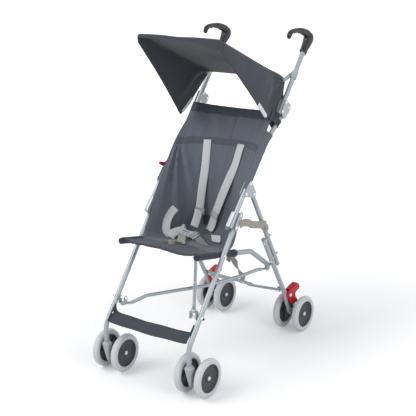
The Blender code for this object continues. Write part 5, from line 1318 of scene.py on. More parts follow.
for side, sign in SIDES:
    x = sign * side_x
    panel = [stem_place(0.0115, -0.0052), stem_place(0.0115, 0.0052), stem_place(0.0300, 0.0078),
             stem_place(0.0470, 0.0102), stem_place(0.0560, 0.0060), stem_place(0.0480, -0.0050),
             stem_place(0.0300, -0.0060)]
    rib = [Vector((0, *stem_place(0.0125, 0.0030))), Vector((0, *stem_place(0.0270, -0.0010))),
           Vector((0, *stem_place(0.0400, -0.0034))), Vector((0, *stem_place(0.0500, -0.0034)))]
    flange = round_outline(((*stem_place(0.0060, 0.0085), 0.0040), (*stem_place(-0.0018, 0.0118), 0.0022)))
    parts = [hook_mesh(x), plate_mesh(flange, x - 0.0055, x + 0.0055, 0.0014)]
    for way in (-1, 1):
        face = x + way * 0.0116
        parts.append(plate_mesh(panel, *sorted((x + way * 0.0085, face + way * 0.0004)), 0.0012))
        ridge = [Vector((face + way * 0.0001, p.y, p.z)) for p in smooth_curve(rib, 12)]
        parts.append(tube_mesh(ridge, 0.0011, 10, soft=0.0008))
    piece(f"handle_{side}_grip", parts, "satin_black", f"{side}_side", f"handle_{side}")
    screws, slots = [], []
    for distance, bulge in ((0.0100, 0.0100), (0.0340, 0.0150)):
        at = Vector((x, *stem_place(distance, bulge)))
        way = Vector((0, *beside((0, 0), push_way, -1.0)))
        screws.append(turned_mesh([(0.0040, -0.0020), (0.0042, 0.0010), (0.0040, 0.0026), (0.0032, 0.0034),
                                   (0.0020, 0.0037), (0.0, 0.0037)], at, way, 20))
        up_way = Vector((0, *push_way))
        slots.append(slab_mesh(((-0.0026, -0.0005), (0.0026, -0.0005), (0.0026, 0.0005), (-0.0026, 0.0005)),
                               0.0030, 0.0040, 0.0002,
                               lambda a, b, h, at=at, way=way, up_way=up_way:
                               at + Vector((1, 0, 0)) * a * 0.7 + up_way * (b + a * 0.7) + way * h))
    piece(f"handle_{side}_screws", screws, "white_cap", f"{side}_side")
    piece(f"handle_{side}_screw_slots", slots, "satin_black", f"{side}_side")
print("handles done")

# %% [markdown]
# ## Canopy clips
#
# A pale moulded clip grips each push tube and reaches forward to the canopy's pivot. It is a
# short sleeve with rolled ends and a flat arm.

# %% Clips on the push tubes
canopy_half = side_x - 0.0130
clip_at = step_from(push_foot, push_top, 0.140)
for side, sign in SIDES:
    x = sign * side_x
    axis = Vector((0, *push_way))
    sleeve_profile = [(0.0084, -0.0130), (0.0104, -0.0130), (0.0114, -0.0122), (0.0116, -0.0112),
                      (0.0109, -0.0098), (0.0109, 0.0098), (0.0116, 0.0112), (0.0114, 0.0122),
                      (0.0104, 0.0130), (0.0084, 0.0130)]
    sleeve = turned_mesh(sleeve_profile, (x, *clip_at), axis, 28, closed=True)
    inner = canopy_half + 0.0012 + 0.0010
    reach = max(inner + 0.0040, side_x - tube_radius)
    arm_outline = round_outline(((*beside(clip_at, push_way, 0.0040), 0.0075), (*canopy_pin, 0.0070)))
    arm = plate_mesh(arm_outline, *sorted((sign * inner, sign * reach)), 0.0012)
    head = canopy_half - 0.0022
    pin = pin_mesh((sign * (inner + 0.0020), *canopy_pin), (sign * (head - 0.0010), *canopy_pin), 0.0026)
    boss = turned_mesh([(0.0, 0.0), (0.0052, 0.0), (0.0053, 0.0006), (0.0046, 0.0014), (0.0028, 0.0020),
                        (0.0, 0.0022)], (sign * head, *canopy_pin), (-sign, 0, 0), 20)
    ears = [rivet_mesh((sign * reach * 0.9995, *canopy_pin), (sign, 0, 0), 0.0045, 0.0018)]
    piece(f"canopy_clip_{side}_body", [sleeve, arm, pin, boss, *ears], "pale_moulding",
          f"{side}_side", f"canopy_clip_{side}")
print("clips done, canopy half width", round(canopy_half, 4))

# %% [markdown]
# ## Seat rails
#
# The rails are the thickest tubes. Each is pinned inside its front leg, runs under the cloth, and
# bends down at the rear, where an upright pin takes the X-brace. Rounded plugs close the ends.

# %% Rails with their plugs and pins
rear_pad_z, pad_thick, pad_radius = 0.2658, 0.0050, 0.0085
rear_eye_y = 0.110
pad_low = rear_pad_z - pad_thick / 2
rail_way = heading(rail_tip, rail_bend)
rail_end_way = heading(rail_bend, rail_end)
for side, sign in SIDES:
    x = sign * rail_x
    path = bent(in_side(x, (rail_tip, rail_bend, rail_end)), 0.060, 12)
    saddle = turned_mesh([(0.0, 0.0160), (0.0066, 0.0160), (0.0075, 0.0150),
                          (0.0075, pad_thick / 2 + 0.0017),
                          (0.0070, pad_thick / 2 + 0.0010), (0.0, pad_thick / 2 + 0.0010)],
                         (x, rear_eye_y, rear_pad_z), (0, 0, 1), 20)
    piece(f"seat_rail_{side}_tube", [tube_mesh(path, rail_radius, 24), saddle], "satin_paint",
          f"seat_rail_{side}", f"seat_rail_{side}")
    pin = pin_mesh((x, rear_eye_y, rear_pad_z + 0.016), (x, rear_eye_y, pad_low - 0.0030))
    head = turned_mesh([(0.0070, 0.0), (0.0072, 0.0008), (0.0064, 0.0020), (0.0, 0.0024)],
                       (x, rear_eye_y, pad_low - 0.0010), (0, 0, -1), 20)
    piece(f"seat_rail_{side}_pin", [pin, head], "plain_steel", f"seat_rail_{side}")
    piece(f"seat_rail_{side}_plugs",
          [plug_meshes((x, *rail_tip), side_vector(rail_way, -1), rail_radius),
           plug_meshes((x, *rail_end), side_vector(rail_end_way), rail_radius)],
          "grey_moulding", f"seat_rail_{side}")
print("rails done")

# %% [markdown]
# ## The X-brace
#
# Two slim bars cross under the seat. Each starts at a small U-shaped clevis on a front leg and
# ends under the opposite seat rail. A collar holds them apart where they cross. The ends of the
# bars are pressed flat and drilled. Making the tube's rings wider and lower towards the end
# shows that pressing.

# %% Clevises
bolt_y, bolt_z = clevis_pin
clevis_reach, clevis_eye = 0.018, 0.0080


def clevis_levels(rise):
    base = bolt_z + rise * (clevis_reach - plate_thick / 2)
    return base, bolt_z + rise * (clevis_reach + 0.0003 + pad_thick / 2)


for side, sign, rise in (("right", -1.0, -1.0), ("left", 1.0, 1.0)):
    x = sign * clevis_x
    base, eye = clevis_levels(rise)
    outline = round_outline(((bolt_y, bolt_z, clevis_eye),
                             (bolt_y, base - rise * clevis_eye * 0.9, clevis_eye)))
    cheeks = [plate_mesh(outline, x - clevis_half, x - clevis_half + plate_thick),
              plate_mesh(outline, x + clevis_half - plate_thick, x + clevis_half)]
    floor_plate = block_mesh((x, bolt_y, base), (2 * clevis_half, 2 * clevis_eye, plate_thick), soft=0.0008)
    piece(f"front_clevis_{side}_bracket", cheeks + [floor_plate], "satin_paint",
          f"front_clevis_{side}", f"front_clevis_{side}")
    tip = eye + rise * (pad_thick / 2 + 0.0003)
    piece(f"front_clevis_{side}_pin",
          [pin_mesh((x, bolt_y, base), (x, bolt_y, tip + rise * 0.0016)),
           rivet_mesh((x, bolt_y, tip), (0, 0, rise))], "plain_steel", f"front_clevis_{side}")
print("clevises done")

# %% The bars, pressed flat at both ends
def resample(path, step):
    """The same polyline with a point at least every step metres."""
    found = [Vector(path[0])]
    for a, b in zip(path, path[1:]):
        a, b = Vector(a), Vector(b)
        parts = max(1, int(math.ceil((b - a).length / step)))
        found += [a.lerp(b, k / parts) for k in range(1, parts + 1)]
    return found


bar_radius, bar_gap, bar_z = 0.0058, 0.0140, 0.2445
eye_ring = [(0.0034, -0.0025), (0.0079, -0.0025), (0.0085, -0.0020), (0.0085, 0.0020), (0.0079, 0.0025),
            (0.0034, 0.0025)]
for letter, sign, rise, dip in (("a", -1.0, -1.0, 0.2365), ("b", 1.0, 1.0, 0.253)):
    eye = clevis_levels(rise)[1]
    front = Vector((sign * clevis_x, bolt_y, eye))
    rear = Vector((-sign * rail_x, rear_eye_y, rear_pad_z))
    mid_z = bar_z + rise * bar_gap / 2

    def between(share, z):
        flat = front.lerp(rear, share)
        return Vector((flat.x, flat.y, z))

    crossing = front.x / (front.x - rear.x)
    pad = pad_radius / (rear - front).length
    corners = [between(pad * 0.6, front.z), between(0.06, front.z), between(0.16, dip),
               between(crossing - 0.06, mid_z), between(crossing + 0.06, mid_z),
               between(0.80, (mid_z + rear.z) / 2), between(0.93, rear.z), between(1 - pad * 0.6, rear.z)]
    path = resample(bent(corners, 0.050, 6), 0.006)
    run = [0.0]
    for a, b in zip(path, path[1:]):
        run.append(run[-1] + (b - a).length)
    flatness = []
    for along in run:
        near_front, near_rear = along / 0.026, (run[-1] - along) / 0.020
        press = max(0.0, 1 - min(near_front, near_rear)) ** 0.8
        flatness.append((1 + 0.22 * press, 1 - 0.60 * press))
    parts = [tube_mesh(path, bar_radius, 20, flatness)]
    parts += [turned_mesh(eye_ring, end, (0, 0, 1), 28, closed=True) for end in (front, rear)]
    piece(f"x_bar_{letter}_tube", parts, "satin_paint", f"x_bar_{letter}", f"x_bar_{letter}")
    if letter == "b":
        centre = Vector((0, between(crossing, 0).y, mid_z))
        down = Vector((0, 0, -1))
        collar = turned_mesh([(0.0066, bar_radius - 0.0022), (0.0072, bar_radius - 0.0012),
                              (0.0072, bar_gap - bar_radius - 0.0014),
                              (0.0066, bar_gap - bar_radius - 0.0010),
                              (0.0, bar_gap - bar_radius - 0.0010)], centre, down, 24)
        piece("x_bar_b_collar", [collar], "grey_moulding", "x_bar_b")
        drop = bar_gap + bar_radius
        piece("x_bar_b_pivot", [pin_mesh(centre + down * 0.006, centre + down * (drop + 0.002)),
                                rivet_mesh(centre + down * (drop + 0.0008), down, 0.0058, 0.0026),
                                rivet_mesh(centre - down * (bar_radius - 0.0006), -down, 0.0058, 0.0026)],
              "plain_steel", "x_bar_b")
print("bars done")

# %% [markdown]
# ## Brake levers
#
# The red levers are the only bright colour. Each sits astride the flat foot of the rear leg: a
# curved pedal above, a hooked finger in front of the wheels, and a hollow back. The outline is a
# smooth closed curve, and a boolean cuts the hollow, just as a core leaves it in the mould.

# %% Lever outline, hollow and ribs
def smooth_outline(keys, count):
    return [(p.x, p.y) for p in smooth_curve([(a, b, 0) for a, b in keys], count, closed=True)]


def carve(mesh, *cutters):
    """The first mesh with the cutters taken out of it, by Blender's exact boolean."""
    def temporary(made):
        obj = bpy.data.objects.new("temporary", new_mesh("temporary", *made))
        bpy.context.scene.collection.objects.link(obj)
        return obj

    body, tools = temporary(mesh), [temporary(c) for c in cutters]
    for tool in tools:
        cut = body.modifiers.new("cut", "BOOLEAN")
        cut.operation, cut.object, cut.solver = "DIFFERENCE", tool, "EXACT"
    bpy.context.view_layer.update()
    made = body.evaluated_get(bpy.context.evaluated_depsgraph_get()).to_mesh()
    result = [v.co.copy() for v in made.vertices], [tuple(p.vertices) for p in made.polygons]
    for obj in [body] + tools:
        bpy.data.objects.remove(obj, do_unlink=True)
    return result


lever_keys = ((-0.014, 0.003), (-0.008, 0.011), (0.008, 0.017), (0.030, 0.023), (0.050, 0.026),
              (0.060, 0.022), (0.066, 0.013), (0.065, 0.003), (0.056, -0.001), (0.044, -0.003),
              (0.039, -0.011), (0.043, -0.022), (0.053, -0.035), (0.049, -0.042), (0.040, -0.043),
              (0.024, -0.043), (0.006, -0.0275), (-0.009, -0.008))
lever_outline = [(lever_pin[0] + a, lever_pin[1] + b) for a, b in smooth_outline(lever_keys, 90)]
hollow = round_outline([(lever_pin[0] + a, lever_pin[1] + b, r) for a, b, r in
                        ((-0.020, 0.009, 0.012), (-0.010, 0.016, 0.011), (0.009, 0.0, 0.012),
                         (0.004, -0.050, 0.020), (0.043, -0.051, 0.022))], 16)
lever_half, slot_half = 0.0110, 0.0058
for side, sign in SIDES:
    x = sign * side_x
    body = plate_mesh(lever_outline, x - lever_half, x + lever_half, 0.0034)
    slot = [Vector((x - slot_half, y, z)) for y, z in hollow] + [Vector((x + slot_half, y, z)) for y,
                                                                 z in hollow]
    n = len(hollow)
    slot_faces = [tuple(range(n))[::-1], tuple(range(n, 2 * n))]
    slot_faces += [(k, (k + 1) % n, n + (k + 1) % n, n + k) for k in range(n)]
    ribs = []
    for along in (0.022, 0.031, 0.040, 0.049):
        rise = 0.0166 + (along - 0.008) * 0.24 - max(0, along - 0.044) * 0.25
        at = (lever_pin[0] + along, lever_pin[1] + rise + 0.0012)
        ribs.append(tube_mesh([(x - 0.0082, *at), (x + 0.0082, *at)], 0.0013, 10, soft=0.0010))
    piece(f"brake_lever_{side}_pedal", [carve(body, (slot, slot_faces)), *ribs], "gloss_red",
          f"brake_lever_{side}", f"brake_lever_{side}", sharp=30.0)
    piece(f"brake_lever_{side}_clip",
          [turned_mesh([(0.0, 0.0), (0.0056, 0.0), (0.0060, 0.0008), (0.0056, 0.0024), (0.0034, 0.0030),
                        (0.0, 0.0031)], (x + way * 0.0138, *lever_pin), (way, 0, 0), 20) for way in (-1,
                                                                                                     1)],
          "white_cap", f"rear_leg_{side}")
print("levers done")

# %% The storage latch
latch_x = pin_of["latch_turn"].x
tab = beside(latch_pin, main_way, 0.0200, -0.006)
hook = beside(latch_pin, main_way, -0.0120, 0.026)
lip = beside(hook, main_way, -0.0080, -0.002)
half = 0.0020
piece("storage_latch_hook",
      [plate_mesh(round_outline(((*latch_pin, 0.0072), (*tab, 0.0052))), latch_x - half, latch_x + half,
                  0.0010),
       plate_mesh(round_outline(((*latch_pin, 0.0060), (*hook, 0.0045))), latch_x - half, latch_x + half,
                  0.0010),
       plate_mesh(round_outline(((*hook, 0.0044), (*lip, 0.0030))), latch_x - half, latch_x + half, 0.0010),
       block_mesh((latch_x - 0.0020, *tab), (0.0095, 0.0085, 0.0040), main_way, 0.0014)],
      "gloss_red", "storage_latch", "storage_latch")
print("latch done; hard pieces:", len(scene_pieces))

# %% [markdown]
# ## The seat is one long cloth
#
# The seat hangs between the two sides like a hammock that is open at the front. Its shape follows
# from two curves in the side view: where its edge is carried, and where its middle hangs. Every
# point between them is a blend of the two, because cloth under tension is pulled in quickly near
# its edge and lies nearly flat in the middle. Modelling it as a function of (across, down) keeps
# the straps, seams and folds that lie on it in agreement.

# %% The carried edge and the hanging middle
rail_cloth = 1.08 * (rail_radius + 0.0012) + 0.0003


def rail_point(y):
    """Height of a rail's axis in front of its bend."""
    slope = (rail_bend[1] - rail_tip[1]) / (rail_bend[0] - rail_tip[0])
    return rail_tip[1] + (y - rail_tip[0]) * slope


def rail_top(y):
    """Height at which the seat cloth lies on a rail."""
    return rail_point(y) + rail_cloth


seat_edge = [(0.1450, 0.7950, side_x - 0.0050), (0.1060, 0.7460, side_x - 0.0050),
             (0.0400, 0.6900, side_x - 0.0050), (-0.0120, 0.6330, side_x - 0.0080),
             (-0.0520, 0.5940, side_x - 0.0120), (-0.0880, 0.5400, side_x - 0.0128),
             (-0.1180, 0.4840, side_x - 0.0130), (-0.1420, 0.4400, side_x - 0.0132),
             (-0.1560, 0.4170, side_x - 0.0150)]
near_edge = seat_edge[:2] + [(0.0460, 0.6900, side_x - 0.0050), (0.0020, 0.6330, side_x - 0.0080),
                             (-0.0280, 0.5940, side_x - 0.0120), (-0.0520, 0.5400, side_x - 0.0135),
                             (-0.0660, 0.4840, side_x - 0.0140), (-0.0780, 0.4350, side_x - 0.0150),
                             (-0.1000, rail_top(-0.1000) + 0.0045, rail_x)]
on_rail = [(y, rail_top(y), rail_x) for y in (-0.1780, -0.2180, -0.2700)]
seat_edge, near_edge = seat_edge + on_rail, near_edge + on_rail
seat_middle = [(0.1550, 0.7880), (0.1310, 0.7420), (0.1020, 0.6860), (0.0760, 0.6240), (0.0590, 0.5620),
               (0.0470, 0.5020), (0.0400, 0.4440), (0.0230, 0.3950), (-0.0420, 0.3800),
               (-0.1200, 0.3920), (-0.1950, 0.4090), (-0.2640, 0.4230)]
seat_rows = 220
edge_line, near_line = smooth_curve(seat_edge, seat_rows), smooth_curve(near_edge, seat_rows)
middle_line = smooth_curve([(y, z, 0.0) for y, z in seat_middle], seat_rows)


def along_line(line, v):
    place = min(max(v, 0.0), 1.0) * seat_rows
    i = min(int(place), seat_rows - 1)
    return line[i].lerp(line[i + 1], place - i)


def seat_plain(u, v):
    """The seat without its folds: u runs from -1 to 1 across, v from 0 at the top to 1."""
    edge, middle = along_line(near_line if u > 0 else edge_line, v), along_line(middle_line, v)
    share = 1.0 - abs(u) ** 2.6
    y, z = edge.x + (middle.x - edge.x) * share, edge.y + (middle.y - edge.y) * share
    wave = 0.0035 * math.sin(math.pi * min(max((v - 0.2) / 0.55, 0.0), 1.0)) * math.sin(9 * u) * (1 - u * u)
    return Vector((u * edge.z, y - wave, z + 0.4 * wave))


def seat_normal(u, v):
    """Square to the seat, towards the child."""
    step = 0.004
    across = seat_plain(min(u + step, 1), v) - seat_plain(max(u - step, -1), v)
    down = seat_plain(u, min(v + step, 1)) - seat_plain(u, max(v - step, 0))
    return down.cross(across).normalized()


print("seat top", [round(c, 3) for c in seat_plain(0, 0)], "normal",
      [round(c, 2) for c in seat_normal(0, 0.4)])

# %% [markdown]
# ## Folds
#
# Cloth that hangs from two points makes folds that fan out from them. A fold is a ridge: high on
# its own line, fading to each side and towards its ends. Each ridge here is a short function, and
# the seat is the sum of them. They are placed one by one, as a tailor would chalk them.

# %% A ridge that runs between two points of the cloth
def ridge(u, v, start, end, width, height):
    """A fold from start to end, both (u, v); width is in units of u and grows along the fold."""
    du, dv = end[0] - start[0], end[1] - start[1]
    t = ((u - start[0]) * du * 0.25 + (v - start[1]) * dv) / (du * du * 0.25 + dv * dv)
    if t <= 0.0 or t >= 1.0:
        return 0.0
    off = (u - start[0] - du * t) / (width * (0.30 + 0.90 * t))
    return height * math.exp(-off * off) * math.sin(math.pi * t ** 0.6) ** 0.8


back_folds = (((-0.95, 0.195), (-0.93, 0.74), 0.050, 0.0080),
              ((-0.94, 0.195), (-0.78, 0.72), 0.050, -0.0090),
              ((-0.92, 0.195), (-0.66, 0.70), 0.055, 0.0090),
              ((-0.90, 0.195), (-0.50, 0.62), 0.065, -0.0075),
              ((-0.88, 0.195), (-0.34, 0.56), 0.075, 0.0065),
              ((-0.45, 0.200), (-0.22, 0.70), 0.080, -0.0045),
              ((0.10, 0.190), (0.02, 0.64), 0.080, 0.0034), ((0.38, 0.190), (0.30, 0.62), 0.080, -0.0034),
              ((0.66, 0.190), (0.52, 0.60), 0.090, 0.0040), ((0.88, 0.190), (0.74, 0.58), 0.070, -0.0040),
              ((0.97, 0.055), (0.62, 0.175), 0.060, 0.0052), ((0.93, 0.050), (0.50, 0.172), 0.060, -0.0036),
              ((-0.80, 0.045), (-0.55, 0.170), 0.070, 0.0040),
              ((-0.60, 0.040), (-0.34, 0.165), 0.070, -0.0036),
              ((-0.40, 0.042), (-0.20, 0.168), 0.060, 0.0034),
              ((-0.16, 0.045), (-0.02, 0.160), 0.060, -0.0026))
base_folds = (((-0.97, 0.800), (-0.40, 0.905), 0.30, -0.0050),
              ((-0.60, 0.770), (0.20, 0.880), 0.30, 0.0040),
              ((0.30, 0.780), (0.96, 0.900), 0.30, -0.0045), ((-0.20, 0.900), (0.70, 0.985), 0.30, 0.0030))


def fold_height(u, v):
    total = sum(ridge(u, v, *fold) for fold in back_folds + base_folds)
    quiet = min(1.0, (1.0 - abs(u)) / 0.05)
    crumple = (0.0011 if v < 0.68 else 0.0005) * math.sin(31 * u + 5 * v) * math.sin(23 * v + 3 * u)
    return (total + crumple) * quiet


def seat_at(u, v, lift=0.0):
    """A point of the finished seat, lifted off its surface towards the child."""
    return seat_plain(u, v) + seat_normal(u, v) * (fold_height(u, v) + lift)


print("fold height at the far side", round(fold_height(-0.85, 0.45) * 1000, 2), "mm")

# %% [markdown]
# ## Seat back, seat base
#
# On the real stroller one cloth does both jobs. Here it is cut in two where the rails pivot,
# because the front part tips with the rails when the frame folds. The base rides on a rail.
#
# The hem at the top, the band that the shoulder straps are sewn to and the patch beside it are
# second layers, so each is a thin sheet of its own that lies on the seat.

# %% Three more finishes for the cloth pieces
make_woven("patch_weave", "seat_cloth", (0.112, 0.118, 0.138), 0.0009, 0.00018)
make_woven("hem_weave", "seat_cloth", (0.052, 0.060, 0.076), 0.0009, 0.00018)
make_woven("band_weave", "seat_cloth", (0.078, 0.088, 0.108), 0.0009, 0.00018)
# Painted shade: the base's finish is the seat's own cloth made darker, because the base is less lit than
# the back.
make_woven("seat_weave_painted_shade", "seat_cloth", (0.021, 0.030, 0.048), 0.0009, 0.00018, 1.0, 0.10, 0.06)
make_woven("tan_webbing", "webbing", (0.330, 0.312, 0.280), 0.0018, 0.00035, 0.45, 0.10)
make_hard("smoke_moulding", "buckle_grey", (0.150, 0.165, 0.175), 0.42, 0.0, 0.0006, 0.00005,
          (0.30, 0.32, 0.33), 0.08)
print("more finishes:", list(finishes)[-5:])

# %% Grids on the seat
def seat_grid(u_range, v_range, across, along, lift=0.0, shape=seat_at):
    return np.array([[list(shape(u_range[0] + (u_range[1] - u_range[0]) * k / across,
                                 v_range[0] + (v_range[1] - v_range[0]) * i / along, lift))
                      for k in range(across + 1)] for i in range(along + 1)])


def on_both_sides(obj):
    """Bakes the object's placement into its mesh."""
    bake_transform(obj)
    return obj


split_v = 0.835
back_grid = seat_grid((-1, 1), (0.0, split_v), 84, 132)
seat_back = on_both_sides(piece("seat_back", [sheet_mesh(back_grid, cloth_thick)], "seat_weave",
                                None, "seat", sharp=60))
print("seat back", [round(v, 3) for v in flat_size(back_grid)])

# %% The base and its front hem
def narrow_with_fold(obj):
    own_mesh(obj)
    return obj


base_grid = seat_grid((-1, 1), (split_v - 0.006, 1.0), 84, 34)
base_grid[0, :, 2] -= 0.0012
hem_line = [seat_at(-1 + k / 24, 1.0) + Vector((0, 0.0030 + 0.0004 * math.sin(k * 1.9), -0.0010
                                                   - 0.0004 * math.sin(k * 1.3 + 1))) for k in range(49)]
hem_roll = tube_mesh(hem_line, [0.0038 + 0.0003 * math.sin(k * 2.3) for k in range(49)], 14)
# The base wears the painted-shade copy of the seat cloth.
seat_base = piece("seat_base", [sheet_mesh(base_grid, cloth_thick)], "seat_weave_painted_shade", "seat_rail_left",
                  "seat", sharp=60)
base_hem = piece("seat_base_hem", [hem_roll], "dark_binding", "seat_rail_left", sharp=60)
for obj in (seat_base, base_hem):
    narrow_with_fold(obj)
print("seat base", [round(v, 3) for v in flat_size(base_grid)])

# %% Stitches
def stitch_row(places, length=0.0030, gap=0.0016, thread=0.00034):
    """Short thread loops along a line of points."""
    places = [Vector(p) for p in places]
    lengths = [0.0]
    for a, b in zip(places, places[1:]):
        lengths.append(lengths[-1] + (b - a).length)
    meshes, at = [], gap

    def place_at(distance, i=0):
        while i < len(lengths) - 2 and lengths[i + 1] < distance:
            i += 1
        span = lengths[i + 1] - lengths[i] or 1.0
        return places[i].lerp(places[i + 1], (distance - lengths[i]) / span)

    while at + length < lengths[-1]:
        start, middle, end = (place_at(at + length * s) for s in (0.0, 0.5, 1.0))
        meshes.append(tube_mesh([start, middle, end], [thread * 0.5, thread, thread * 0.5], 6, ends="flat"))
        at += length + gap
    return joined(meshes)


skin = cloth_thick / 2


def seat_line(start, end, count=60, lift=0.0):
    return [seat_at(start[0] + (end[0] - start[0]) * k / count, start[1] + (end[1] - start[1]) * k / count,
                    lift) for k in range(count + 1)]


# %% Hem, strap band and patch, each a second layer
layer = 0.0010
hem_grid = seat_grid((-0.992, 0.992), (0.002, 0.056), 72, 8, skin + layer / 2 + 0.0001)
band_grid = np.array([[list(seat_at(u, 0.170 + 0.030 * i / 4 - 0.006 * u, skin + layer / 2 + 0.0001
                                    + 0.0005 * math.sin(math.pi * i / 4)))
                       for u in [-0.975 + 1.95 * k / 72 for k in range(73)]] for i in range(5)])
patch_grid = np.array([[list(seat_at(-0.25 + 0.05 * i / 12 + (0.363 - 0.05 * i / 12) * k / 14,
                                     0.057 + 0.114 * i / 12, skin + layer / 2 + 0.00005))
                        for k in range(15)] for i in range(13)])
seat_hem = piece("seat_top_hem", [sheet_mesh(hem_grid, layer)], "hem_weave", None,
                 sharp=60)
strap_band = piece("seat_strap_band", [sheet_mesh(band_grid, layer)], "band_weave", None, sharp=60)
back_patch = piece("seat_back_patch", [sheet_mesh(patch_grid, layer)], "patch_weave", None, sharp=60)
rows = [seat_line((-0.97, 0.0525), (0.97, 0.0525), 90, skin + layer),
        seat_line((-0.97, 0.012), (0.97, 0.012), 90, skin + layer),
        [seat_at(u, 0.1735 - 0.006 * u, skin + layer) for u in np.linspace(-0.96, 0.96, 90)],
        [seat_at(u, 0.1965 - 0.006 * u, skin + layer) for u in np.linspace(-0.96, 0.96, 90)],
        seat_line((0.100, 0.060), (0.100, 0.168), 20, skin + layer),
        seat_line((0.965, 0.02), (0.965, 0.80), 160, skin),
        seat_line((-0.965, 0.02), (-0.965, 0.80), 160, skin)]
back_stitches = piece("seat_back_stitches", [stitch_row(row) for row in rows], "sewing_thread", None)
for obj in (seat_hem, strap_band, back_patch, back_stitches):
    on_both_sides(obj)
rows = [seat_line((-0.96, 0.975), (0.96, 0.975), 90, skin),
        seat_line((0.955, 0.85), (0.955, 0.97), 30, skin),
        seat_line((-0.955, 0.85), (-0.955, 0.97), 30, skin)]
base_stitches = piece("seat_base_stitches", [stitch_row(row) for row in rows], "sewing_thread",
                      "seat_rail_left")
narrow_with_fold(base_stitches)
print("second layers and stitches done")

# %% [markdown]
# ## Sleeves
#
# The back is held by sleeves that the side tubes pass through. A sleeve under tension is not
# round: it hugs the tube behind and is drawn out to an edge in front, where the seat starts. Each
# ring is therefore the outline round a circle and a point.

# %% Teardrop rings round the side tubes
tube_line = bent(in_side(0.0, (main_foot, main_bend, main_top)), 0.06, 12)


def nearest_on_tube(place):
    best = None
    for a, b in zip(tube_line, tube_line[1:]):
        t = min(max((place - a).dot(b - a) / (b - a).length_squared, 0.0), 1.0)
        at = a.lerp(b, t)
        if best is None or (place - at).length < best[0]:
            best = ((place - at).length, at, (b - a).normalized())
    return best[1], best[2]


def sleeve_mesh(sign, v_range, rings=60, sides=44, hug=0.0096):
    points, faces = [], ring_faces(rings + 1, sides)
    for i in range(rings + 1):
        v = v_range[0] + (v_range[1] - v_range[0]) * i / rings
        edge = seat_plain(sign, v)
        centre, way = nearest_on_tube(Vector((0.0, edge.y, edge.z)))
        centre = Vector((sign * side_x, centre.y, centre.z))
        side = Vector((1, 0, 0))
        ahead = side.cross(way)
        reach = edge - centre
        reach -= way * reach.dot(way)
        distance, aim = max(reach.length, hug * 1.02), math.atan2(reach.dot(ahead), reach.dot(side))
        grip = hug * (1.0 + 0.035 * math.sin(i * 0.9) + 0.02 * math.sin(i * 2.1))
        if i in (0, rings):
            grip *= 1.05
        half = math.acos(min(grip / distance, 1.0))
        for k in range(sides):
            away = 2 * math.pi * (k / sides) - math.pi
            radius = grip if abs(away) >= half else min(grip / math.cos(half - abs(away)), distance)
            a = aim + away
            points.append(centre + (side * math.cos(a) + ahead * math.sin(a)) * radius)
    for ring_start, step in ((0, 1), (rings * sides, -1)):
        base = len(points)
        centre = sum((points[ring_start + k] for k in range(sides)), Vector()) / sides
        points += [points[ring_start + k].lerp(centre, 0.14) for k in range(sides)]
        deeper = len(points)
        points += [points[ring_start + step * sides * 2 + k].lerp(centre, 0.16) for k in range(sides)]
        for k in range(sides):
            n = (k + 1) % sides
            faces.append((ring_start + k, ring_start + n, base + n, base + k))
            faces.append((base + k, base + n, deeper + n, deeper + k))
        faces.append(tuple(deeper + k for k in range(sides)))
    return points, faces


for side, sign in SIDES:
    piece(f"seat_sleeve_{side}", [sleeve_mesh(sign, (0.100, 0.385))], "seat_weave",
          f"{side}_side", sharp=55)
    seam = [seat_plain(sign, v) + Vector((-sign * 0.0030, -0.0016, 0.0008)) for v in np.linspace(0.105,
                                                                                                 0.38, 110)]
    piece(f"seat_sleeve_stitches_{side}", [stitch_row(seam)], "sewing_thread", f"{side}_side")
    piece(f"seat_corner_loop_{side}", [sleeve_mesh(sign, (0.010, 0.050), 8)], "dark_binding",
          f"{side}_side", sharp=55)
print("sleeves done")

# %% Sleeves on the seat rails
for side, sign in SIDES:
    count = 40
    line = [Vector((sign * rail_x, y, rail_point(y))) for y in np.linspace(-0.2800, -0.0760, count)]
    beside_leg = [math.exp(-((p.y - rail_pin[0]) / 0.016) ** 2) for p in line]
    radii = [0.0102 + 0.0003 * math.sin(k * 1.1) - 0.0010 * near + 0.0030 * max(0.0, (k - 32) / 7)
             for k, near in enumerate(beside_leg)]
    roll = tube_mesh(line, radii, 26, soft=0.0030)
    # The rail sleeves wear the same painted-shade copy of the seat cloth.
    piece(f"seat_rail_sleeve_{side}", [roll], "seat_weave_painted_shade", f"seat_rail_{side}", sharp=55)
print("rail sleeves done")

# %% [markdown]
# ## The canopy
#
# The canopy is one cloth over a bent wire: a flat top, rounded over at its two long edges into a
# side panel each. The side panels run down to a point near the seat. The cloth is drawn as a
# function of (across, back), then smoothed a little, because no sewn edge is sharp. Short folds
# spread from the two clips, where the cloth is gathered.

# %% The outline of the canopy
canopy_front, canopy_back = (-0.135, 1.062), (0.2305, 0.8855)
canopy_tip = {1.0: (0.145, 0.740), -1.0: (0.062, 0.770)}
front_fall, fall_share, top_share = 0.010, 0.06, 4.0 / 7.0


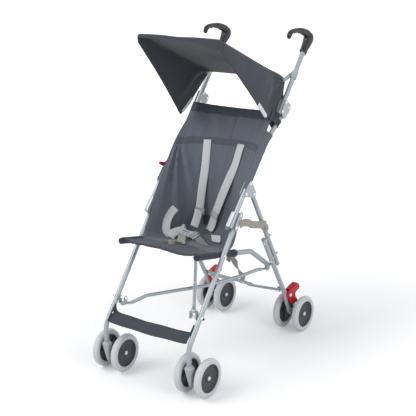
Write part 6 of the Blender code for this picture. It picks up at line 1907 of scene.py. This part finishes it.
def canopy_plain(u, v):
    """u runs from -1 to 1 across both side panels and the top, v from 0 at the front to 1."""
    side = 1.0 if u > 0 else -1.0
    tip = canopy_tip[side]
    share = max(v - fall_share, 0.0) / (1.0 - fall_share)
    fall = front_fall * max(1.0 - v / fall_share, 0.0)
    arch = math.sin(math.pi * share)
    y = canopy_front[0] + (canopy_back[0] - canopy_front[0]) * share
    z = canopy_front[1] + (canopy_back[1] - canopy_front[1]) * share - fall
    if abs(u) <= top_share:
        spread = abs(u) / top_share
        return Vector((side * spread * canopy_half, y, z - 0.006 * (1 - spread * spread) * arch))
    drop = (abs(u) - top_share) / (1.0 - top_share)
    low_y = canopy_front[0] + 0.002 + (tip[0] - canopy_front[0] - 0.002) * share + 0.004 * arch
    low_z = canopy_front[1] - 0.028 + (tip[1] - canopy_front[1] + 0.028) * share + 0.002 * arch
    belly = (0.033 if side > 0 else 0.008) * math.sin(math.pi * drop * drop) * share ** 3
    x = canopy_half + 0.002 * math.sin(math.pi * drop) * arch
    return Vector((side * x, y + (low_y - y) * drop + belly, z + (low_z - z) * drop))


def gathers(place, side):
    """Short folds that spread from a clip."""
    away = place - Vector((side * canopy_half, canopy_back[0], canopy_back[1]))
    angle = math.atan2(away.z, -away.y) + 6.0 * abs(away.x)
    return 0.0042 * math.sin(9.0 * angle) * math.exp(-((away.length - 0.045) / 0.045) ** 2)


def canopy_fold_height(u, v):
    """How far the folds stand off the plain canopy, inwards."""
    place = canopy_plain(u, v)
    side = 1.0 if u > 0 else -1.0
    total = gathers(place, side)
    drop = max(abs(u) - top_share, 0.0) / (1.0 - top_share)
    if drop > 0.0:
        for at, depth, width in ((0.88, 0.0050, 0.040), (0.72, -0.0022, 0.060), (0.45, 0.0016, 0.080)):
            off = (v - at + 0.05 * drop) / width
            total += depth * math.exp(-off ** 2) * math.sin(math.pi * drop ** 0.8)
    else:
        spread = u / top_share
        total += 0.0022 * math.sin(5.0 * v + 2.2 * spread) * math.sin(math.pi * v) * (1 - spread * spread)
        total += 0.0016 * math.sin(13.0 * v - 4.0 * abs(spread)) * (1 - spread * spread)
    edge = min((1.0 - abs(u)) / 0.06, v / 0.05, (1.0 - v) / 0.05, 1.0)
    return total * max(edge, 0.0)


across, along = 110, 84
canopy_us = [-1 + 2 * k / across for k in range(across + 1)]
canopy_vs = [i / along for i in range(along + 1)]
canopy_grid = np.array([[list(canopy_plain(u, v)) for u in canopy_us] for v in canopy_vs])
for _ in range(9):
    middle = canopy_grid[1:-1, 1:-1]
    around = (canopy_grid[:-2, 1:-1] + canopy_grid[2:, 1:-1] + canopy_grid[1:-1, :-2] + canopy_grid[1:-1,
                                                                                                    2:]) / 4
    canopy_grid[1:-1, 1:-1] = middle + (around - middle) * 0.6
across_way, along_way = np.gradient(canopy_grid, axis=1), np.gradient(canopy_grid, axis=0)
inward = np.cross(across_way, along_way)
inward /= np.maximum(np.linalg.norm(inward, axis=2, keepdims=True), 1e-9)
if inward[along // 2, across // 2, 2] > 0:
    inward = -inward
heights = np.array([[canopy_fold_height(u, v) for u in canopy_us] for v in canopy_vs])
canopy_grid += inward * heights[:, :, None]
print("canopy cut to", [round(c, 3) for c in flat_size(canopy_grid)])

# %% The canopy, its bindings and its piping
def on_canopy(obj):
    return narrow_with_fold(obj)


canopy_cloth = on_canopy(piece("canopy_cloth", [sheet_mesh(canopy_grid, cloth_thick)], "canopy_weave",
                               "canopy", "canopy", sharp=70))
last = len(canopy_grid) - 1
front_rim = ([*canopy_grid[last:0:-1, -1]] + [*canopy_grid[0, ::-1]] + [*canopy_grid[1:last + 1, 0]])
rear_rim = [*canopy_grid[last, :]]


def rim_mesh(line, radius, step=0.006):
    """A bound edge: a soft roll that follows the cloth's rim and puckers a little."""
    path = resample(line, step)
    radii = [radius * (1.0 + 0.07 * math.sin(k * 1.7) + 0.05 * math.sin(k * 0.6)) for k in range(len(path))]
    return tube_mesh(path, radii, 12, soft=radius * 0.8)


on_canopy(piece("canopy_front_binding", [rim_mesh(front_rim, 0.0030)], "dark_binding", "canopy",
                sharp=60))
on_canopy(piece("canopy_rear_binding", [rim_mesh(rear_rim, 0.0018)], "dark_binding", "canopy",
                sharp=60))
turn_row = round(along * 0.12)
seam_rows = [canopy_grid[turn_row, 3:-3] - inward[turn_row, 3:-3] * 0.0006,
             canopy_grid[turn_row, 3:-3] + inward[turn_row, 3:-3] * 0.0006]
on_canopy(piece("canopy_wire_piping", [rim_mesh(row, 0.0016, 0.004) for row in seam_rows],
                "canopy_weave", "canopy", sharp=60))
seams = []
for column in (round(across * (0.5 - top_share / 2)), round(across * (0.5 + top_share / 2))):
    for way in (-1, 1):
        seams.append(rim_mesh(canopy_grid[turn_row:-1, column] + way * inward[turn_row:-1, column] * 0.0007,
                              0.0012, 0.004))
on_canopy(piece("canopy_long_seams", seams, "dark_binding", "canopy", sharp=60))
rows = [canopy_grid[i, 4:-4] + way * inward[i, 4:-4] * (cloth_thick / 2)
        for i in (turn_row - 2, turn_row + 2) for way in (-1, 1)]
on_canopy(piece("canopy_stitches", [stitch_row(row) for row in rows], "sewing_thread", "canopy"))
print("canopy pieces done")

# %% Bare tabs on the canopy's edges, and a snap
def folded_tab(edge_points, inner_points, thick=0.0009):
    """A tape folded over an edge: down one face, round the rim and up the other."""
    rows = []
    for rim, inner in zip(edge_points, inner_points):
        rim, inner = Vector(rim), Vector(inner)
        away = (rim - inner).normalized()
        face = Vector((1, 0, 0))
        lift = cloth_thick / 2 + 0.0030
        rows.append([inner + face * lift * 0.55, rim.lerp(inner, 0.3) + face * lift * 0.9,
                     rim + face * lift * 0.8 + away * 0.0022, rim + away * 0.0036,
                     rim - face * lift * 0.8 + away * 0.0022, rim.lerp(inner, 0.3) - face * lift * 0.9,
                     inner - face * lift * 0.55])
    return sheet_mesh(np.array([[list(p) for p in row] for row in rows]), thick)


def row_span(start, end):
    return range(round(along * start), round(along * end) + 1)


near_rim = [canopy_grid[i, -1] for i in row_span(0.72, 0.87)]
near_inner = [canopy_grid[i, -1] + np.array([0.0, 0.0062, 0.0058]) for i in row_span(0.72, 0.87)]
far_columns = range(round(across * 0.5 * (1 - top_share) * 0.06),
                    round(across * 0.5 * (1 - top_share) * 0.36) + 1)
far_rim = [canopy_grid[-1, k] for k in far_columns]
far_inner = [canopy_grid[-1, k] + np.array([0.0, -0.0075, 0.0045]) for k in far_columns]
on_canopy(piece("canopy_tabs", [folded_tab(near_rim, near_inner), folded_tab(far_rim, far_inner)],
                "white_tape", "canopy", sharp=60))
snap_at = Vector((canopy_half + 0.0012, 0.1480, 0.7580))
snap_path = [snap_at + Vector((0, -0.0080, 0.0060)), snap_at, snap_at + Vector((0, 0.0080, -0.0040))]
snap_tape = sheet_mesh(webbing_grid(snap_path, [Vector((0, 0.5, 0.8))] * 3, 0.0060, 4), 0.0010)
snaps = [turned_mesh([(0.0030, -0.0004), (0.0030, 0.0008), (0.0022, 0.0012), (0.0, 0.0011)],
                     p + Vector((0.0006, 0, 0)),
                     (1, 0, 0), 18) for p in (snap_path[0] * 0.8 + snap_path[1] * 0.2,
                                              snap_path[2] * 0.8 + snap_path[1] * 0.2)]
on_canopy(piece("canopy_snap_tape", [snap_tape], "tan_webbing", "canopy", sharp=60))
on_canopy(piece("canopy_snaps", snaps, "white_cap", "canopy"))
print("tabs and snap done")

# %% [markdown]
# ## Harness webbing
#
# Webbing is stiff across and soft along. It never stretches, so it lies on the cloth or spans it
# in the air, and where it changes its direction it twists. Each strap is a path with the way its
# width points at every key. The two shoulder straps leave the band on the back and meet at the
# buckle, the waist strap makes a slack loop, and a short crotch strap comes up from the base.

# %% Straps on the seat
strap_lift = cloth_thick / 2 + webbing_thick / 2 + 0.0024


def strap_mesh(path, ways, width=webbing_width, count=None):
    return sheet_mesh(webbing_grid(path, ways, width, 6, count), webbing_thick)


x_way = Vector((1, 0, 0))
far_places = ((-0.420, 0.186, 0.0006), (-0.385, 0.250, 0.0016), (-0.370, 0.320, 0.0020),
              (-0.385, 0.420, 0.0040),
              (-0.410, 0.530, 0.0055))
near_places = ((0.430, 0.186, 0.0006), (0.425, 0.225, 0.0010), (0.390, 0.280, 0.0012),
               (0.300, 0.340, 0.0020),
               (0.210, 0.405, 0.0035), (0.045, 0.520, 0.0060), (-0.010, 0.560, 0.0060),
               (-0.075, 0.610, 0.0060),
               (-0.110, 0.650, 0.0050))
far_path, near_path = ([seat_at(u, v, strap_lift + lift) for u, v,
                        lift in places] for places in (far_places, near_places))
far_path += [Vector((-0.0560, 0.0180, 0.4640)), Vector((-0.0480, -0.0120, 0.4380)),
             Vector((-0.0420, -0.0330, 0.4230))]


def lying_ways(path, facing):
    """The width of a strap at each point of its path; facing has the direction that it faces there."""
    ways = []
    for before, after, out in zip([path[0]] + path[:-1], path[1:] + [path[-1]], facing):
        way = out.cross(after - before).normalized()
        along = way.dot(ways[-1]) if ways else way.x
        ways.append(way if along > 0 else -way)
    return ways


far_facing, near_facing = ([seat_normal(u, v) for u, v, lift in places] for places in (far_places,
                                                                                       near_places))
far_ways = lying_ways(far_path, far_facing + [far_facing[-1]] * 3)
near_ways = lying_ways(near_path, near_facing)
for side, path, ways, width in (("right", far_path, far_ways, webbing_width),
                                ("left", near_path, near_ways, near_strap_width)):
    strap = piece(f"shoulder_webbing_{side}", [strap_mesh(path, ways, width, 70)], "pale_webbing", None,
                  f"shoulder_strap_{side}", sharp=60)
    on_both_sides(strap)
    top, low = path[0].lerp(path[1], 0.10), path[0].lerp(path[1], 0.34)
    out = seat_normal(path[0].x / side_x, 0.2) * (webbing_thick / 2 + 0.0002)
    a, b, c, d = (p + x_way * s * 0.0090 + out for p in (top, low) for s in (-1, 1))
    rows = [[a, c], [b, d], [a, b], [c, d], [a, d], [c, b]]
    on_both_sides(piece(f"shoulder_stitches_{side}", [stitch_row(row, 0.0022, 0.0012) for row in rows],
                        "pale_webbing", None, sharp=60))
print("shoulder straps done")

# %% Waist, crotch
def on_seat(*places):
    return [seat_at(u, v, lift) for u, v, lift in places]


waist_path = on_seat((-0.775, 0.525, 0.0030), (-0.812, 0.555, 0.0080), (-0.838, 0.595, 0.0110),
                     (-0.838, 0.635, 0.0120),
                     (-0.800, 0.680, 0.0110), (-0.690, 0.725, 0.0080))
waist_return = on_seat((-0.640, 0.755, 0.0080), (-0.660, 0.712, 0.0160), (-0.600, 0.690, 0.0190),
                       (-0.500, 0.700, 0.0190))
towards_camera = [Vector((0.52, -0.76, 0.38))] * 6
first_ways, return_ways = lying_ways(waist_path, towards_camera), lying_ways(waist_return, towards_camera)
on_both_sides(piece("waist_webbing", [strap_mesh(waist_path, first_ways, count=50),
                                      strap_mesh(waist_return, return_ways, count=50)], "pale_webbing",
                    None, "waist_strap", sharp=60))
crotch_path = on_seat((-0.460, 0.740, 0.0120), (-0.360, 0.775, 0.0130), (-0.220, 0.815, 0.0100),
                      (-0.100, 0.845, 0.0060),
                      (0.000, 0.868, 0.0035))
crotch_ways = [Vector((1, 0.15, 0))] * 5
tail_path = on_seat((-0.030, 0.862, 0.0060), (-0.060, 0.880, 0.0065), (-0.120, 0.895, 0.0055),
                    (-0.175, 0.905, 0.0045))
tail_ways = [Vector((0.8, 0.5, 0)), Vector((0.7, 0.6, 0.1)), Vector((0.5, 0.6, 0.4)),
             Vector((0.4, 0.6, 0.5))]
on_both_sides(piece("crotch_webbing", [strap_mesh(crotch_path, crotch_ways),
                                       strap_mesh(tail_path, tail_ways, 0.018)],
                    "tan_webbing", None, "crotch_strap", sharp=60))
print("waist and crotch straps done")

# %% Patch and bare tag on the seat
def seat_patch(corners, lift, thick, curl=0.0, cells=10):
    """corners are four (u, v): top left, top right, bottom right, bottom left."""
    (a, b), (c, d), (e, f), (g, h) = corners
    rows = []
    for i in range(cells + 1):
        t = i / cells
        rows.append([list(seat_at((a + (c - a) * s) * (1 - t) + (g + (e - g) * s) * t,
                                  (b + (d - b) * s) * (1 - t) + (h + (f - h) * s) * t, lift + curl * t * t))
                     for s in (k / cells for k in range(cells + 1))])
    return sheet_mesh(np.array(rows), thick)


on_both_sides(piece("seat_dark_patch", [seat_patch(((-0.33, 0.548), (-0.08, 0.552), (-0.07, 0.606),
                                                    (-0.32, 0.602)),
                                                   0.0018, 0.0012)], "dark_binding", None, sharp=60))
on_both_sides(piece("seat_bare_tag", [seat_patch(((0.012, 0.672), (0.25, 0.662), (0.46, 0.718),
                                                  (0.28, 0.732)),
                                                 0.0018, 0.0008, 0.0060)], "white_tape", None, sharp=60))

# %% Slide adjusters on the shoulder straps
def adjuster_meshes(path, ways, share, width):
    """A ladder slide: a soft frame with bars across, lying on a strap."""
    grid = webbing_grid(path, ways, width, 2, 200)
    i = round(200 * share)
    centre = Vector(grid[i, 1])
    along_ = Vector(grid[i + 4, 1] - grid[i - 4, 1]).normalized()
    across_ = Vector(grid[i, 2] - grid[i, 0]).normalized()
    out = along_.cross(across_).normalized()
    if out.y > 0:
        out = -out
    centre += out * (webbing_thick / 2 + 0.0016)
    half_w, half_l = width / 2 + 0.0026, 0.0105
    frame_line = [centre + across_ * a * half_w + along_ * b * half_l
                  for a, b in ((-1, -0.75), (-0.88, -1), (0.88, -1), (1, -0.75), (1, 0.75), (0.88, 1),
                               (-0.88, 1),
                               (-1, 0.75), (-1, -0.75))]
    parts = [tube_mesh(resample(frame_line, 0.0015), 0.0017, 10, soft=0.0008)]
    for b in (-0.36, 0.36):
        parts.append(tube_mesh([centre + along_ * b * half_l - across_ * half_w,
                                centre + along_ * b * half_l
                                + across_ * half_w], 0.0015, 10, soft=0.0008))
    return parts


on_both_sides(piece("shoulder_slide_left", adjuster_meshes(near_path, near_ways, 0.655, webbing_width),
                    "pale_moulding", None))
on_both_sides(piece("shoulder_slide_right", adjuster_meshes(far_path, far_ways, 0.575, webbing_width),
                    "pale_moulding", None))
print("slides done")

# %% [markdown]
# ## The buckle
#
# A side-release buckle has a hollow housing, prongs that spring into it, and a bar for each strap.
# It is drawn on its own tilted plane: a to the child's left, b up, h towards the camera.

# %% Buckle parts on a tilted plane
buckle_at = Vector((-0.0360, -0.0560, 0.4060))
buckle_wide, buckle_tall = 1.75, 1.25
buckle_tilt = math.radians(38)
buckle_up = Vector((0, math.sin(buckle_tilt), math.cos(buckle_tilt)))
buckle_out = Vector((0, -math.cos(buckle_tilt), math.sin(buckle_tilt)))


def on_buckle(a, b, h):
    return (buckle_at + Vector((0.990, -0.120, -0.050)) * a * buckle_wide + buckle_up * b * buckle_tall
            + buckle_out * h)


def buckle_slab(outline, low, high, soft=0.0010):
    return slab_mesh(outline, low, high, soft, on_buckle)


def rounded(points, count=8):
    return smooth_outline(points, count * len(points))


housing = rounded(((-0.0300, 0.0060), (-0.0270, 0.0150), (-0.0215, 0.0150), (-0.0200, 0.0080),
                   (-0.0100, 0.0050),
                              (0.0040, 0.0060), (0.0090, 0.0030), (0.0080, -0.0090), (-0.0040, -0.0120),
                              (-0.0200, -0.0120),
                              (-0.0290, -0.0080)))
hub = rounded(((0.0060, 0.0070), (0.0150, 0.0040), (0.0180, -0.0080), (0.0120, -0.0130), (0.0040, -0.0110)))
wedge = rounded(((0.0150, 0.0010), (0.0300, -0.0030), (0.0500, -0.0150), (0.0520, -0.0200),
                 (0.0300, -0.0190),
                            (0.0100, -0.0120)), 6)
parts = [buckle_slab(housing, -0.0050, 0.0042, 0.0014), buckle_slab(hub, -0.0046, 0.0038, 0.0012)]
lean = math.radians(57)
for k, (length, at) in enumerate(((0.0130, 0.0020), (0.0150, 0.0075), (0.0130, 0.0130))):
    centre = (at + 0.0020, -0.0010 - 0.0030 * k)
    ends = [on_buckle(centre[0] + s * math.cos(lean) * length, centre[1] + s * math.sin(lean) * length,
                      0.0058)
            for s in (-0.75, 1.0)]
    parts.append(tube_mesh(ends, 0.0017, 12, soft=0.0014))
parts.append(tube_mesh([on_buckle(-0.0265, 0.0085, 0.0040), on_buckle(-0.0262, 0.0150, 0.0030),
                        on_buckle(-0.0225, 0.0165, 0.0020)], 0.0022, 12, soft=0.0016))
on_both_sides(piece("buckle_housing", parts, "pale_moulding", None, "harness_buckle"))
wedge_parts = [buckle_slab(wedge, -0.0030, 0.0032, 0.0012)]
for k in range(4):
    s = k / 3
    a = on_buckle(0.0200 + 0.0180 * s, -0.0030 - 0.0080 * s, 0.0036)
    b = on_buckle(0.0170 + 0.0200 * s, -0.0130 - 0.0045 * s, 0.0036)
    wedge_parts.append(tube_mesh([a, b], 0.0009, 8, soft=0.0005))
on_both_sides(piece("buckle_prong_part", wedge_parts, "smoke_moulding", None))
slots = [buckle_slab([(-0.0210, -0.0012), (-0.0050, -0.0012), (-0.0050, 0.0012), (-0.0210, 0.0012)],
                     0.0036, 0.0046, 0.0003)]
slots += [buckle_slab([(x - 0.0012, -0.0085), (x + 0.0030, -0.0060), (x + 0.0030, -0.0040),
                       (x - 0.0012, -0.0066)],
                      0.0036, 0.0046, 0.0003) for x in (-0.0180, -0.0100, -0.0020)]
on_both_sides(piece("buckle_slots", slots, "satin_black", None))
ring = [on_buckle(*p) for p in ((-0.0200, -0.0090, 0.0010), (-0.0230, -0.0170, 0.0040),
                                (-0.0170, -0.0215, 0.0060),
                                (-0.0080, -0.0200, 0.0060), (-0.0040, -0.0140, 0.0040),
                                (-0.0030, -0.0080, 0.0010))]
on_both_sides(piece("buckle_wire_loop", [tube_mesh(smooth_curve(ring, 40), 0.0011, 10, soft=0.0006)],
                    "pale_moulding", None))
print("buckle done")

# %% [markdown]
# ## Straps behind the seat, and the footrest
#
# A strap on each side ties the front leg joint to the rear leg and stops the frame from opening
# too far. Its end is wrapped round the leg and bolted. Under the seat a longer strap hangs, twisted
# on itself, down to the rear brace: pulling it up folds the frame. The footrest is a strip of the
# same cloth laid between the front legs, with its ends turned up and riveted.

# %% Side straps
wrap_at = Vector((0, *step_from(knuckle_pin, rear_upper_end, 0.136)))
leg_line = Vector((0, *rear_upper_way))
for side, sign in SIDES:
    x = sign * side_x
    skip = sign * (plate_gap + plate_thick + 0.0010 + 0.0003)
    out = sign * (tube_radius + 0.0016)
    path = [Vector((x + skip, -0.0850, 0.4800)), Vector((x + skip, -0.0640, 0.4820)),
            Vector((x + skip * 0.98, -0.0360, 0.4730)),
            Vector((x + skip, -0.0160, 0.4620)), Vector((x + out, wrap_at.y - 0.0140, wrap_at.z + 0.0060)),
            Vector((x + out, wrap_at.y + 0.0010, wrap_at.z + 0.0006))]
    ways = [Vector((0, 0.30, 1))] * 3 + [Vector((0, 0.34, 0.94)), Vector((0, 0.10, 0.99)),
                                         Vector((0, -0.20, 0.98))]
    strap = strap_mesh(path, ways, side_strap_width, 60)
    ring = []
    for k in range(33):
        a = 2 * math.pi * k / 32
        radius = tube_radius + 0.0015 + 0.0004 * math.sin(3 * a)
        ring.append([list(wrap_at + Vector((x, 0, 0)) + x_way * math.cos(a) * radius * sign
                          + Vector((0, -leg_line.z, leg_line.y)) * math.sin(a) * radius
                          + leg_line * (w - 0.5) * 0.0235) for w in (0, 0.2, 0.4, 0.6, 0.8, 1.0)])
    wrap = sheet_mesh(np.array(ring), webbing_thick)
    tail = [Vector((x + out * 1.22, wrap_at.y - 0.0020, wrap_at.z + 0.0010)),
            Vector((x + out * 1.28, wrap_at.y + 0.0040, wrap_at.z - 0.0080)),
            Vector((x + out * 1.20, wrap_at.y + 0.0080, wrap_at.z - 0.0190))]
    tail_mesh = strap_mesh(tail, [Vector((0, 0.9, 0.3)), Vector((0, 0.95, 0.25)), Vector((0, 0.8, 0.5))],
                           0.0150, 20)
    webbing = piece(f"side_webbing_{side}", [strap, wrap, tail_mesh], "tan_webbing", None,
                    f"side_strap_{side}", sharp=60)
    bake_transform(webbing)
    bolt_at = wrap_at + Vector((x + out * 1.1, 0, 0))
    bolts = [rivet_mesh(bolt_at, (sign, 0, 0), 0.0044, 0.0024),
             tube_mesh([wrap_at + Vector((x, 0.0060, 0.0030)), wrap_at + Vector((x, 0.0170, 0.0080))],
                       0.0030, 14)]
    piece(f"side_strap_bolts_{side}", bolts, "grey_moulding", f"rear_leg_{side}")
print("side straps done")

# %% Pull strap
pull_top = seat_at(0, 0.610, -0.0040)
pull_end = brace_point(0, 0.0083, 0)
pull_path, pull_ways = [], []
for k in range(25):
    s = k / 24
    place = pull_top.lerp(pull_end, s)
    pull_path.append(Vector((place.x + 0.004 * math.sin(2.6 * math.pi * s),
                             place.y + 0.010 * math.sin(math.pi * s), place.z)))
    turn = 3.5 * math.pi * s
    pull_ways.append(Vector((math.cos(turn), math.sin(turn) * 0.8, math.sin(turn) * 0.4)))
pull = piece("pull_webbing", [strap_mesh(pull_path, pull_ways, pull_strap_width, 90)], "tan_webbing",
             "rear_brace_right", "pull_strap", sharp=60)
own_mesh(pull)
end_path = [Vector((rail_x + 0.002, -0.104, 0.3780)), Vector((rail_x + 0.001, -0.110, 0.3700)),
            Vector((rail_x - 0.001, -0.112, 0.3640))]
piece("rail_strap_end", [strap_mesh(end_path, [x_way] * 3, 0.0160, 12)], "tan_webbing", "seat_rail_left",
      sharp=60)

# %% Footrest
foot_rear, foot_front = (-0.3130, 0.1960), (-0.3530, 0.1800)
foot_half = side_x - tube_radius - 0.0012 - 0.0003
foot_bend, foot_corner, foot_tab, foot_sag = 7.0 / 9.0, 0.0100, 0.0300, 0.0040


def footrest_at(u, v):
    """u runs across from -1 to 1 with the ends turned up, v from the rear edge to the front."""
    reach = abs(u)
    turned = max(reach - foot_bend, 0.0) / (1.0 - foot_bend)
    flat = min(reach / foot_bend, 1.0)
    x = (foot_half - foot_corner) * flat + foot_corner * min(turned * 3.0, 1.0) ** 0.6
    y = foot_rear[0] + (foot_front[0] - foot_rear[0]) * v
    z = foot_rear[1] + (foot_front[1] - foot_rear[1]) * v
    rise = foot_tab * (1.0 - 0.80 * v) * turned
    sag = foot_sag * (1.0 - flat * flat) - 0.0022 * math.sin(math.pi * v) * (1 - turned)
    crease = 0.0010 * math.sin(9 * u + 4 * v) * (1.0 - flat ** 4)
    return Vector((math.copysign(x, u), y, z - sag + rise + crease))


foot_grid = np.array([[list(footrest_at(-1 + 2 * k / 96, i / 12)) for k in range(97)] for i in range(13)])
for _ in range(3):
    middle = foot_grid[:, 1:-1]
    foot_grid[:, 1:-1] = middle + ((foot_grid[:, :-2] + foot_grid[:, 2:]) / 2 - middle) * 0.6
footrest = on_both_sides(piece("footrest_cloth", [sheet_mesh(foot_grid, cloth_thick)], "canopy_weave",
                               None, "footrest", sharp=60))
hems = [rim_mesh(foot_grid[0], 0.0022), rim_mesh(foot_grid[-1], 0.0026)]
on_both_sides(piece("footrest_hems", hems, "dark_binding", None, sharp=60))
over_cloth = Vector((0, 0, skin + 0.0001))
rows = [[Vector(p) + over_cloth for p in foot_grid[i, 12:-12]] for i in (1, 11)]
on_both_sides(piece("footrest_stitches", [stitch_row(row) for row in rows], "sewing_thread", None))
for side, sign in SIDES:
    at = Vector((sign * (foot_half - skin), -0.3290, 0.2000))
    piece(f"footrest_rivet_{side}", [rivet_mesh(at, (-sign, 0, 0), 0.0050, 0.0022)], "plain_steel",
          f"{side}_side")
print("footrest done", [round(v, 3) for v in flat_size(foot_grid)])
